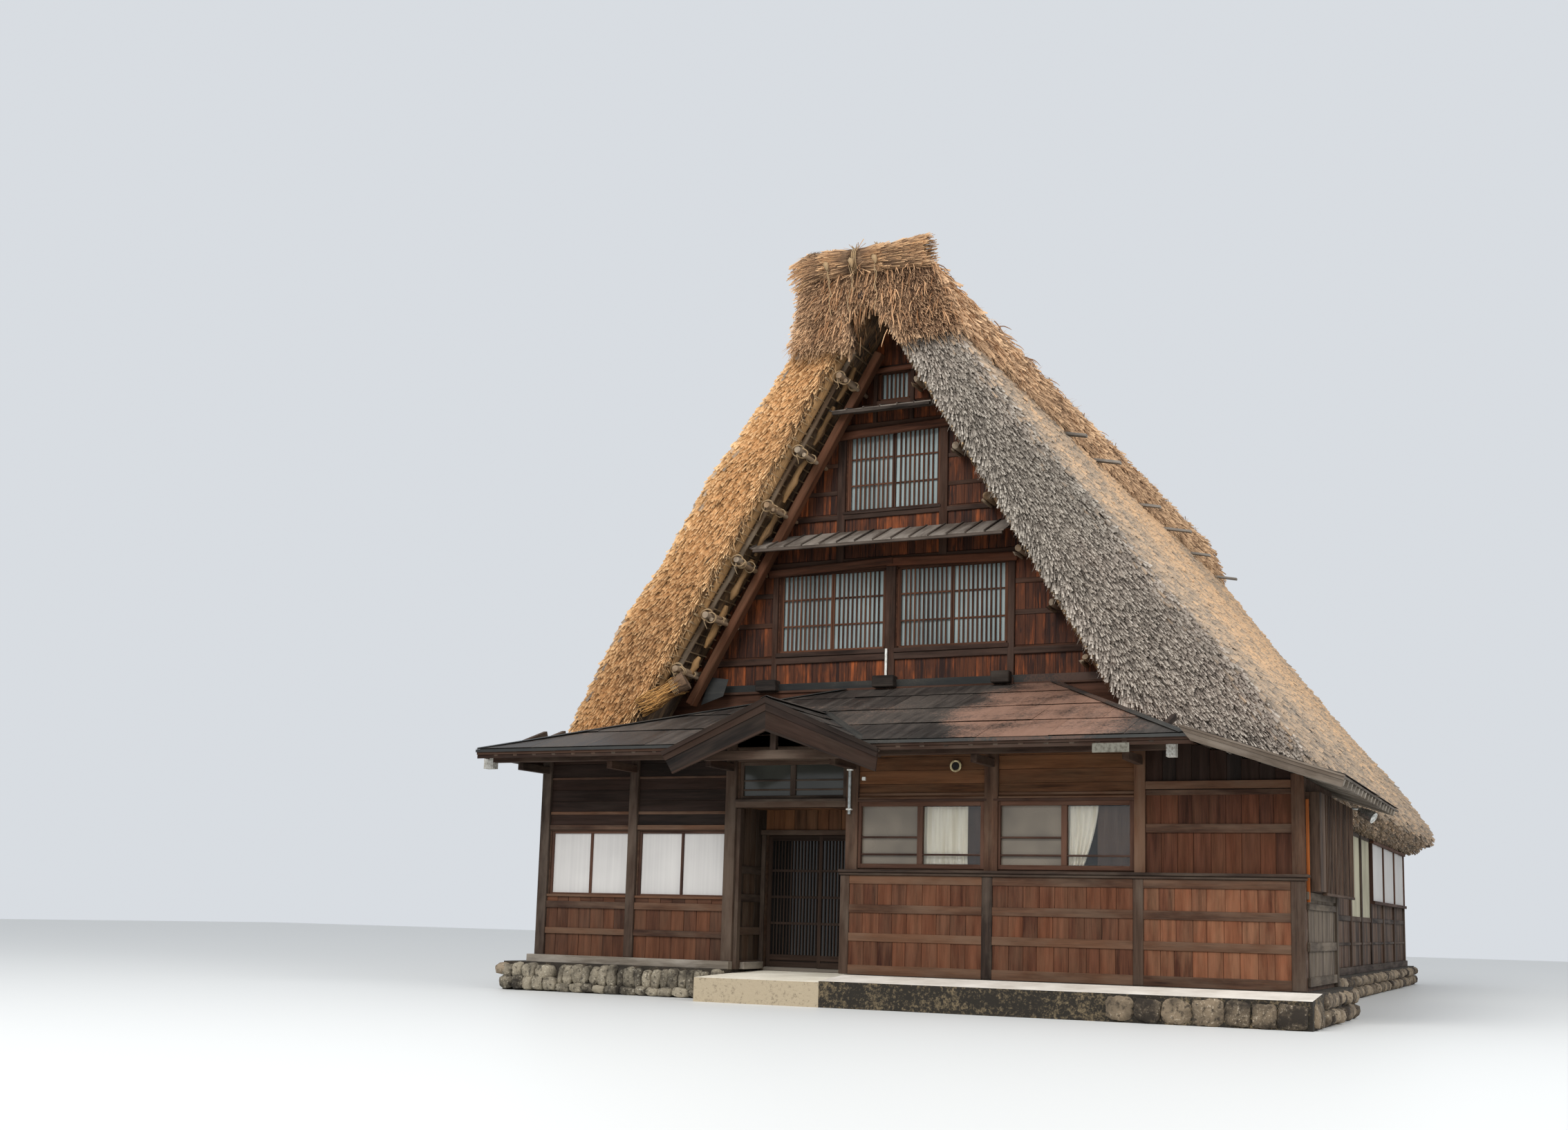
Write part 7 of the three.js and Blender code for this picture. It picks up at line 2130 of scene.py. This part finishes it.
for i, (a, b) in enumerate(zip(BACK_POSTS, BACK_POSTS[1:])):
    a, b = a + POST_HALF, b - POST_HALF
    glazed = i in BACK_SASHES
    low_top, high_foot = (SILL + 1.18, SILL + 2.16) if glazed else (LOW_ROW[1], HIGH_ROW[0])
    back_timbers += [bar(a, b, BACK_WALL_FACE, BACK_WALL_FACE + 0.03, z0, z1)
                     for z0, z1 in ((low_top, low_top + 0.07), (high_foot - 0.07, high_foot))]
    back_boards += upright_boards(rng, a, b, BACK_WALL_FACE, LOW_ROW[0], low_top, 0.19, 1.0)
    back_boards += upright_boards(rng, a, b, BACK_WALL_FACE, high_foot, SILL + 2.5, 0.19, 1.0)
carpentry("back_wall_timbers", back_timbers, dark_post, "dark_post", seed=67, warp=0.01)
carpentry("back_wall_boards", back_boards, side_board, "wall_board", seed=68)
back_bars, back_panes = [], []
for number_of in (1, 2):
    low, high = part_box(f"back_window_{number_of}")
    back_bars += window_bars(low.x, high.x, low.y, high.y, low.z, high.z, SASH_EDGE, 0.07,
                             ((low.z + MID_RAIL, low.x, high.x), (low.z + LOW_RAIL, low.x, high.x)))
    back_panes.append(pane(low.x + 0.03, high.x - 0.03, high.y - 0.06, low.z + 0.03, high.z - 0.03))
carpentry("back_sash_frames", back_bars, sash_brown, "dark_post", seed=69, chamfer=0.003)
flat_plates("back_panes", back_panes, frosted, "frosted_pane", "back_window_1", "back_window_2")

# Lean-to side: grey weathered boards and battens below, and over them the box that holds the
# storm shutters, closed with plain boards near the corner and upright slats beyond.
LEAN_FACE, LEAN_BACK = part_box("lean_to_side_wall")[1].x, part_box("lean_to_side_wall")[1].y
BOX_LOW, BOX_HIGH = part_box("shutter_box")
weathered = wood("weathered_board", "332a21", "605346", "7b6e5e", 0.6, 0.6)
LEAN_RAILS = [(0.02, 0.12), (0.40, 0.50), (0.86, 0.93)]
carpentry("lean_to_boards",
          upright_boards(rng, 0.13, LEAN_BACK, LEAN_FACE, SILL + 0.1, BOX_LOW.z - 0.02, 0.11, 1, "x")
          + upright_boards(rng, 9.42, LEAN_FACE, LEAN_BACK, SILL + 0.1, SILL + 2.2, 0.16, 1), weathered,
          "grey_wood", seed=71)
carpentry("lean_to_rails", [
    *[raised(LEAN_FACE, LEAN_FACE + 0.035, 0.06, LEAN_BACK + 0.02, z0, z1) for z0, z1 in LEAN_RAILS],
    raised(LEAN_FACE - 0.02, LEAN_FACE + 0.045, LEAN_BACK - 0.07, LEAN_BACK + 0.045, -0.03, 2.2),
    bar(LEAN_FACE, LEAN_FACE + 0.03, 0.06, LEAN_BACK, BOX_LOW.z - 0.09, BOX_LOW.z - 0.005),
], weathered, "grey_wood", seed=72, warp=0.01)
SLAT_PITCH, SLAT_WIDE, PLAIN_LENGTH = 0.125, 0.045, 0.42
slats = [bar(BOX_HIGH.x, BOX_HIGH.x + 0.026, y, y + SLAT_WIDE, BOX_LOW.z - 0.01, BOX_HIGH.z)
         for y in np.arange(BOX_LOW.y + PLAIN_LENGTH, BOX_HIGH.y - SLAT_WIDE, SLAT_PITCH)]
slats += [bar(BOX_HIGH.x, BOX_HIGH.x + 0.014, BOX_LOW.y + a, BOX_LOW.y + b, BOX_LOW.z, BOX_HIGH.z)
          for a, b in ((0.0, 0.20), (0.206, PLAIN_LENGTH - 0.006))]
slats += [bar(BOX_LOW.x + 0.05, BOX_HIGH.x + 0.012, BOX_LOW.y - 0.014, BOX_LOW.y, BOX_LOW.z, BOX_HIGH.z),
          bar(BOX_HIGH.x - 0.03, BOX_HIGH.x + 0.024, BOX_LOW.y + 0.4, BOX_HIGH.y, BOX_LOW.z - 0.035,
              BOX_LOW.z - 0.004)]
slat_wood = wood("slat_wood", "261910", "584131", "6d5a49", 0.35, 0.8)
carpentry("shutter_box_slats", slats, slat_wood, "grey_wood", seed=73)
carpentry("fresh_corner_strip", [bar(BOX_LOW.x, BOX_LOW.x + 0.038, BOX_LOW.y - 0.012, BOX_LOW.y - 0.001,
                                     BOX_LOW.z - 0.12, BOX_HIGH.z - 0.08)],
          wood("fresh_wood", "7c3c14", "b4642a", "8a5a38", 0.2, 0.3), "wall_board", seed=74)
repaint("shutter_box", solid_board)
repaint("pent_roof_back", solid_board)
for node in ("ground_floor", "second_floor", "third_floor", "attic_floor"):
    repaint(node, solid_cedar)

# Small parts: beam ends at the gable's foot, a vent sleeve, a steel tube beside the doors, a steel
# patch on the eave, a lamp by the shutters and a tied bundle of spare straw.
carpentry("gable_foot_blocks", [raised(x0, x1, 1.93, GABLE_FACE - 0.002, 3.80, 3.96)
                                for x0, x1 in ((2.20, 2.52), (4.00, 4.32), (5.72, 5.98))],
          wood("foot_block", "16120f", "3a2f27", "4f463d", 0.3, 0.6), "dark_post", seed=75, chamfer=0.012)


def plain_finish(name, light, dark, roughness, metal=0.0):
    material, tree, shader, here = new_material(name)
    dirt = cloud(tree, here, 22.0, 4.0)
    tree.links.new(shades(tree, dirt, 0.45, 0.7, light, dark), shader["Base Color"])
    tree.links.new(spread(tree, dirt, 0.4, 0.7, roughness, min(1.0, roughness + 0.25)),
                   shader["Roughness"])
    shader["Metallic"].default_value = metal
    return material


white_plastic = plain_finish("white_plastic", "e6e4dc", "b9b4a6", 0.4)
zinc = plain_finish("zinc_tube", "b3b8b6", "858a86", 0.45, 0.5)
pale_steel = plain_finish("pale_steel", "6f6c60", "4b463c", 0.7, 0.1)
gable_pipe = ([(4.17, 2.025, SILL + 3.94), (4.17, 2.025, SILL + 4.34)], 0.018)
rounds("gable_pipe", [gable_pipe], white_plastic, None, sides=14)
TUBE_X, TUBE_Y = 4.575, -0.028
rounds("door_light_tube", [
    ([(TUBE_X, TUBE_Y, SILL + 1.92), (TUBE_X, TUBE_Y, SILL + 2.50)], 0.019),
    ([(TUBE_X, TUBE_Y, SILL + 2.49), (TUBE_X - 0.01, TUBE_Y, SILL + 2.62),
      (TUBE_X - 0.06, TUBE_Y, SILL + 2.675),
      (TUBE_X - 0.14, TUBE_Y, SILL + 2.685), (3.16, TUBE_Y, SILL + 2.68)], 0.011),
    *[([(x, TUBE_Y - 0.002, SILL + 2.68), (x + 0.07, TUBE_Y - 0.002, SILL + 2.68)], 0.017)
      for x in (3.42, 3.86, 4.30)],
], zinc, None, sides=14)
carpentry("tube_clamps", [bar(TUBE_X - 0.035, TUBE_X + 0.035, TUBE_Y - 0.024, 0.0, SILL + z,
                              SILL + z + 0.02)
                          for z in (1.97, 2.46)] + [raised(4.72, 4.765, 0.012, 0.038, 2.34, 2.385)],
          white_plastic, None, seed=76, chamfer=0.003)
VENT = Vector((5.96, 0.01, SILL + 2.50))
vent_ring = [VENT + Vector((0.062 * math.cos(2 * math.pi * i / 28), -0.01,
                            0.062 * math.sin(2 * math.pi * i / 28)))
             for i in range(29)]
rounds("vent_sleeve", [(vent_ring, 0.013)], plain_finish("old_enamel", "c8b98f", "8f7d5c", 0.5), None,
       sides=10)
# The hole is a near-black plug: painted shade inside the vent
rounds("vent_hole", [([VENT + Vector((0, -0.012, 0)), VENT + Vector((0, 0.03, 0))], 0.055)],
       plain_finish("vent_shade_plug", "1a1512", "0f0c0a", 0.8), "dark_post", sides=24)
carpentry("eave_patch", [raised(7.92, 8.34, -0.9535, -0.9505, 2.53, 2.635)], pale_steel, None,
          seed=77, chamfer=0.001)
LAMP = Vector((10.33, 2.93, SILL + 2.12))
rounds("wall_lamp", [
    ([LAMP + Vector((-0.13, -0.02, 0.05)), LAMP + Vector((-0.02, 0, 0.04))], 0.014),
    ([LAMP + Vector((-0.03, 0, 0.045)), LAMP, LAMP + Vector((0.05, -0.01, -0.02)),
      LAMP + Vector((0.14, -0.04, -0.075))],
     [0.035, 0.058, 0.066, 0.072]),
], plain_finish("lamp_metal", "d5d5d0", "8f8f8a", 0.25, 0.8), None, sides=20)
bundle_start, bundle_end = Vector((0.86, 1.12, SILL + 3.53)), Vector((1.44, 1.30, SILL + 3.90))
bundle_line = [bundle_start.lerp(bundle_end, i / 9) for i in range(10)]
bundle_thick = [0.11, 0.12, 0.125, 0.115, 0.095, 0.09, 0.1, 0.12, 0.135, 0.14]
rounds("spare_straw_core", [(bundle_line, bundle_thick)], ridge_bed, "new_straw", sides=16, knobbly=0.02)
along = (bundle_end - bundle_start).normalized()
across = along.cross(Vector((0, 0, 1))).normalized()
upward = across.cross(along)
stalks = []
for _ in range(330):
    angle = rng.uniform(0, 2 * math.pi)
    start = rng.uniform(-0.12, 0.35)
    end = min(start + rng.uniform(0.3, 0.6), 1.12)
    path = []
    for share in np.linspace(start, end, 4):
        thick = float(np.interp(share, np.linspace(0, 1, 10), bundle_thick)) + 0.006
        spoke = across * math.cos(angle) + upward * math.sin(angle)
        angle += rng.uniform(-0.22, 0.22)
        path.append(bundle_start.lerp(bundle_end,
                                      float(share)) + spoke * (thick + rng.uniform(-0.008, 0.024)))
    stalks.append((path, [0.006, 0.009, 0.008, 0.003]))
fresh_straw = wood("fresh_straw", "6f4a26", "dba865", "b68c56", 0.3, 1.3)
rounds("spare_straw_stalks", stalks, fresh_straw, "new_straw", sides=3)
bundle_ties = [(wound(bundle_start.lerp(bundle_end, share), along, thick, 3.2, 0.022, 14), 0.008)
               for share, thick in ((0.3, 0.127), (0.48, 0.105), (0.72, 0.122))]
rounds("spare_straw_ties", bundle_ties, rope, "new_straw", sides=6)
flat_plates("rafter_foot_plate", [
    ([(1.36, 1.88, SILL + 3.62), (1.72, 1.88, SILL + 3.74), (1.80, 1.88, SILL + 3.98),
      (1.50, 1.88, SILL + 4.02)],
     (0, 0.004, 0), (1, 0, 0)),
    ([(1.36, 1.88, SILL + 3.62), (1.50, 1.88, SILL + 4.02), (1.42, 2.06, SILL + 4.02),
      (1.28, 2.06, SILL + 3.66)],
     (0.004, 0, 0), (0, 0, 1)),
], eave_steel, "sheet_roof")
